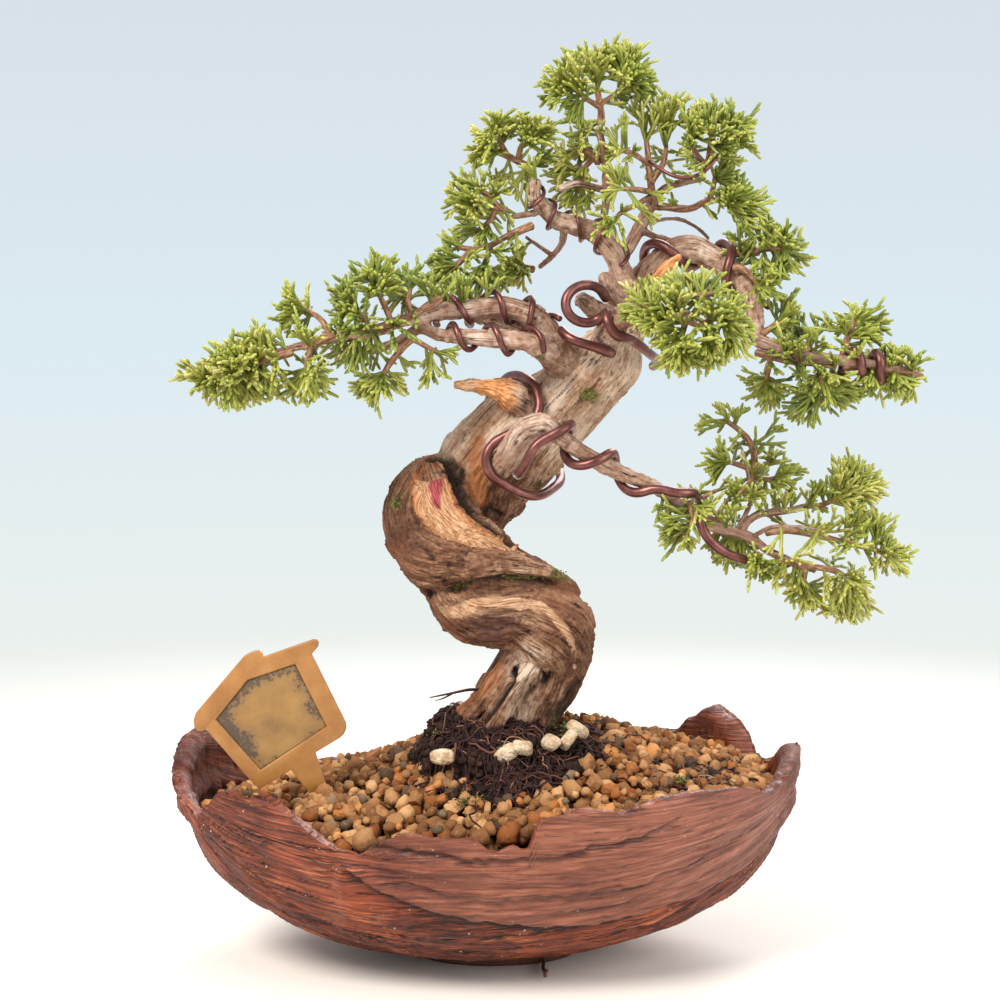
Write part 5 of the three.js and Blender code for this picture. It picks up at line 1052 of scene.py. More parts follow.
def belly(turn, z, inset, bottom):
    """Places on the rounded shell, this far inside its outer skin."""
    share = np.clip((BELLY_TOP - z) / (BELLY_TOP - bottom), 0, 1)
    share = np.clip(1 - share ** FULLNESS, 0, 1) ** (1 / FULLNESS)
    return np.stack([POT_CENTRE + (HALF_LENGTH - inset) * share * np.cos(turn),
                     (HALF_DEPTH - inset) * share * np.sin(turn), z], -1)


# How often each pattern of the clay repeats in a millimetre: along the shell, then twice across it.
WIDE_FOLDS, FINE_FOLDS = np.array([0.013, 0.19, 0.19]), np.array([0.026, 0.56, 0.56])
HAIRS, SWELLS = np.array([0.12, 1.5, 1.5]), np.array([0.03, 0.11, 0.11])


def shell_pattern(at):
    """Long fibres of the shell, slabs and grooves: lift, groove (painted shade), ridge, the husk mask (also
    painted shade at the left end), grain.
    """
    x = at[:, 0]
    turn = np.degrees(np.arctan2(BELLY_TOP - at[:, 2], -at[:, 1]))
    bend = turn + 2.2 * lumps(np.stack([x / 46, turn / 34, 0 * x], 1), 5)
    a = np.radians(bend)
    grain = np.stack([x, 54 * np.cos(a), 54 * np.sin(a)], 1)
    wide = 1 - ridges(grain * WIDE_FOLDS, 61)
    fine = 1 - ridges(grain * FINE_FOLDS, 67)
    hair = rough(grain * HAIRS, 3, 71)
    swell = rough(grain * SWELLS, 3, 73)
    # The ledge: the shell steps in below it, except at the front left, where its line jumps.
    around = np.degrees(np.arctan2(at[:, 1] / HALF_DEPTH, (x - POT_CENTRE) / HALF_LENGTH)) % 360
    table = np.array(LEDGE, float)
    rim = np.mean([rim_height(np.radians(around + step)) for step in range(-14, 15, 4)], 0)
    ledge = np.minimum(np.interp(around, table[:, 0], table[:, 1]), rim - 5)
    wobble = 1.0 * lumps(np.stack([around / 5, 0 * x, 0 * x], 1), 83)
    wobble += 0.5 * lumps(np.stack([around / 1.6, 0 * x, 0 * x], 1), 84)
    over = at[:, 2] - ledge - 0.7 * wobble
    slab_lift = np.where(over < -0.7, -STEP_DEPTH * soft(over, -0.38 * ledge, -1.6), 0)
    slab_lift = np.where(over >= -0.7, -STEP_DEPTH * (1 - soft(over, -0.7, 0.0)), slab_lift)
    whole = 1 - soft(around, 231, 236) * (1 - soft(around, 243.5, 247))
    slab_lift *= whole
    slab_lift += 0.55 * np.exp(-((over - 0.9) / 1.1) ** 2) * whole
    # A dark band from below the ledge up to it: painted shadow under the ledge's overhang.
    painted_edge_shadow = soft(over, -3.6, -2.2) * (1 - soft(over, -0.3, 0.1)) * whole
    for middle in (0.38 * ledge, ledge + 0.4 * (rim - ledge)):
        slab_lift -= RIB_DEPTH * np.exp(-((at[:, 2] - middle - wobble) / 2.4) ** 2)
    # The thinner slabs, each with a lip and a groove below it, and painted shadow along the groove.
    for n, (line, proud) in enumerate(SLABS):
        line = np.array(line, float)
        edge = np.interp(x, line[:, 0], line[:, 1])
        edge = edge + 1.3 * lumps(np.stack([x / 6, 0 * x, 0 * x + 9 * n], 1), 80)
        edge = edge + 0.5 * lumps(np.stack([x / 1.8, 0 * x, 0 * x + 9 * n], 1), 81)
        reach = soft(x, line[0, 0] - 1, line[0, 0] + 7) * (1 - soft(x, line[-1, 0] - 8, line[-1, 0] + 1))
        gap = (edge - bend) if line[:, 1].mean() < 90 else (bend - edge)
        slab_lift += 0.5 * proud * reach * soft(gap, -0.9, 0.3) * (1 - soft(gap, 5, 14))
        slab_lift += -0.9 * proud * reach * np.exp(-((gap + 1.2) / 0.9) ** 2)
        painted_edge_shadow = np.maximum(painted_edge_shadow, reach * np.exp(-((gap + 1.1) / 0.8) ** 2) * min(1, 1.2 * proud))
    # Smooth slabs show above the ledge in front, and coarse husk everywhere else; towards the left end the
    # front turns to husk too, which paints that end darker as shade.
    front = (turn < 90) * soft(over, -0.8, 0.1)
    crust = 1 - 0.92 * front * (1 - soft(np.abs(x + 2), 70, 80) * 0.5) * (0.15 + 0.85 * soft(x, -50, 4))
    deep = soft(wide, 0.78, 0.98) * soft(swell, -0.25, 0.15)
    thin = soft(fine, 0.72, 0.98)
    lift = (0.5 + 0.5 * crust) * (-1.3 * deep - 0.8 * thin) + (0.3 + 0.5 * crust) * swell
    lift = lift + (0.12 + 0.4 * crust) * hair + slab_lift + 0.25
    # Groove: painted shade in the carved folds, with the painted shadow under the ledge and slabs.
    groove = np.clip((0.55 + 0.45 * crust) * (0.9 * deep + 0.6 * thin) + painted_edge_shadow, 0, 1)
    # Ridge: where the finish paints highlights.
    ridge = soft(hair + 0.5 * swell - 1.2 * groove, 0.02, 0.42)
    return lift, groove, ridge, crust, grain


def make_pot():
    """The shell as one closed skin: outside from the sole to the rim, over the rim, down inside."""
    columns, rows, inner_rows = 560, 140, 22
    turn = np.linspace(0, 2 * np.pi, columns, endpoint=False)
    ragged = 0.55 * rough(np.stack([np.cos(turn) * 22, np.sin(turn) * 22, 0 * turn], 1), 3, 90)
    ragged += 0.35 * rough(np.stack([np.cos(turn) * 70, np.sin(turn) * 70, 0 * turn], 1), 2, 91)
    top = rim_height(turn) + ragged - 0.2
    t = (np.linspace(0.0, 1.0, rows) ** 1.15)[1:]
    shared = np.interp(t, [0, 0.66, 1], [BELLY_BOTTOM, 32, 47])[:, None]
    z = shared + (top[None] - 47) * soft(t, 0.62, 1.0)[:, None]
    outer = belly(np.repeat(turn[None], len(t), 0), z, 0.0, BELLY_BOTTOM)
    flat = outer.reshape(-1, 3)
    lift, groove, ridge, crust, grain = shell_pattern(flat)
    normal = np.stack([(flat[:, 0] - POT_CENTRE) / HALF_LENGTH ** 2, flat[:, 1] / HALF_DEPTH ** 2,
                       (flat[:, 2] - BELLY_TOP) / (BELLY_TOP - 1) ** 2], 1)
    normal /= np.linalg.norm(normal, axis=1)[:, None]
    fade = soft(flat[:, 2], 1.6, 6)
    outer = (flat + normal * ((lift - 0.55) * fade)[:, None]).reshape(len(t), columns, 3)
    outer[..., 2] = np.maximum(outer[..., 2], 0.8)
    thick = WALL - 1.2 + 1.1 * rough(np.stack([np.cos(turn) * 9, np.sin(turn) * 9, 0 * turn], 1), 2, 95)
    out = np.stack([np.cos(turn), np.sin(turn), 0 * turn], 1)
    rim = outer[-1]
    over = []
    for inset, drop in ((0.5, -0.55), (1.5, -0.85), (2.8, -0.6), (4.0, 0.1)):
        ring = rim - out * (inset * thick / 4.6)[:, None]
        wear = 0.5 * rough(ring / 1.7, 3, 96)
        ring[:, 2] = top - drop - 1.0 + wear
        over.append(ring)
    levels = FLOOR + (top[None] - 1.4 - FLOOR) * np.linspace(0.97, 0.02, inner_rows)[:, None]
    inner = np.array([belly(turn, level, 5.0, FLOOR) for level in levels]).reshape(-1, 3)
    inner_lift, inner_groove, inner_ridge, _, inner_grain = shell_pattern(inner)
    away = np.stack([inner[:, 0] - POT_CENTRE, inner[:, 1] * 1.6, 0 * inner[:, 0]], 1)
    away /= np.linalg.norm(away, axis=1)[:, None] + 1e-9
    carved = inner - away * np.clip(0.8 * inner_lift, -1.2, 0.9)[:, None]
    _, over_groove, over_ridge, _, over_grain = shell_pattern(np.array(over).reshape(-1, 3))
    shape = Shape()
    shape.grid(np.concatenate([outer, np.array(over), carved.reshape(inner_rows, columns, 3)]),
               grain=np.concatenate([grain, over_grain, inner_grain]),
               groove=np.concatenate([groove, 0.5 * over_groove, inner_groove]),
               ridge=np.concatenate([ridge, over_ridge, inner_ridge]),
               crust=np.concatenate([crust, np.full(len(over_groove), 0.55), np.full(len(inner), 0.75)]))
    return drill(shape.build("pot_shell", CLAY))


def drill(piece):
    """Cuts the two drain holes through the bottom."""
    for x in (-DRAIN_X, DRAIN_X):
        bpy.ops.mesh.primitive_cylinder_add(vertices=48, radius=DRAIN_RADIUS * MM, depth=0.03,
                                            location=(x * MM, DRAIN_Y * MM, 0))
        hole = bpy.context.object
        work(piece, "BOOLEAN", operation="DIFFERENCE", solver="MANIFOLD", object=hole)
        bpy.data.objects.remove(hole)
    return piece


def make_foot():
    """The flat oval foot under the shell, with a worn edge."""
    bpy.ops.mesh.primitive_cylinder_add(vertices=96, radius=0.5, depth=1, location=(0, 0, 0.5))
    foot = bpy.context.object
    foot.name = "pot_foot"
    foot.scale = [size * MM for size in FOOT_SIZE]
    foot.location = (0, 0, FOOT_SIZE[2] / 2 * MM)
    bpy.ops.object.transform_apply(location=True, rotation=True, scale=True)
    work(foot, "BEVEL", width=0.6 * MM, segments=3)
    at = read_verts(foot.data)
    worn = 0.25 * rough(at / 3.5, 3, 44) * (at[:, 2] > 0.5)
    out = np.stack([at[:, 0], at[:, 1], 0 * at[:, 0]], 1)
    out /= np.linalg.norm(out, axis=1)[:, None] + 1e-6
    move_verts(foot.data, at + out * worn[:, None])
    write_note(foot.data, "crust", np.full(len(at), 0.6))
    foot.data.materials.append(CLAY)
    return drill(foot)


# ------------------------------------------------------------------ soil, roots and pumice
# Lumps of the root mass, as [x, y, z, half length, half depth, half height].
ROOT_LUMPS = [[-1, -7, 51, 20, 17, 12], [17, -9, 49, 16, 16, 9], [5, -24, 45, 15, 10, 6.5],
              [-9, -5, 56, 9, 9, 9]]
# Pale chips, as [x, y, z, radius].
PUMICE = [[-12.5, -23, 56.5, 2.4], [3.5, -21, 57, 2.6], [7.6, -22, 58.6, 2.2], [14.5, -19.5, 59.4, 2.5],
          [19, -18.5, 60, 2.2], [21.5, -14, 61.5, 2.4]]


def soil_height(x, y):
    """The soil's mound, with a dip at the front left."""
    mound = 18.5 * np.exp(-((x - 9) ** 2) / 2200 - (y - 5) ** 2 / 1450)
    dip = 3.5 * np.exp(-(((x + 34) / 14) ** 2) - ((y + 50) / 10) ** 2)
    return 41.3 + 0.05 * x + mound - dip


def root_cover(x, y):
    """Below 1 over the dark root mass."""
    return np.min([np.hypot((x - cx) / a, (y - cy) / b) for cx, cy, _, a, b, _ in ROOT_LUMPS], axis=0)


def inside_pot(x, y, margin):
    """How far inside the wall a place at soil height lies, as a share of the way out from the middle."""
    turn = np.arctan2(y / HALF_DEPTH, (x - POT_CENTRE) / HALF_LENGTH)
    height = np.minimum(soil_height(x, y), rim_height(turn) - 1)
    wall = belly(turn, height, WALL + margin, FLOOR)
    return np.hypot(x - POT_CENTRE, y) / np.hypot(wall[..., 0] - POT_CENTRE, wall[..., 1])


def rounded_cube():
    """A cube cut once each way and blown up into a ball: 26 corners, 24 faces."""
    bpy.ops.mesh.primitive_cube_add(size=2, location=(0, 0, 0))
    cube = bpy.context.object
    bpy.ops.object.mode_set(mode="EDIT")
    bpy.ops.mesh.select_all(action="SELECT")
    bpy.ops.mesh.subdivide(number_cuts=1)
    bpy.ops.object.mode_set(mode="OBJECT")
    verts = np.array([v.co[:] for v in cube.data.vertices])
    faces = [tuple(p.vertices) for p in cube.data.polygons]
    bpy.data.objects.remove(cube)
    verts /= np.linalg.norm(verts, axis=1)[:, None]
    return verts, faces


def turned(rng):
    """A random turn."""
    q = rng.normal(size=4)
    q /= np.linalg.norm(q)
    w, x, y, z = q
    return np.array([[1 - 2 * (y * y + z * z), 2 * (x * y - z * w), 2 * (x * z + y * w)],
                     [2 * (x * y + z * w), 1 - 2 * (x * x + z * z), 2 * (y * z - x * w)],
                     [2 * (x * z - y * w), 2 * (y * z + x * w), 1 - 2 * (x * x + y * y)]])


def stone(shape, ball, faces, centre, size, rng, **notes):
    """An uneven grain: a ball dented, squared by 9 to 44 %, flattened and turned."""
    body = ball * (1 + 0.19 * rng.normal(size=(len(ball), 1)).clip(-1.3, 1.3))
    body = np.sign(body) * np.abs(body) ** (1 - 0.22 * rng.uniform(0.4, 2.0))
    body = body * (size * rng.uniform([0.95, 0.8, 0.7], [1.3, 1.05, 0.95]))
    shape.add(body @ turned(rng).T + centre, faces, **notes)


def make_grains():
    """Single grains in three layers, dropped where there is room."""
    rng = np.random.default_rng(12)
    ball, faces = rounded_cube()
    shape = Shape()
    placed = np.zeros((0, 4))
    for layer, (count, mean, sunk) in enumerate(((900, 2.3, 1.8), (640, 2.15, 0.2), (420, 1.2, -0.6))):
        here = 0
        for _ in range(count * 12):
            if here >= count:
                break
            x, y = rng.uniform(-78, 74), rng.uniform(-50, 50)
            if inside_pot(x, y, 0.6 + 0.5 * (layer == 0)) > 0.99:
                continue
            cover = root_cover(x, y)
            if cover < 0.93 and not (cover > 0.72 and rng.random() < 0.18):
                continue
            if math.hypot(x - 6, (y - 3) * 1.05) < 13:
                continue
            r = mean * rng.uniform(0.76, 1.24)
            z = soil_height(x, y) - sunk + rng.uniform(-0.6, 0.6)
            if len(placed):
                d = np.sqrt(((placed[:, :3] - (x, y, z)) ** 2).sum(1))
                if (d < 0.8 * (placed[:, 3] + r)).any():
                    continue
            placed = np.vstack([placed, [x, y, z, r]])
            here += 1
            stone(shape, ball, faces, (x, y, z), r, rng, tone=rng.random(), hue=rng.random())
    # A closer row along the wall, and a small heap around the stake of the label.
    by_wall, heaped = 250, 80
    for k in range(by_wall + heaped):
        if k < by_wall:
            turn = rng.uniform(0, 2 * math.pi)
            top = float(rim_height(np.array(turn))) - 1.8
            x, y = POT_CENTRE + HALF_LENGTH * math.cos(turn), HALF_DEPTH * math.sin(turn)
            share = 0.94 * rng.uniform(0.965, 1.0) / float(inside_pot(np.array(x), np.array(y), 0.6))
            x, y = POT_CENTRE + share * (x - POT_CENTRE), share * y
            z = min(float(soil_height(x, y)) + 0.2, top) + rng.uniform(-0.5, 0.5)
        else:
            x, y = -42 + 4.2 * rng.normal(), rng.uniform(-31, -23.5)
            z = float(soil_height(x, y)) + 5.6 * math.exp(-((x + 42.5) / 5.5) ** 2) * rng.uniform(0.2, 1)
        stone(shape, ball, faces, (x, y, z), rng.uniform(1.4, 2.2), rng,
              tone=rng.random(), hue=rng.random())
    piece = shape.build("soil_grains", SOIL)
    # Three grains in four are worn smooth, and the others keep sharp facets.
    worn = rng.random(len(piece.data.polygons)) < 0.75
    piece.data.polygons.foreach_set("use_smooth", np.repeat(worn[::len(faces)], len(faces))[:len(worn)])
    return piece


def make_bed():
    """A dark sheet between and under the grains, out to the clay, as painted shade in the gaps between them.
    """
    turn = np.linspace(0, 2 * np.pi, 180, endpoint=False)
    rings = []
    for share in np.linspace(0.02, 1.0, 44):
        x = POT_CENTRE + share * (HALF_LENGTH - WALL) * np.cos(turn)
        y = share * (HALF_DEPTH - WALL) * np.sin(turn)
        for _ in range(3):
            z = np.minimum(soil_height(x, y), rim_height(turn) - 2)
            edge = belly(turn, z, WALL - 0.6, FLOOR)
            x = POT_CENTRE + share * (edge[:, 0] - POT_CENTRE)
            y = share * edge[:, 1]
        place = np.stack([x, y, np.minimum(soil_height(x, y), rim_height(turn) - 1.2) - 2.5], 1)
        place[:, 2] += 1.1 * rough(place / 3.2, 3, 33)
        rings.append(place)
    under = np.array(rings[-1])
    under[:, 2] -= 5
    middle = np.array(rings[0])
    middle[:, 2] -= 12
    rings = [middle, under, *rings[::-1]]
    shape = Shape()
    shape.grid(rings)
    return shape.build("soil_bed", PEAT)


def make_root_mass():
    """The dark lump of peat and roots round the foot of the trunk."""
    shape = Shape()
    a = np.linspace(0, 2 * np.pi, 40, endpoint=False)
    for x, y, z, la, lb, lc in ROOT_LUMPS:
        rings = []
        for up in np.linspace(-0.35, 1.5, 24):
            r = math.cos(up)
            rings.append(np.stack([x + la * r * np.cos(a), y + lb * r * np.sin(a),
                                   0 * a + z + lc * math.sin(up)], 1))
        shape.grid(rings)
    piece = shape.build("root_mass", PEAT)
    work(piece, "REMESH", mode="VOXEL", voxel_size=0.62 * MM)
    at = read_verts(piece.data)
    out = normals_of(piece.data)
    lift = 1.5 * rough(at / 3.6, 4, 51) + 0.9 * (ridges(at / 2.4, 52) - 0.75) - 0.6
    move_verts(piece.data, at + out * lift[:, None])
    shade_smooth(piece.data)
    return piece


def make_crumbs():
    """Crumbs of peat on the root mass."""
    rng = np.random.default_rng(77)
    ball, faces = rounded_cube()
    shape = Shape()
    for _ in range(620):
        lump = ROOT_LUMPS[rng.choice(4, p=[0.42, 0.28, 0.2, 0.1])]
        a, up = rng.uniform(0, 2 * np.pi), rng.uniform(0.0, 1.35)
        out = np.array([math.cos(up) * math.cos(a) * lump[3], math.cos(up) * math.sin(a) * lump[4],
                        math.sin(up) * lump[5]])
        centre = np.array(lump[:3]) + out * rng.uniform(0.97, 1.04)
        if centre[2] < soil_height(centre[0], centre[1]) - 3:
            continue
        stone(shape, ball, faces, centre, rng.uniform(0.5, 1.25), rng)
    return shape.build("peat_crumbs", PEAT)


def make_roots():
    """Fine curly roots that hang over the root mass and run out into the grains."""
    rng = np.random.default_rng(5)
    shape = Shape()
    # Each spot is [x, y, spread along, spread deep, roots].
    spots = ((0, -14, 14, 12, 150), (16, -10, 13, 10, 120), (4, -27, 13, 7, 70), (-8, -6, 8, 8, 40),
             (56, -18, 9, 7, 60), (64, -6, 6, 8, 26))
    number = 0
    for cx, cy, wx, wy, count in spots:
        for _ in range(count):
            x, y = cx + wx * rng.normal() * 0.6, cy + wy * rng.normal() * 0.6
            if math.hypot(x - 6, y - 2) < 11 or inside_pot(np.array(x), np.array(y), 1) > 0.97:
                continue
            heading = rng.uniform(0, 2 * np.pi)
            curl = rng.normal() * 0.25
            length = int(rng.integers(6, 15))
            radius = rng.choice([0.16, 0.2, 0.27, 0.4], p=[0.4, 0.35, 0.2, 0.05])
            ground = soil_height(np.array(x), np.array(y)) + lift_over(x, y)
            points = [[x, y, ground - 0.3, radius]]
            rise = rng.uniform(0.3, 1.6)
            for step in range(length):
                heading += curl + rng.normal() * 0.45
                x += 1.25 * math.cos(heading)
                y += 1.25 * math.sin(heading)
                if inside_pot(np.array(x), np.array(y), 0.6) > 0.98:
                    break
                ground = soil_height(np.array(x), np.array(y)) + lift_over(x, y)
                arc = rise * math.sin(math.pi * (step + 1) / length)
                points.append([x, y, float(ground) + arc + 0.25 * rng.normal(),
                               radius * (1 - 0.5 * step / length)])
            if len(points) > 3:
                number += 1
                tube(shape, points, sides=4, step=0.8, seed=number, tone=rng.random() ** 1.6)
    dead_twigs(shape)
    return shape.build("fine_roots", ROOTS)


def dead_twigs(shape):
    """Bare dry twigs at the foot of the trunk."""
    twigs = [[[-3.4, -6, 70.4, 0.45], [-6.5, -10, 71, 0.4], [-10.2, -12, 70.6, 0.3],
              [-16, -13, 69.6, 0.16]],
             [[-10, -12, 70.6, 0.24], [-12.6, -13, 69.4, 0.18], [-14.6, -13.5, 68.9, 0.1]]]
    for points in twigs:
        tube(shape, points, sides=7, step=0.8, wobble=0.3, seed=77, tone=0.2)


def lift_over(x, y):
    """How far the root mass stands above the soil."""
    best = 0.0
    for cx, cy, cz, a, b, c in ROOT_LUMPS:
        q = 1 - ((x - cx) / a) ** 2 - ((y - cy) / b) ** 2
        if q > 0:
            best = max(best, cz + c * math.sqrt(q) - float(soil_height(np.array(x), np.array(y))))
    return best


def make_pumice():
    """Pale rounded blocks, pitted and turned."""
    rng = np.random.default_rng(3)
    for i, (x, y, z, r) in enumerate(PUMICE):
        bpy.ops.mesh.primitive_ico_sphere_add(subdivisions=4, radius=1, location=(0, 0, 0))
        bit = bpy.context.object
        bit.name = f"pumice_chip_{i + 1}"
        at = np.array([v.co[:] for v in bit.data.vertices])
        at = np.sign(at) * np.abs(at) ** 0.62
        at = at * (r * np.array([1.25, 0.85, 0.7]))
        at = at @ turned(rng).T
        dents, pits = rough(at / (1.3 * r) + 9 * i, 2, i), rough(at / (0.2 * r), 2, i + 5)
        at *= (1 + 0.16 * dents + 0.05 * pits)[:, None]
        shade_smooth(bit.data)
        bit.data.materials.append(CHIPS)
        move_verts(bit.data, at + (x, y, z))
        belongs(bit, "pumice", f"pumice_{i + 1}")


BLADE_FACES = [(0, 1, 4, 3), (1, 2, 5, 4), (2, 0, 3, 5), (3, 4, 6), (4, 5, 6), (5, 3, 6), (2, 1, 0)]


def make_moss():
    """Short green blades in tufts: [x, y, z, reach, blades, length]."""
    rng = np.random.default_rng(9)
    tufts = [[-5, -33, 47, 3.0, 80, 1.3], [47, -24, 50.5, 2.2, 50, 1.2], [-40, -15, 42, 1.8, 36, 1.0],
             [15, -11.5, 101, 2.6, 70, 0.7], [24.6, -9.2, 146.3, 2.6, 70, 0.7],
             [-25, -7.2, 118.6, 2.2, 60, 0.7],
             [11.3, -2.4, 124, 1.8, 45, 0.7], [19, -7, 60.5, 2.6, 60, 1.1], [-14, -12, 60, 2.6, 36, 0.8]]
    shape = Shape()
    for x, y, z, reach, count, tall in tufts:
        for _ in range(count):
            off = rng.normal(size=3) * reach * 0.45
            base = np.array([x, y, z]) + off * (1, 1, 0.45)
            lean = rng.normal(size=3) * 0.6 + (0, -0.5, 0.9)
            lean /= np.linalg.norm(lean)
            length = tall * rng.uniform(0.6, 1.3)
            side = np.cross(lean, rng.normal(size=3))
            side *= 0.16 / np.linalg.norm(side)
            up = np.cross(lean, side)
            ring = [base + side, base - 0.5 * side + 0.87 * up, base - 0.5 * side - 0.87 * up]
            mid = [p + lean * length * 0.6 + 0.1 * (p - base) for p in ring]
            shape.add([*ring, *mid, base + lean * length], BLADE_FACES, tone=rng.random())
    return shape.build("moss_tufts", MOSSY)


# ------------------------------------------------------------------ plant label, left blank
LABEL_FOOT, LABEL_LEAN, LABEL_THICK = np.array([-44.5, -20, 38]), math.radians(27.5), 1.6
# House shape in the label's own plane, as [across, up] from the foot of its stake.
LABEL_OUTLINE = [[4, 0], [5.9, 0], [8.8, 17], [16.1, 17.5], [17.5, 17.9], [18.6, 18.8], [19.2, 20.2],
                 [19.7, 39.5], [22.1, 40.5], [22.7, 41.3], [22.6, 42.1], [21.8, 42.6], [19.2, 43],
                 [8.6, 44.5], [8.9, 45.4], [8.6, 46.3], [7.6, 46.8], [5.5, 47], [4.3, 46.8],
                 [-12.9, 39.8], [-14.3, 38.5], [-15, 36.8], [-14.7, 35.5], [-13.8, 34.9], [-12.6, 35],
                 [-8.7, 17.2], [-8.2, 15.9], [-7.2, 15.3], [1.4, 16]]
LABEL_WINDOW = [[-5.6, 19.3], [14.6, 21.5], [15, 39.3], [2.4, 41.2], [-9.5, 36]]


def on_label(points):
    """From the label's own plane, [across, up, towards the front], to its place in the pot."""
    p = np.asarray(points, float)
    c, s = math.cos(LABEL_LEAN), math.sin(LABEL_LEAN)
    return np.stack([p[:, 0] * c - p[:, 1] * s, -p[:, 2], p[:, 0] * s + p[:, 1] * c], 1) + LABEL_FOOT


def cut_plate(name, outline, low, high):
    """A flat outline, filled and pulled up to its thickness."""
    mesh = bpy.data.meshes.new(name)
    mesh.from_pydata([(x * MM, y * MM, low * MM) for x, y in outline], [], [tuple(range(len(outline)))])
    plate = bpy.data.objects.new(name, mesh)
    bpy.context.collection.objects.link(plate)
    only(plate)
    bpy.ops.object.mode_set(mode="EDIT")
    bpy.ops.mesh.select_all(action="SELECT")
    bpy.ops.mesh.extrude_region_move(TRANSFORM_OT_translate={"value": (0, 0, (high - low) * MM)})
    bpy.ops.mesh.select_all(action="SELECT")
    bpy.ops.mesh.normals_make_consistent(inside=False)
    bpy.ops.object.mode_set(mode="OBJECT")
    return plate


def make_label():
    """The frame with its window cut in, and a dirty pane sunk in the window."""
    plate = cut_plate("plant_tag", LABEL_OUTLINE, 0.0, LABEL_THICK)
    window = cut_plate("tag_window", LABEL_WINDOW, LABEL_THICK - 0.55, LABEL_THICK + 2)
    work(plate, "BOOLEAN", operation="DIFFERENCE", object=window)
    bpy.data.objects.remove(window)
    work(plate, "BEVEL", width=0.34 * MM, segments=3, limit_method="ANGLE", angle_limit=math.radians(35))
    at = read_verts(plate.data)
    move_verts(plate.data, on_label(at))
    bpy.ops.object.shade_smooth_by_angle(angle=math.radians(40))
    write_note(plate.data, "grime", np.zeros(len(at)))
    plate.data.materials.append(TAG)
    sides, rows = 120, 27
    outline = even(np.array([[*p, 0] for p in LABEL_WINDOW + LABEL_WINDOW[:1]], float), sides)[:-1]
    middle = outline.mean(0)
    reach = np.r_[1, np.linspace(1, 0.04, rows - 1)]
    rings = [middle + (outline - middle) * s * 0.985 for s in reach]
    depth = np.repeat(reach, sides)
    flat = np.array(rings).reshape(-1, 3)
    flat[:, 2] = LABEL_THICK - 0.5
    flat[:sides, 2] = LABEL_THICK - 0.8
    dirt = 0.1 + 0.62 * soft(depth, 0.45, 1.0) + 0.45 * rough(flat / 4.0, 3, 8)
    dirt += 0.28 * soft(-flat[:, 0], -1, 8) * soft(flat[:, 1], 19, 24) - 0.35 * (1 - soft(flat[:, 1], 22, 26))
    shape = Shape()
    shape.grid(on_label(flat).reshape(rows, sides, 3), grime=np.clip(dirt, 0.02, 1.0))
    pane = shape.build("tag_pane", TAG)
    only(plate)
    pane.select_set(True)
    bpy.ops.object.join()
    return plate


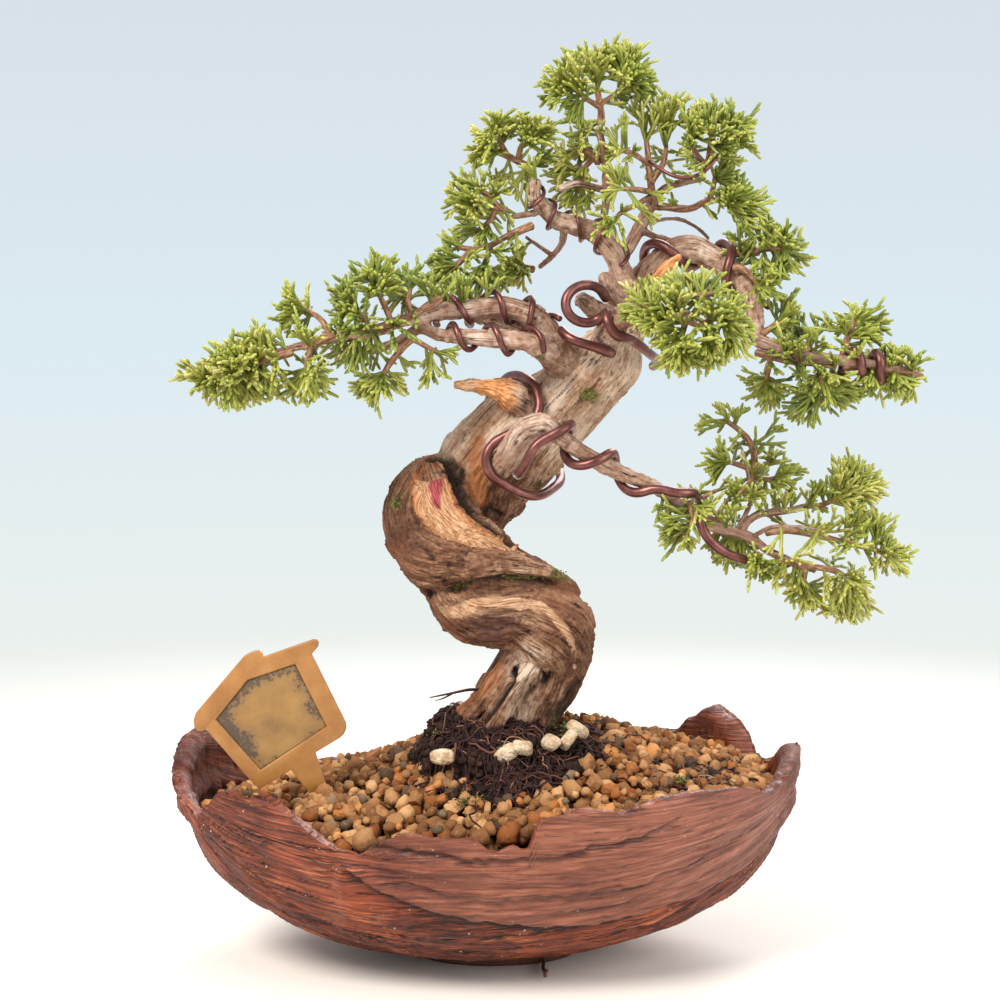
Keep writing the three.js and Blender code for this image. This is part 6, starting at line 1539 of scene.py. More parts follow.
# Leafy sprays, each as its bare stems and then the tips that its shoots reach, as [x, y, z].
SPRAYS = {
    "apex": ([
        [[27.5, 1, 214.5], [27.5, 1, 217.5], [27, 1, 220.5], [26.5, 1, 223.5]],
        [[27, 1, 219], [23.5, 0, 221], [20.5, 0, 223.5]],
        [[27, 1, 219.5], [31, 1, 222], [34, 1, 225]],
    ], [
        [13.5, 0, 225.5], [12.5, -3, 222.5], [14.5, 3, 229.5], [16.5, -6, 230], [19, 5, 233],
        [22.5, 0, 233.5], [20.5, -10, 229], [27.5, 2, 235], [28.5, -10, 230], [33, 0, 235], [35.5, 6, 234],
        [38, 0, 230.5], [38.5, -5, 228], [39.5, 4, 227], [41, -2, 223.5], [39, 5, 223], [25, 12, 230],
        [30, 12, 230.5], [19.5, -3, 215.5], [22.5, 0, 212.5], [34, 3, 219.5], [19, 9, 227.5], [34, -9, 228],
        [24, -12, 223.5],
    ]),
    "topright": ([
        [[53, -4, 202.5], [54.5, -3, 205.5], [55, -2, 209], [55.5, -2, 212]],
        [[54, -3, 204], [51, -3, 207.5], [50.5, -3, 210.5]],
        [[55, -2, 207.5], [58.5, 0, 210.5], [60, 0, 213]],
    ], [
        [56.5, 0, 221], [53.5, 4, 220], [50.5, -6, 217], [49, 3, 216.5], [59.5, 4, 219.5], [62, -2, 215.5],
        [64, 2, 217], [66, 0, 214.5], [62.5, -4, 208.5], [66.5, 0, 208], [48, -3, 212], [55, -12, 213.5],
        [58.5, 9, 215], [51, -12, 209.5], [61, 6, 209], [47, 0, 220], [47.5, 8, 208], [49.5, -8, 203],
        [60.5, -10, 211],
    ]),
    "centre": ([
        [[41, 2, 194.5], [40.5, 2, 198], [40, 1, 202], [39.5, 0, 206], [39, 0, 210]],
        [[40.5, 1, 200], [43, 1, 204], [44, 1, 208], [44, 1, 212]],
        [[39.5, 0, 204.5], [35.5, -2, 207], [32, -3, 208]],
        [[40.5, 2, 196.5], [37, -2, 194.5], [33, -4, 192.5], [30, -5, 190]],
        [[40.5, 1, 197.5], [35.5, -4, 198], [31.5, -6, 198]],
    ], [
        [35, 0, 221], [36.5, 3, 220.5], [33.5, -4, 217], [40.5, 1, 223], [46.5, 0, 222.5], [46, 4, 217],
        [42, 2, 217], [42, -4, 213], [28.5, -3, 214], [27, -4, 210], [28.5, -5, 204.5], [32, -7, 201],
        [33, -9, 203.5], [47, -7, 201], [28.5, -7, 195], [23.5, -5, 192], [28, -8, 197.5], [29, -8, 185.5],
        [41, -4, 189], [38, 10, 204], [45.5, 10, 204.5], [35, 9, 209], [32.5, -10, 194.5], [37, -6, 189.5],
    ]),
    "inner": ([
        [[27, 3, 205], [26, 4, 206.5], [24, 4, 208], [21, 3, 208]],
        [[26, 4, 206.5], [23.5, 4, 204], [20.5, 3, 202.5]],
        [[24, 4, 203.5], [22.5, 5, 200], [21.5, 5, 197.5]],
    ], [
        [20.5, 5, 211.5], [23, -1, 210], [15.5, 1, 208.5], [13, 4, 205.5], [16, -1, 204], [17, 0, 201],
        [25, 3, 200], [21.5, 4, 192], [25, 8, 193.5], [18.5, 2, 193.5], [22.5, 12, 208.5], [20.5, 12, 206],
    ]),
    "upperleft": ([
        [[9, 1, 204], [6, 2, 205.5], [3, 3, 207], [0, 3, 208]],
        [[6.5, 2, 205.5], [7, 2, 208.5], [8.5, 2, 211]],
        [[3.5, 3, 207], [2, 2, 210], [1, 1, 213]],
    ], [
        [1, 0, 217.5], [-2.5, 4, 215.5], [-6, -2, 213], [-5, -4, 209], [-5.5, 4, 206.5], [-4, -3, 204],
        [4, 5, 216.5], [7.5, 0, 216], [10.5, 3, 216.5], [12, -2, 216.5], [14.5, 4, 214], [16, -2, 212],
        [17.5, 0, 208], [2, -9, 211.5], [5, 11, 213], [-1, -11, 207.5], [2, 0, 200.5], [3.5, 4, 197],
        [10, -10, 210], [-2.5, 12, 209.5],
    ]),
    "leftmid": ([
        [[3.5, 2, 193], [1, 1, 193], [-1.5, 0, 194], [-5, -1, 194.5]],
        [[2, 1, 193], [-1, 1, 196.5], [-4, 0, 198]],
        [[1, 1, 193], [-1, 0, 190], [-3.5, 0, 188]],
    ], [
        [-8.5, 3, 202.5], [-11.5, 0, 198], [-11.5, -3, 195], [-9.5, 3, 192.5], [-9.5, -5, 189],
        [-5.5, -5, 200], [2, 4, 203], [3, -6, 200], [-4.5, 0, 185.5], [-0.5, -4, 185], [5.5, 3, 188.5],
        [-4.5, -11, 196], [-3.5, 12, 192.5], [-5, 10, 199.5], [-6.5, -10, 191.5],
    ]),
    "leftlow": ([
        [[10, 1, 189], [6.5, 0, 187.5], [3, 0, 186], [-0.5, -1, 184], [-5, -2, 183], [-8.5, -2, 183.5]],
        [[-0.5, -1, 184], [-1.5, -2, 181], [-2.5, -2, 178]],
        [[-5.5, -2, 183], [-8.5, -3, 179.5], [-11, -3, 177]],
    ], [
        [-13.5, 2, 186.5], [-14, -4, 183.5], [-17, 0, 179.5], [-16.5, 5, 177], [-15, -5, 174.5],
        [-11.5, 0, 172.5], [-8, -9, 173.5], [-4.5, 2, 170.5], [-0.5, -6, 174], [3, -7, 179.5],
        [3.5, 3, 173.5], [7, -4, 181], [-10.5, 10, 180], [-3.5, 10, 176], [6.5, -3, 183], [-5.5, -13, 179],
        [-11.5, 9, 182.5],
    ]),
    "drop": ([
        [[10.5, 9, 178], [8, 9, 178.5], [5, 8, 179]],
    ], [
        [9, 7, 176], [6, 7, 173.5], [3.5, 8, 174], [2, 9, 180], [6, 8, 181.5], [4, 14, 176],
    ]),
    "right": ([
        [[43.5, 4, 194], [47, 5, 193.5], [51, 4, 193.5], [54, 1, 195], [57, 0, 195.5], [60, -1, 194.5]],
        [[55, 1, 195], [56, 1, 198], [56.5, 1, 201]],
    ], [
        [62, 2, 204.5], [62, -3, 202.5], [64, 0, 198.5], [67.5, 3, 196], [70, 0, 194.5], [67, -4, 193],
        [64, -3, 190.5], [66, 0, 187], [56, 0, 191], [55.5, 0, 204], [61, 9, 195.5], [58.5, -9, 196.5],
        [47.5, 5, 195.5], [45, 7, 196],
    ]),
    "rightmid": ([
        [[59.5, 1, 181.5], [62.5, -1, 182], [66, -2, 182.5], [69.5, -3, 183], [73.5, -3, 183.5]],
    ], [
        [68, 0, 189], [71, 3, 190], [73.5, -3, 188.5], [77.5, 0, 185.5], [80.5, 4, 183], [81, 0, 180],
        [77, -4, 176.5], [74, 4, 178], [70, -4, 176.5], [65, 0, 184.5], [73, -11, 184], [75.5, 7, 184],
        [60, 2, 185.5],
    ]),
    "under": ([
        [[61, -4, 178.5], [63, -6, 178], [65.5, -6, 176], [67.5, -6, 174]],
    ], [
        [68, -7, 176.5], [72, -3, 174], [73.5, -5, 171], [68, -9, 170.5], [68, -1, 178.5],
    ]),
    "front": ([
        [[35, -25, 168], [37.5, -28, 168], [40.5, -31, 167.5], [44, -34, 166.5], [47.5, -36, 165],
         [51, -37, 163.5]],
        [[42.5, -32, 167.5], [45.5, -31, 170.5], [49, -31, 171.5], [53, -32, 172]],
        [[46.5, -35, 165.5], [45.5, -36, 162.5], [44.5, -36, 159.5]],
        [[49.5, -36, 164], [53.5, -36, 166], [57, -35, 165]],
    ], [
        [35.5, -22, 174.5], [37.5, -26, 176], [33, -31, 171.5], [42.5, -24, 177], [40.5, -38, 174],
        [48.5, -28, 177], [51.5, -26, 178], [53, -30, 175.5], [47, -22, 175], [43.5, -41, 173],
        [59, -34, 172], [57, -30, 173.5], [58, -38, 169], [60.5, -34, 167], [63, -30, 165], [60, -41, 164],
        [62, -36, 159], [57.5, -38, 158], [54, -36, 154.5], [54, -46, 161.5], [50.5, -38, 155],
        [46.5, -36, 153.5], [41.5, -32, 154], [41, -29, 156.5], [43.5, -43, 158], [47.5, -46, 160],
        [39, -35, 160], [35.5, -33, 163], [31.5, -25, 167.5], [34, -29, 164.5], [38, -41, 166],
        [44, -45, 167.5], [52, -43, 168.5], [51, -24, 167.5],
    ]),
    "fartop": ([
        [[68, -9, 162], [70, -8, 163], [72, -6, 164.5]],
    ], [
        [78, -2, 169], [75, -6, 165.5], [73, -12, 163], [73, -9, 160],
    ]),
    "far": ([
        [[66.5, -9, 157], [70, -9, 156], [74, -10, 155], [78.5, -10, 154.5], [83, -10, 154],
         [86, -10, 153.5]],
        [[70, -9, 156], [69.5, -9, 152.5], [69, -9, 149.5]],
        [[78.5, -10, 154.5], [79.5, -9, 157.5], [80.5, -8, 159.5]],
        [[82, -10, 154], [83, -9, 150.5], [84.5, -8, 148]],
    ], [
        [62.5, -11, 150], [65.5, -6, 147.5], [67.5, -5, 146], [69, -9, 145], [72.5, -5, 142],
        [77.5, 0, 139], [71, -17, 151.5], [76.5, -2, 162], [80, -5, 163.5], [85, 0, 164], [73.5, -13, 162],
        [76, -18, 159.5], [74, 4, 159], [88.5, -8, 146], [91.5, -6, 144], [88, -2, 143.5], [84, -3, 142.5],
        [79.5, -8, 146], [77.5, 0, 146], [79, -19, 149.5], [74.5, -3, 147.5], [93, -9, 147.5],
        [82.5, -18, 160], [81, 5, 155.5], [88.5, 4, 151.5], [84.5, -19, 150.5],
    ]),
    "farup": ([
        [[88.5, -8, 156.5], [89.5, -6, 159.5], [91, -4, 162.5], [92, -3, 165.5]],
    ], [
        [89, -5, 166.5], [92.5, -3, 169], [95.5, 2, 168.5], [97, 0, 165], [98, -5, 161.5], [93, -13, 163.5],
        [93.5, -2, 158.5], [87.5, 2, 162.5],
    ]),
    "farend": ([
        [[88.5, -10, 153.5], [93, -9, 153.5], [97, -9, 153], [101.5, -9, 152.5], [106, -9, 152],
         [108.5, -8, 151]],
    ], [
        [95, -7, 147], [91.5, -12, 149], [94.5, -4, 157], [97, -11, 158], [101, -8, 158.5], [104, -7, 159],
        [106, -12, 156], [108, -3, 153.5], [99, -9, 147], [102.5, -8, 145], [105, -12, 148], [105, -3, 144],
    ]),
    "lowleft": ([
        [[49.5, -14, 119.5], [50.5, -15, 116], [49.5, -14, 113], [48, -12, 111.5]],
        [[52, -10, 119], [54.5, -6, 120.5], [57, -4, 121.5]],
    ], [
        [41.5, -13, 112.5], [43, -15, 118.5], [42, -18, 116], [43, -10, 109.5], [44.5, -6, 107.5],
        [48, -18, 109], [51, -13, 107.5], [50.5, -5, 122], [61, -3, 123.5], [53, -22, 117],
    ]),
    "lowmid": ([
        [[53, -5, 115.5], [56.5, -4, 114], [60.5, -4, 112], [63, -5, 110]],
        [[57, -4, 113.5], [58.5, -5, 117], [60, -5, 119.5]],
    ], [
        [55.5, -2, 105.5], [57, -4, 103], [60.5, -5, 103], [64.5, -6, 104], [63, -10, 120.5],
        [54.5, 0, 118], [63, 6, 110.5], [63.5, 1, 115],
    ]),
    "lowtop": ([
        [[66.5, -4, 124], [67, -2, 126.5], [67, -2, 130.5], [65.5, -2, 134.5], [63, -2, 137],
         [59.5, -1, 139.5]],
        [[67, -2, 126.5], [63.5, -3, 128], [59.5, -3, 129]],
        [[66.5, -3, 125.5], [70, -3, 128], [73.5, -3, 129]],
        [[66.5, -4, 124.5], [64, -6, 122], [62, -8, 120.5]],
        [[66.5, -4, 125], [70.5, -5, 124.5], [74.5, -4, 125.5]],
    ], [
        [52.5, -2, 138.5], [58, 0, 143.5], [60, -6, 134.5], [63, 3, 131], [68.5, 1, 133.5], [71.5, 1, 133],
        [75, -4, 129.5], [68.5, -12, 129], [58, 0, 131.5], [54, -5, 126.5], [56.5, 3, 127.5],
        [60, -8, 124.5], [61, -11, 118.5], [68.5, -10, 121.5], [73, -9, 122.5], [78, -3, 127.5],
        [77.5, -8, 124], [76, -3, 120.5], [71.5, 7, 129.5], [67.5, 4, 119],
    ]),
    "lowright": ([
        [[64, -6, 113], [67.5, -6, 115.5], [72, -5, 116], [76, -4, 116.5], [80, -4, 117.5], [84.5, -4, 118],
         [88.5, -4, 120]],
    ], [
        [91, 0, 130], [92.5, -6, 130], [96.5, 3, 129], [98, -2, 127.5], [98.5, -8, 124.5],
        [100.5, 0, 121.5], [96.5, -3, 117], [91, -8, 117], [89.5, 4, 126], [81, -2, 122], [88.5, -8, 127.5],
        [73, 2, 119], [68.5, -12, 119.5],
    ]),
    "lowbranch": ([
        [[69.5, -10, 111.5], [73.5, -10, 112], [78, -9, 111.5], [82.5, -9, 110.5], [87, -9, 109.5],
         [92.5, -8, 108], [97, -8, 107], [101, -8, 105]],
    ], [
        [98, -5, 115.5], [100.5, -1, 113.5], [92.5, -13, 114], [88.5, -16, 115.5], [104, -7, 108.5],
        [101.5, 2, 108.5], [107, -6, 105.5], [105.5, -9, 101], [100, -8, 100], [96, -18, 104],
        [82.5, -19, 114.5], [84, 2, 113], [88.5, -21, 109], [91, 4, 110], [73, -2, 114.5],
    ]),
    "lowend": ([
        [[72, -11, 105], [75.5, -11, 104], [79.5, -11, 103], [83.5, -11, 102.5], [87.5, -11, 101.5],
         [90.5, -11, 99.5]],
        [[78, -11, 103], [79, -10, 100], [79, -9, 97]],
    ], [
        [96.5, -9, 96], [97, -7, 92], [94.5, -4, 90.5], [91, -8, 88.5], [87, -13, 89.5], [85.5, -6, 90],
        [81.5, -11, 92], [79.5, -5, 92.5], [75, -8, 94], [74.5, -13, 97.5], [73, -10, 100.5],
        [89, -22, 100], [95.5, 0, 100], [84, -20, 97.5], [87.5, 0, 103], [84, 2, 95], [76, -18, 106.5],
    ]),
    "lowtuft": ([
        [[66.5, -13, 106.5], [67, -13, 105], [67, -13, 103.5]],
    ], [
        [63.5, -14, 101.5], [66.5, -11, 99.5], [70, -14, 102], [64, -18, 106], [67.5, -20, 105],
    ]),
    "leftinner": ([
        [[-13, -17, 170.5], [-16.5, -17, 168.5], [-20, -17, 166.5], [-23.5, -17, 165], [-27, -18, 164],
         [-30.5, -18, 163.5], [-34, -18, 163]],
        [[-20, -17, 166.5], [-21, -15, 169.5], [-20.5, -13, 173]],
        [[-25, -18, 164.5], [-26.5, -18, 168.5], [-28, -18, 171.5], [-29, -17, 175]],
        [[-30.5, -18, 163.5], [-33, -18, 167], [-35.5, -17, 169.5]],
    ], [
        [-30, -12, 181.5], [-28, -17, 181], [-25.5, -19, 180.5], [-23.5, -23, 177.5], [-21, -11, 178],
        [-18, -7, 176], [-15, -12, 173], [-14.5, -12, 169.5], [-35.5, -14, 178], [-32.5, -18, 177.5],
        [-38.5, -14, 174], [-37.5, -23, 171.5], [-40.5, -12, 170], [-31, -27, 172.5], [-27.5, -28, 173.5],
        [-34.5, -28, 167], [-41, -18, 159], [-36.5, -15, 155.5], [-35, -18, 152.5], [-31, -14, 152.5],
        [-24.5, -28, 160], [-31, -28, 159.5], [-41, -11, 166.5], [-18, -25, 165], [-31, -6, 170],
        [-24.5, -5, 170], [-32, -6, 165.5],
    ]),
    "leftdrop": ([
        [[-19.5, -16, 161], [-22, -15, 159], [-24, -14, 156.5], [-26, -14, 154], [-27.5, -14, 151.5]],
        [[-19.5, -16, 160.5], [-17, -16, 159], [-14, -16, 157.5]],
    ], [
        [-34, -15, 150], [-34, -14, 147], [-31.5, -11, 145], [-29, -15, 145], [-26.5, -18, 146],
        [-25, -10, 150], [-14.5, -14, 149.5], [-9, -16, 156], [-16, -12, 153.5],
    ]),
    "leftmiddle": ([
        [[-36.5, -18, 162.5], [-39.5, -20, 161.5], [-43, -21, 160], [-46.5, -22, 158.5]],
        [[-40, -20, 161.5], [-42, -19, 165], [-44.5, -18, 167], [-47, -18, 168]],
        [[-44.5, -22, 159.5], [-45.5, -22, 156], [-46, -21, 153.5]],
    ], [
        [-50.5, -17, 173], [-52, -22, 170], [-54, -16, 168], [-53, -20, 164], [-47, -15, 171.5],
        [-52, -18, 163], [-52.5, -21, 146], [-46.5, -24, 148.5], [-46, -20, 144.5], [-43.5, -17, 146.5],
        [-42.5, -15, 149.5], [-43.5, -30, 151.5], [-44.5, -30, 163], [-38.5, -10, 158], [-45, -10, 157.5],
    ]),
    "leftouter": ([
        [[-49.5, -22, 157.5], [-52.5, -23, 156.5], [-56, -23, 155.5], [-59.5, -23, 154], [-63, -23, 152.5],
         [-66.5, -22, 151.5], [-70, -22, 151]],
    ], [
        [-56.5, -18, 161.5], [-58, -20, 164], [-60, -26, 162.5], [-62.5, -17, 159.5], [-61, -29, 158],
        [-64.5, -20, 160.5], [-67, -25, 158.5], [-69.5, -19, 154], [-61, -33, 156.5], [-64, -33, 152],
        [-53.5, -34, 155.5], [-78, -21, 154.5], [-74, -18, 154.5], [-76.5, -24, 151.5], [-74, -21, 148.5],
        [-71, -22, 147], [-70, -17, 145], [-65.5, -26, 144], [-61.5, -22, 143.5], [-60, -15, 145.5],
        [-57, -23, 146], [-54.5, -18, 146], [-50, -26, 149], [-57, -32, 150], [-61, -10, 155.5],
        [-66, -11, 153.5], [-55, -10, 157.5], [-69, -31, 150],
    ]),
}
# Where a spray differs from the others: lush is how close its side shoots stand (1), fill how many
# shoots are added between its tips (1.5 for each tip), bridge how many towards the next sprays (1),
# and tint how yellow it is (0.5).
SPRAY_LOOKS = {
    "apex": {"fill": 2.6, "bridge": 1.4}, "topright": {"fill": 2.2}, "front": {"fill": 3.4, "tint": 0.6},
    "farend": {"fill": 2.0}, "far": {"fill": 2.0, "tint": 0.4}, "leftinner": {"fill": 2.2, "tint": 0.32},
    "leftouter": {"fill": 2.2, "tint": 0.72}, "leftlow": {"tint": 0.4},
    "centre": {"lush": 0.75, "tint": 0.62}, "lowend": {"fill": 2.2, "tint": 0.78},
    "lowright": {"fill": 2.2, "tint": 0.75}, "lowbranch": {"tint": 0.7}, "inner": {"tint": 0.7},
    "upperleft": {"tint": 0.62},
}
SPRAY_DEPTH = 3.2  # how far tips spread towards the front and the back


# ------------------------------------------------------------------ foliage
# A shoot's rings: where each lies along it, and how thick it is there as a share of the radius.
SHOOT_SIDES = 5
SHOOT_STOPS = np.array([0.0, 0.3, 0.6, 0.86, 0.97])
SHOOT_GIRTHS = np.array([0.9, 1.0, 1.02, 0.95, 0.62])


class Leafing:
    """Collects bent shoots, each with a start, a bend point, an end, a thickness and a tint."""

    def __init__(self, rng):
        self.rng = rng
        self.rows = []

    def shoot(self, start, bend, end, radius, age, tint):
        self.rows.append(np.r_[start, bend, end, radius, age, tint])

    def build(self, name):
        rows = np.array(self.rows)
        p0, p1, p2 = rows[:, 0:3], rows[:, 3:6], rows[:, 6:9]
        radius, age, tint = rows[:, 9], rows[:, 10], rows[:, 11]
        n, rings = len(rows), len(SHOOT_STOPS)
        t = SHOOT_STOPS[None, :, None]
        centre = (1 - t) ** 2 * p0[:, None] + 2 * t * (1 - t) * p1[:, None] + t ** 2 * p2[:, None]
        tangent = 2 * (1 - t) * (p1 - p0)[:, None] + 2 * t * (p2 - p1)[:, None]
        tangent /= np.linalg.norm(tangent, axis=2)[..., None] + 1e-9
        ref = np.where(np.abs(tangent[:, :1, 2:3]) > 0.85, [[[1.0, 0, 0]]], [[[0, 0, 1.0]]])
        side = np.cross(tangent, np.repeat(ref, rings, 1))
        side /= np.linalg.norm(side, axis=2)[..., None] + 1e-9
        up = np.cross(tangent, side)
        r = radius[:, None] * SHOOT_GIRTHS[None]
        a = np.linspace(0, 2 * np.pi, SHOOT_SIDES, endpoint=False)
        ring = (centre[:, :, None] + r[..., None, None] * (side[:, :, None] * np.cos(a)[:, None]
                                                           + up[:, :, None] * np.sin(a)[:, None]))
        verts = np.concatenate([ring.reshape(n, rings * SHOOT_SIDES, 3), p2[:, None]], 1)
        length = np.linalg.norm(p2 - p0, axis=1)
        along = np.repeat(SHOOT_STOPS[None, :, None], SHOOT_SIDES, 2).reshape(1, -1)
        along = np.concatenate([np.repeat(along, n, 0), np.ones((n, 1))], 1)
        young = np.clip(age[:, None] + 0.75 * along ** 1.3 - 0.25, 0, 1)
        around = np.concatenate([np.tile(a, rings), [0]])
        mm = along * length[:, None]
        scale = np.stack([np.cos(around)[None] + 0 * mm, np.sin(around)[None] + 0 * mm,
                          mm * 1.15 + 13.7 * tint[:, None]], 2)
        faces = []
        for i in range(rings - 1):
            for k in range(SHOOT_SIDES):
                m = (k + 1) % SHOOT_SIDES
                faces.append((i * SHOOT_SIDES + k, i * SHOOT_SIDES + m, (i + 1) * SHOOT_SIDES + m,
                              (i + 1) * SHOOT_SIDES + k))
        last = (rings - 1) * SHOOT_SIDES
        quads = np.array(faces)
        ends = np.array([(last + k, last + (k + 1) % SHOOT_SIDES, rings * SHOOT_SIDES)
                         for k in range(SHOOT_SIDES)])
        per = rings * SHOOT_SIDES + 1
        base = (np.arange(n) * per)[:, None, None]
        shape = Shape()
        shape.verts = [verts.reshape(-1, 3)]
        shape.count = n * per
        shape.faces = [tuple(f) for f in (quads[None] + base).reshape(-1, 4).tolist()]
        shape.faces += [tuple(f) for f in (ends[None] + base).reshape(-1, 3).tolist()]
        shape.notes = {"young": [young.reshape(-1)], "tint": [np.repeat(tint, per)],
                       "scale": [scale.reshape(-1, 3)]}
        return shape.build(name, LEAF)


def unit(v):
    return v / (np.linalg.norm(v) + 1e-9)


def fan(leafing, root, tip, lush, tint):
    """A flat spray: a leading shoot with long side shoots on both sides, some of them forked."""
    rng = leafing.rng
    axis = tip - root
    length = np.linalg.norm(axis)
    if length < 0.5:
        return
    axis = axis / length
    flat = unit(np.cross(axis, 0.55 * rng.normal(size=3) + (0, 0.75, 0.25)))
    sag = unit(np.cross(flat, axis))
    bend = root + axis * length * 0.5 + sag * length * rng.uniform(-0.07, 0.09)
    bend = bend + flat * length * rng.normal() * 0.04
    leafing.shoot(root, bend, tip, rng.uniform(0.43, 0.51), rng.uniform(0.1, 0.35), tint)
    gap = rng.uniform(1.7, 2.5) / lush
    side = 1 if rng.random() < 0.5 else -1
    place = rng.uniform(0.12, 0.3) * length
    while place < length - 1.2:
        t = place / length
        at = (1 - t) ** 2 * root + 2 * t * (1 - t) * bend + t * t * tip
        side = -side
        out = unit(axis + flat * side * rng.uniform(0.45, 0.85) + sag * rng.normal() * 0.22)
        reach = np.clip(0.72 * (length - place) + 1.5, 2.0, 7.5) * rng.uniform(0.7, 1.15)
        end = at + out * reach + axis * 0.13 * reach
        knee = at + out * reach * 0.5 + flat * side * 0.05 * reach
        own = np.clip(tint + rng.normal() * 0.12, 0, 1)
        leafing.shoot(at, knee, end, rng.uniform(0.39, 0.47), rng.uniform(0.15, 0.45), own)
        if reach > 3.4:
            for fork in range(2 if reach > 4.6 else 1):
                s = rng.uniform(0.3, 0.45) + 0.3 * fork
                begin = (1 - s) ** 2 * at + 2 * s * (1 - s) * knee + s * s * end
                turn = side if fork else -side
                away = unit(out + flat * turn * rng.uniform(0.55, 0.85) + sag * rng.normal() * 0.2)
                small = rng.uniform(0.36, 0.6) * reach
                leafing.shoot(begin, begin + away * small * 0.5, begin + away * small + out * 0.1 * small,
                              rng.uniform(0.36, 0.43), rng.uniform(0.25, 0.6), own)
        place += gap * rng.uniform(0.75, 1.25)


def nearest_root(rng, lines, tip, wanted, pull):
    """The place on these lines from which a spray to this tip leaves most naturally."""
    best, found = 1e9, None
    for line, along in lines:
        d = np.linalg.norm(line[:, :3] - tip, axis=1)
        score = d + pull * np.abs(d - wanted) + 0.05 * pull * along + rng.uniform(0, 4.5, len(d))
        i = score.argmin()
        if score[i] < best:
            best, found = score[i], line[i, :3]
    return found


def make_foliage():
    """Bare stems of all sprays in one piece, and the shoots of each spray in a piece of its own."""
    stems_shape = Shape()
    stems, tips = {}, {}
    for number, (name, (lines, ends)) in enumerate(SPRAYS.items()):
        stems[name] = []
        for k, points in enumerate(lines):
            girth = 1.05 if k == 0 else 0.8
            rows = [[*p, girth * (1 - 0.45 * i / len(points))] for i, p in enumerate(points)]
            tube(stems_shape, rows, sides=8, step=1.0, wobble=0.22, seed=number * 7 + k)
            stems[name].append(curve_through(rows, 0.5))
        tips[name] = np.array(ends, float)
    every_tip = np.vstack(list(tips.values()))
    limbs = [curve_through(points, 0.5) for points in BRANCHES.values() if points[-1][3] < 2.5]
    for number, name in enumerate(SPRAYS):
        rng = np.random.default_rng(100 + number)
        leafing = Leafing(rng)
        own = tips[name]
        look = SPRAY_LOOKS.get(name, {})
        lush, shade = look.get("lush", 1.0), look.get("tint", 0.5)
        for tip in own:
            tip = tip + (0, np.clip(rng.normal(), -1.8, 1.8) * SPRAY_DEPTH, 0)
            root = nearest_root(rng, stems[name], tip, rng.uniform(6.5, 12), 0.7)
            fan(leafing, root, tip, lush, np.clip(shade + rng.normal() * 0.16, 0, 1))
        # Shoots between the traced tips, so that a spray is as close as the real one.
        for _ in range(int(len(own) * look.get("fill", 1.5))):
            i, j = rng.integers(len(own), size=2)
            share = rng.uniform(0.1, 0.9)
            goal = own[i] * share + own[j] * (1 - share) + rng.normal(size=3) * (0.8, SPRAY_DEPTH, 0.6)
            root = nearest_root(rng, stems[name], goal, rng.uniform(5, 10), 0.6)
            if np.linalg.norm(goal - root) > 13 or np.linalg.norm(own[i] - own[j]) > 19:
                continue
            if np.linalg.norm(goal - root) < 3.5:
                goal = root + unit(goal - root + 0.8 * (own[i] - root)) * rng.uniform(3.5, 7.0)
            fan(leafing, root, goal, lush * 0.9, np.clip(shade - 0.15 + rng.normal() * 0.16, 0, 1))
        # Shoots that close the gaps towards the next sprays.
        for _ in range(int(len(own) * look.get("bridge", 1.0))):
            tip = own[rng.integers(len(own))]
            near = every_tip[np.linalg.norm(every_tip - tip, axis=1) < 17]
            goal = tip * 0.55 + near[rng.integers(len(near))] * 0.45
            goal = goal + rng.normal(size=3) * (0.8, SPRAY_DEPTH, 0.8)
            root = nearest_root(rng, stems[name] + limbs, goal, rng.uniform(5, 11), 0.6)
            if not 3.5 < np.linalg.norm(goal - root) < 12.5:
                continue
            fan(leafing, root, goal, lush * 0.9, np.clip(shade - 0.1 + rng.normal() * 0.16, 0, 1))
        belongs(leafing.build(f"shoots_{name}"), "foliage", f"foliage_{name}")
    belongs(stems_shape.build("young_twigs", TWIG), "bark")


# ------------------------------------------------------------------ assembly
BARK = bark_finish()
WIRE = wire_finish()
CLAY = clay_finish()
SOIL = grain_finish()
PEAT = peat_finish()
ROOTS = root_finish()
CHIPS = pumice_finish()
LEAF = leaf_finish()
TWIG = twig_finish()
MOSSY = moss_finish()
TAG = label_finish()


TRUNK_VOXEL, TWIG_VOXEL = 0.57, 0.34
big = ["leftUpper", "leftUnder", "leftLower", "lowerRight", "front", "jin", "apexStem", "ringStub",
       "cutStub", "brokenJin", "rightUpper"]
main_limbs = [*TRUNK, *STRAPS, *[BRANCHES[name] for name in big]]
belongs(grow_wood("trunk_and_limbs", main_limbs, TRUNK_VOXEL, True), "bark", "tree_wood")
small_limbs = [[[x, y, z, r * (0.74 if r < 2 else 0.85)] for x, y, z, r in points]
               for name, points in BRANCHES.items() if name not in big]
belongs(grow_wood("small_limbs", small_limbs, TWIG_VOXEL, False), "bark", "tree_wood")

for name, (radius, path) in WIRE_PATHS.items():
    wire_piece(name, radius, path)
for name, (radius, branch, lead, begin, end, turns, start, tail) in COILS.items():
    path = coil_path(radius, branch, lead, begin, end, turns, start, tail)
    wire_piece(name, radius, path, silver=(0,) if name == "wire_low" else ())

belongs(make_pot(), "clay", "pot")
belongs(make_foot(), "clay", "pot")
belongs(make_grains(), "soil", "soil")
belongs(make_bed(), "peat", "soil")
belongs(make_root_mass(), "peat", "root_ball")
belongs(make_crumbs(), "peat", "root_ball")
belongs(make_roots(), "peat", "root_ball")
make_pumice()
belongs(make_label(), "label", "plant_label")
belongs(make_moss(), "foliage")
make_foliage()


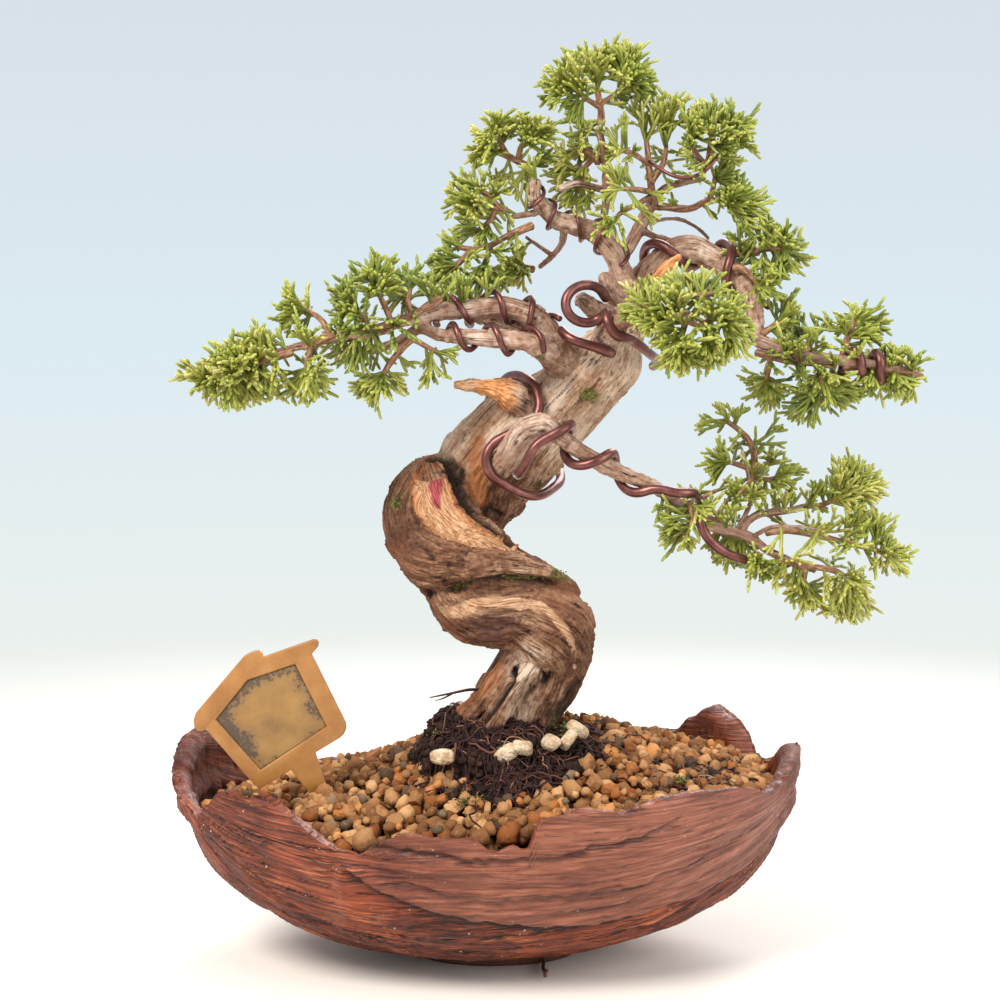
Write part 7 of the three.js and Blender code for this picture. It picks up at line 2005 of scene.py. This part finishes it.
# ------------------------------------------------------------------ studio
def paint_world():
    """A plain backdrop, from warm white below to pale blue above."""
    world = bpy.data.worlds.new("studio_backdrop")
    bpy.context.scene.world = world
    world.use_nodes = True
    tree = world.node_tree
    tree.nodes.clear()
    place = tree.nodes.new("ShaderNodeTexCoord")
    split = tree.nodes.new("ShaderNodeSeparateXYZ")
    span = tree.nodes.new("ShaderNodeMapRange")
    span.inputs["From Min"].default_value = -0.34
    span.inputs["From Max"].default_value = 0.16
    ramp = tree.nodes.new("ShaderNodeValToRGB")
    stops = [(0.0, (0.93, 0.88, 0.83)), (0.2, (0.9, 0.885, 0.85)), (0.35, (0.84, 0.88, 0.855)),
             (0.62, (0.72, 0.83, 0.89)), (0.93, (0.69, 0.75, 0.81))]
    while len(ramp.color_ramp.elements) < len(stops):
        ramp.color_ramp.elements.new(0.5)
    for element, (at, colour) in zip(ramp.color_ramp.elements, stops):
        element.position = at
        element.color = (*colour, 1)
    back = tree.nodes.new("ShaderNodeBackground")
    back.inputs["Strength"].default_value = 1.0
    out = tree.nodes.new("ShaderNodeOutputWorld")
    tree.links.new(place.outputs["Generated"], split.inputs[0])
    tree.links.new(split.outputs["Z"], span.inputs["Value"])
    tree.links.new(span.outputs[0], ramp.inputs["Fac"])
    tree.links.new(ramp.outputs[0], back.inputs["Color"])
    tree.links.new(back.outputs[0], out.inputs[0])


def soft_light(name, place, aim, size, power, colour):
    """A round area light that faces a point."""
    bpy.ops.object.light_add(type="AREA", location=place)
    light = bpy.context.object
    light.name = name
    light.data.shape = "DISK"
    light.data.size = size
    light.data.energy = power
    light.data.color = colour
    away = np.array(place) - np.array(aim)
    flat = math.hypot(away[0], away[1])
    light.rotation_euler = (math.atan2(flat, away[2]), 0, math.atan2(away[0], -away[1]))


def lay_floor():
    """A pale floor that fades out towards its edge."""
    bpy.ops.mesh.primitive_circle_add(vertices=128, radius=0.9, fill_type="NGON", location=(0, 0, 0))
    floor = bpy.context.object
    floor.name = "studio_floor"
    f = Finish("pale_floor")
    x, y, _ = f.parts(f.place())
    reach = (x * x + y * y) ** 0.5
    f.set(Base_Color=(0.86, 0.79, 0.71), Roughness=0.75, Specular_IOR_Level=0.2)
    clear = f.tree.nodes.new("ShaderNodeBsdfTransparent")
    both = f.tree.nodes.new("ShaderNodeMixShader")
    f.put(both.inputs[0], reach.step(0.16, 0.55))
    f.tree.links.new(f.shader.outputs[0], both.inputs[1])
    f.tree.links.new(clear.outputs[0], both.inputs[2])
    f.tree.links.new(both.outputs[0], f.output.inputs[0])
    floor.data.materials.append(f.mat)


bpy.context.scene.view_settings.view_transform = "Standard"
paint_world()
lay_floor()
soft_light("key_light", (-0.45, -0.55, 0.75), (0.0, 0.0, 0.13), 0.45, 11.0, (1.0, 0.97, 0.93))
soft_light("fill_light", (0.6, -0.4, 0.35), (0.0, 0.0, 0.12), 0.6, 3.5, (0.95, 0.98, 1.0))
soft_light("rim_light", (0.25, 0.6, 0.6), (0.0, 0.0, 0.15), 0.5, 5.0, (1.0, 1.0, 1.0))
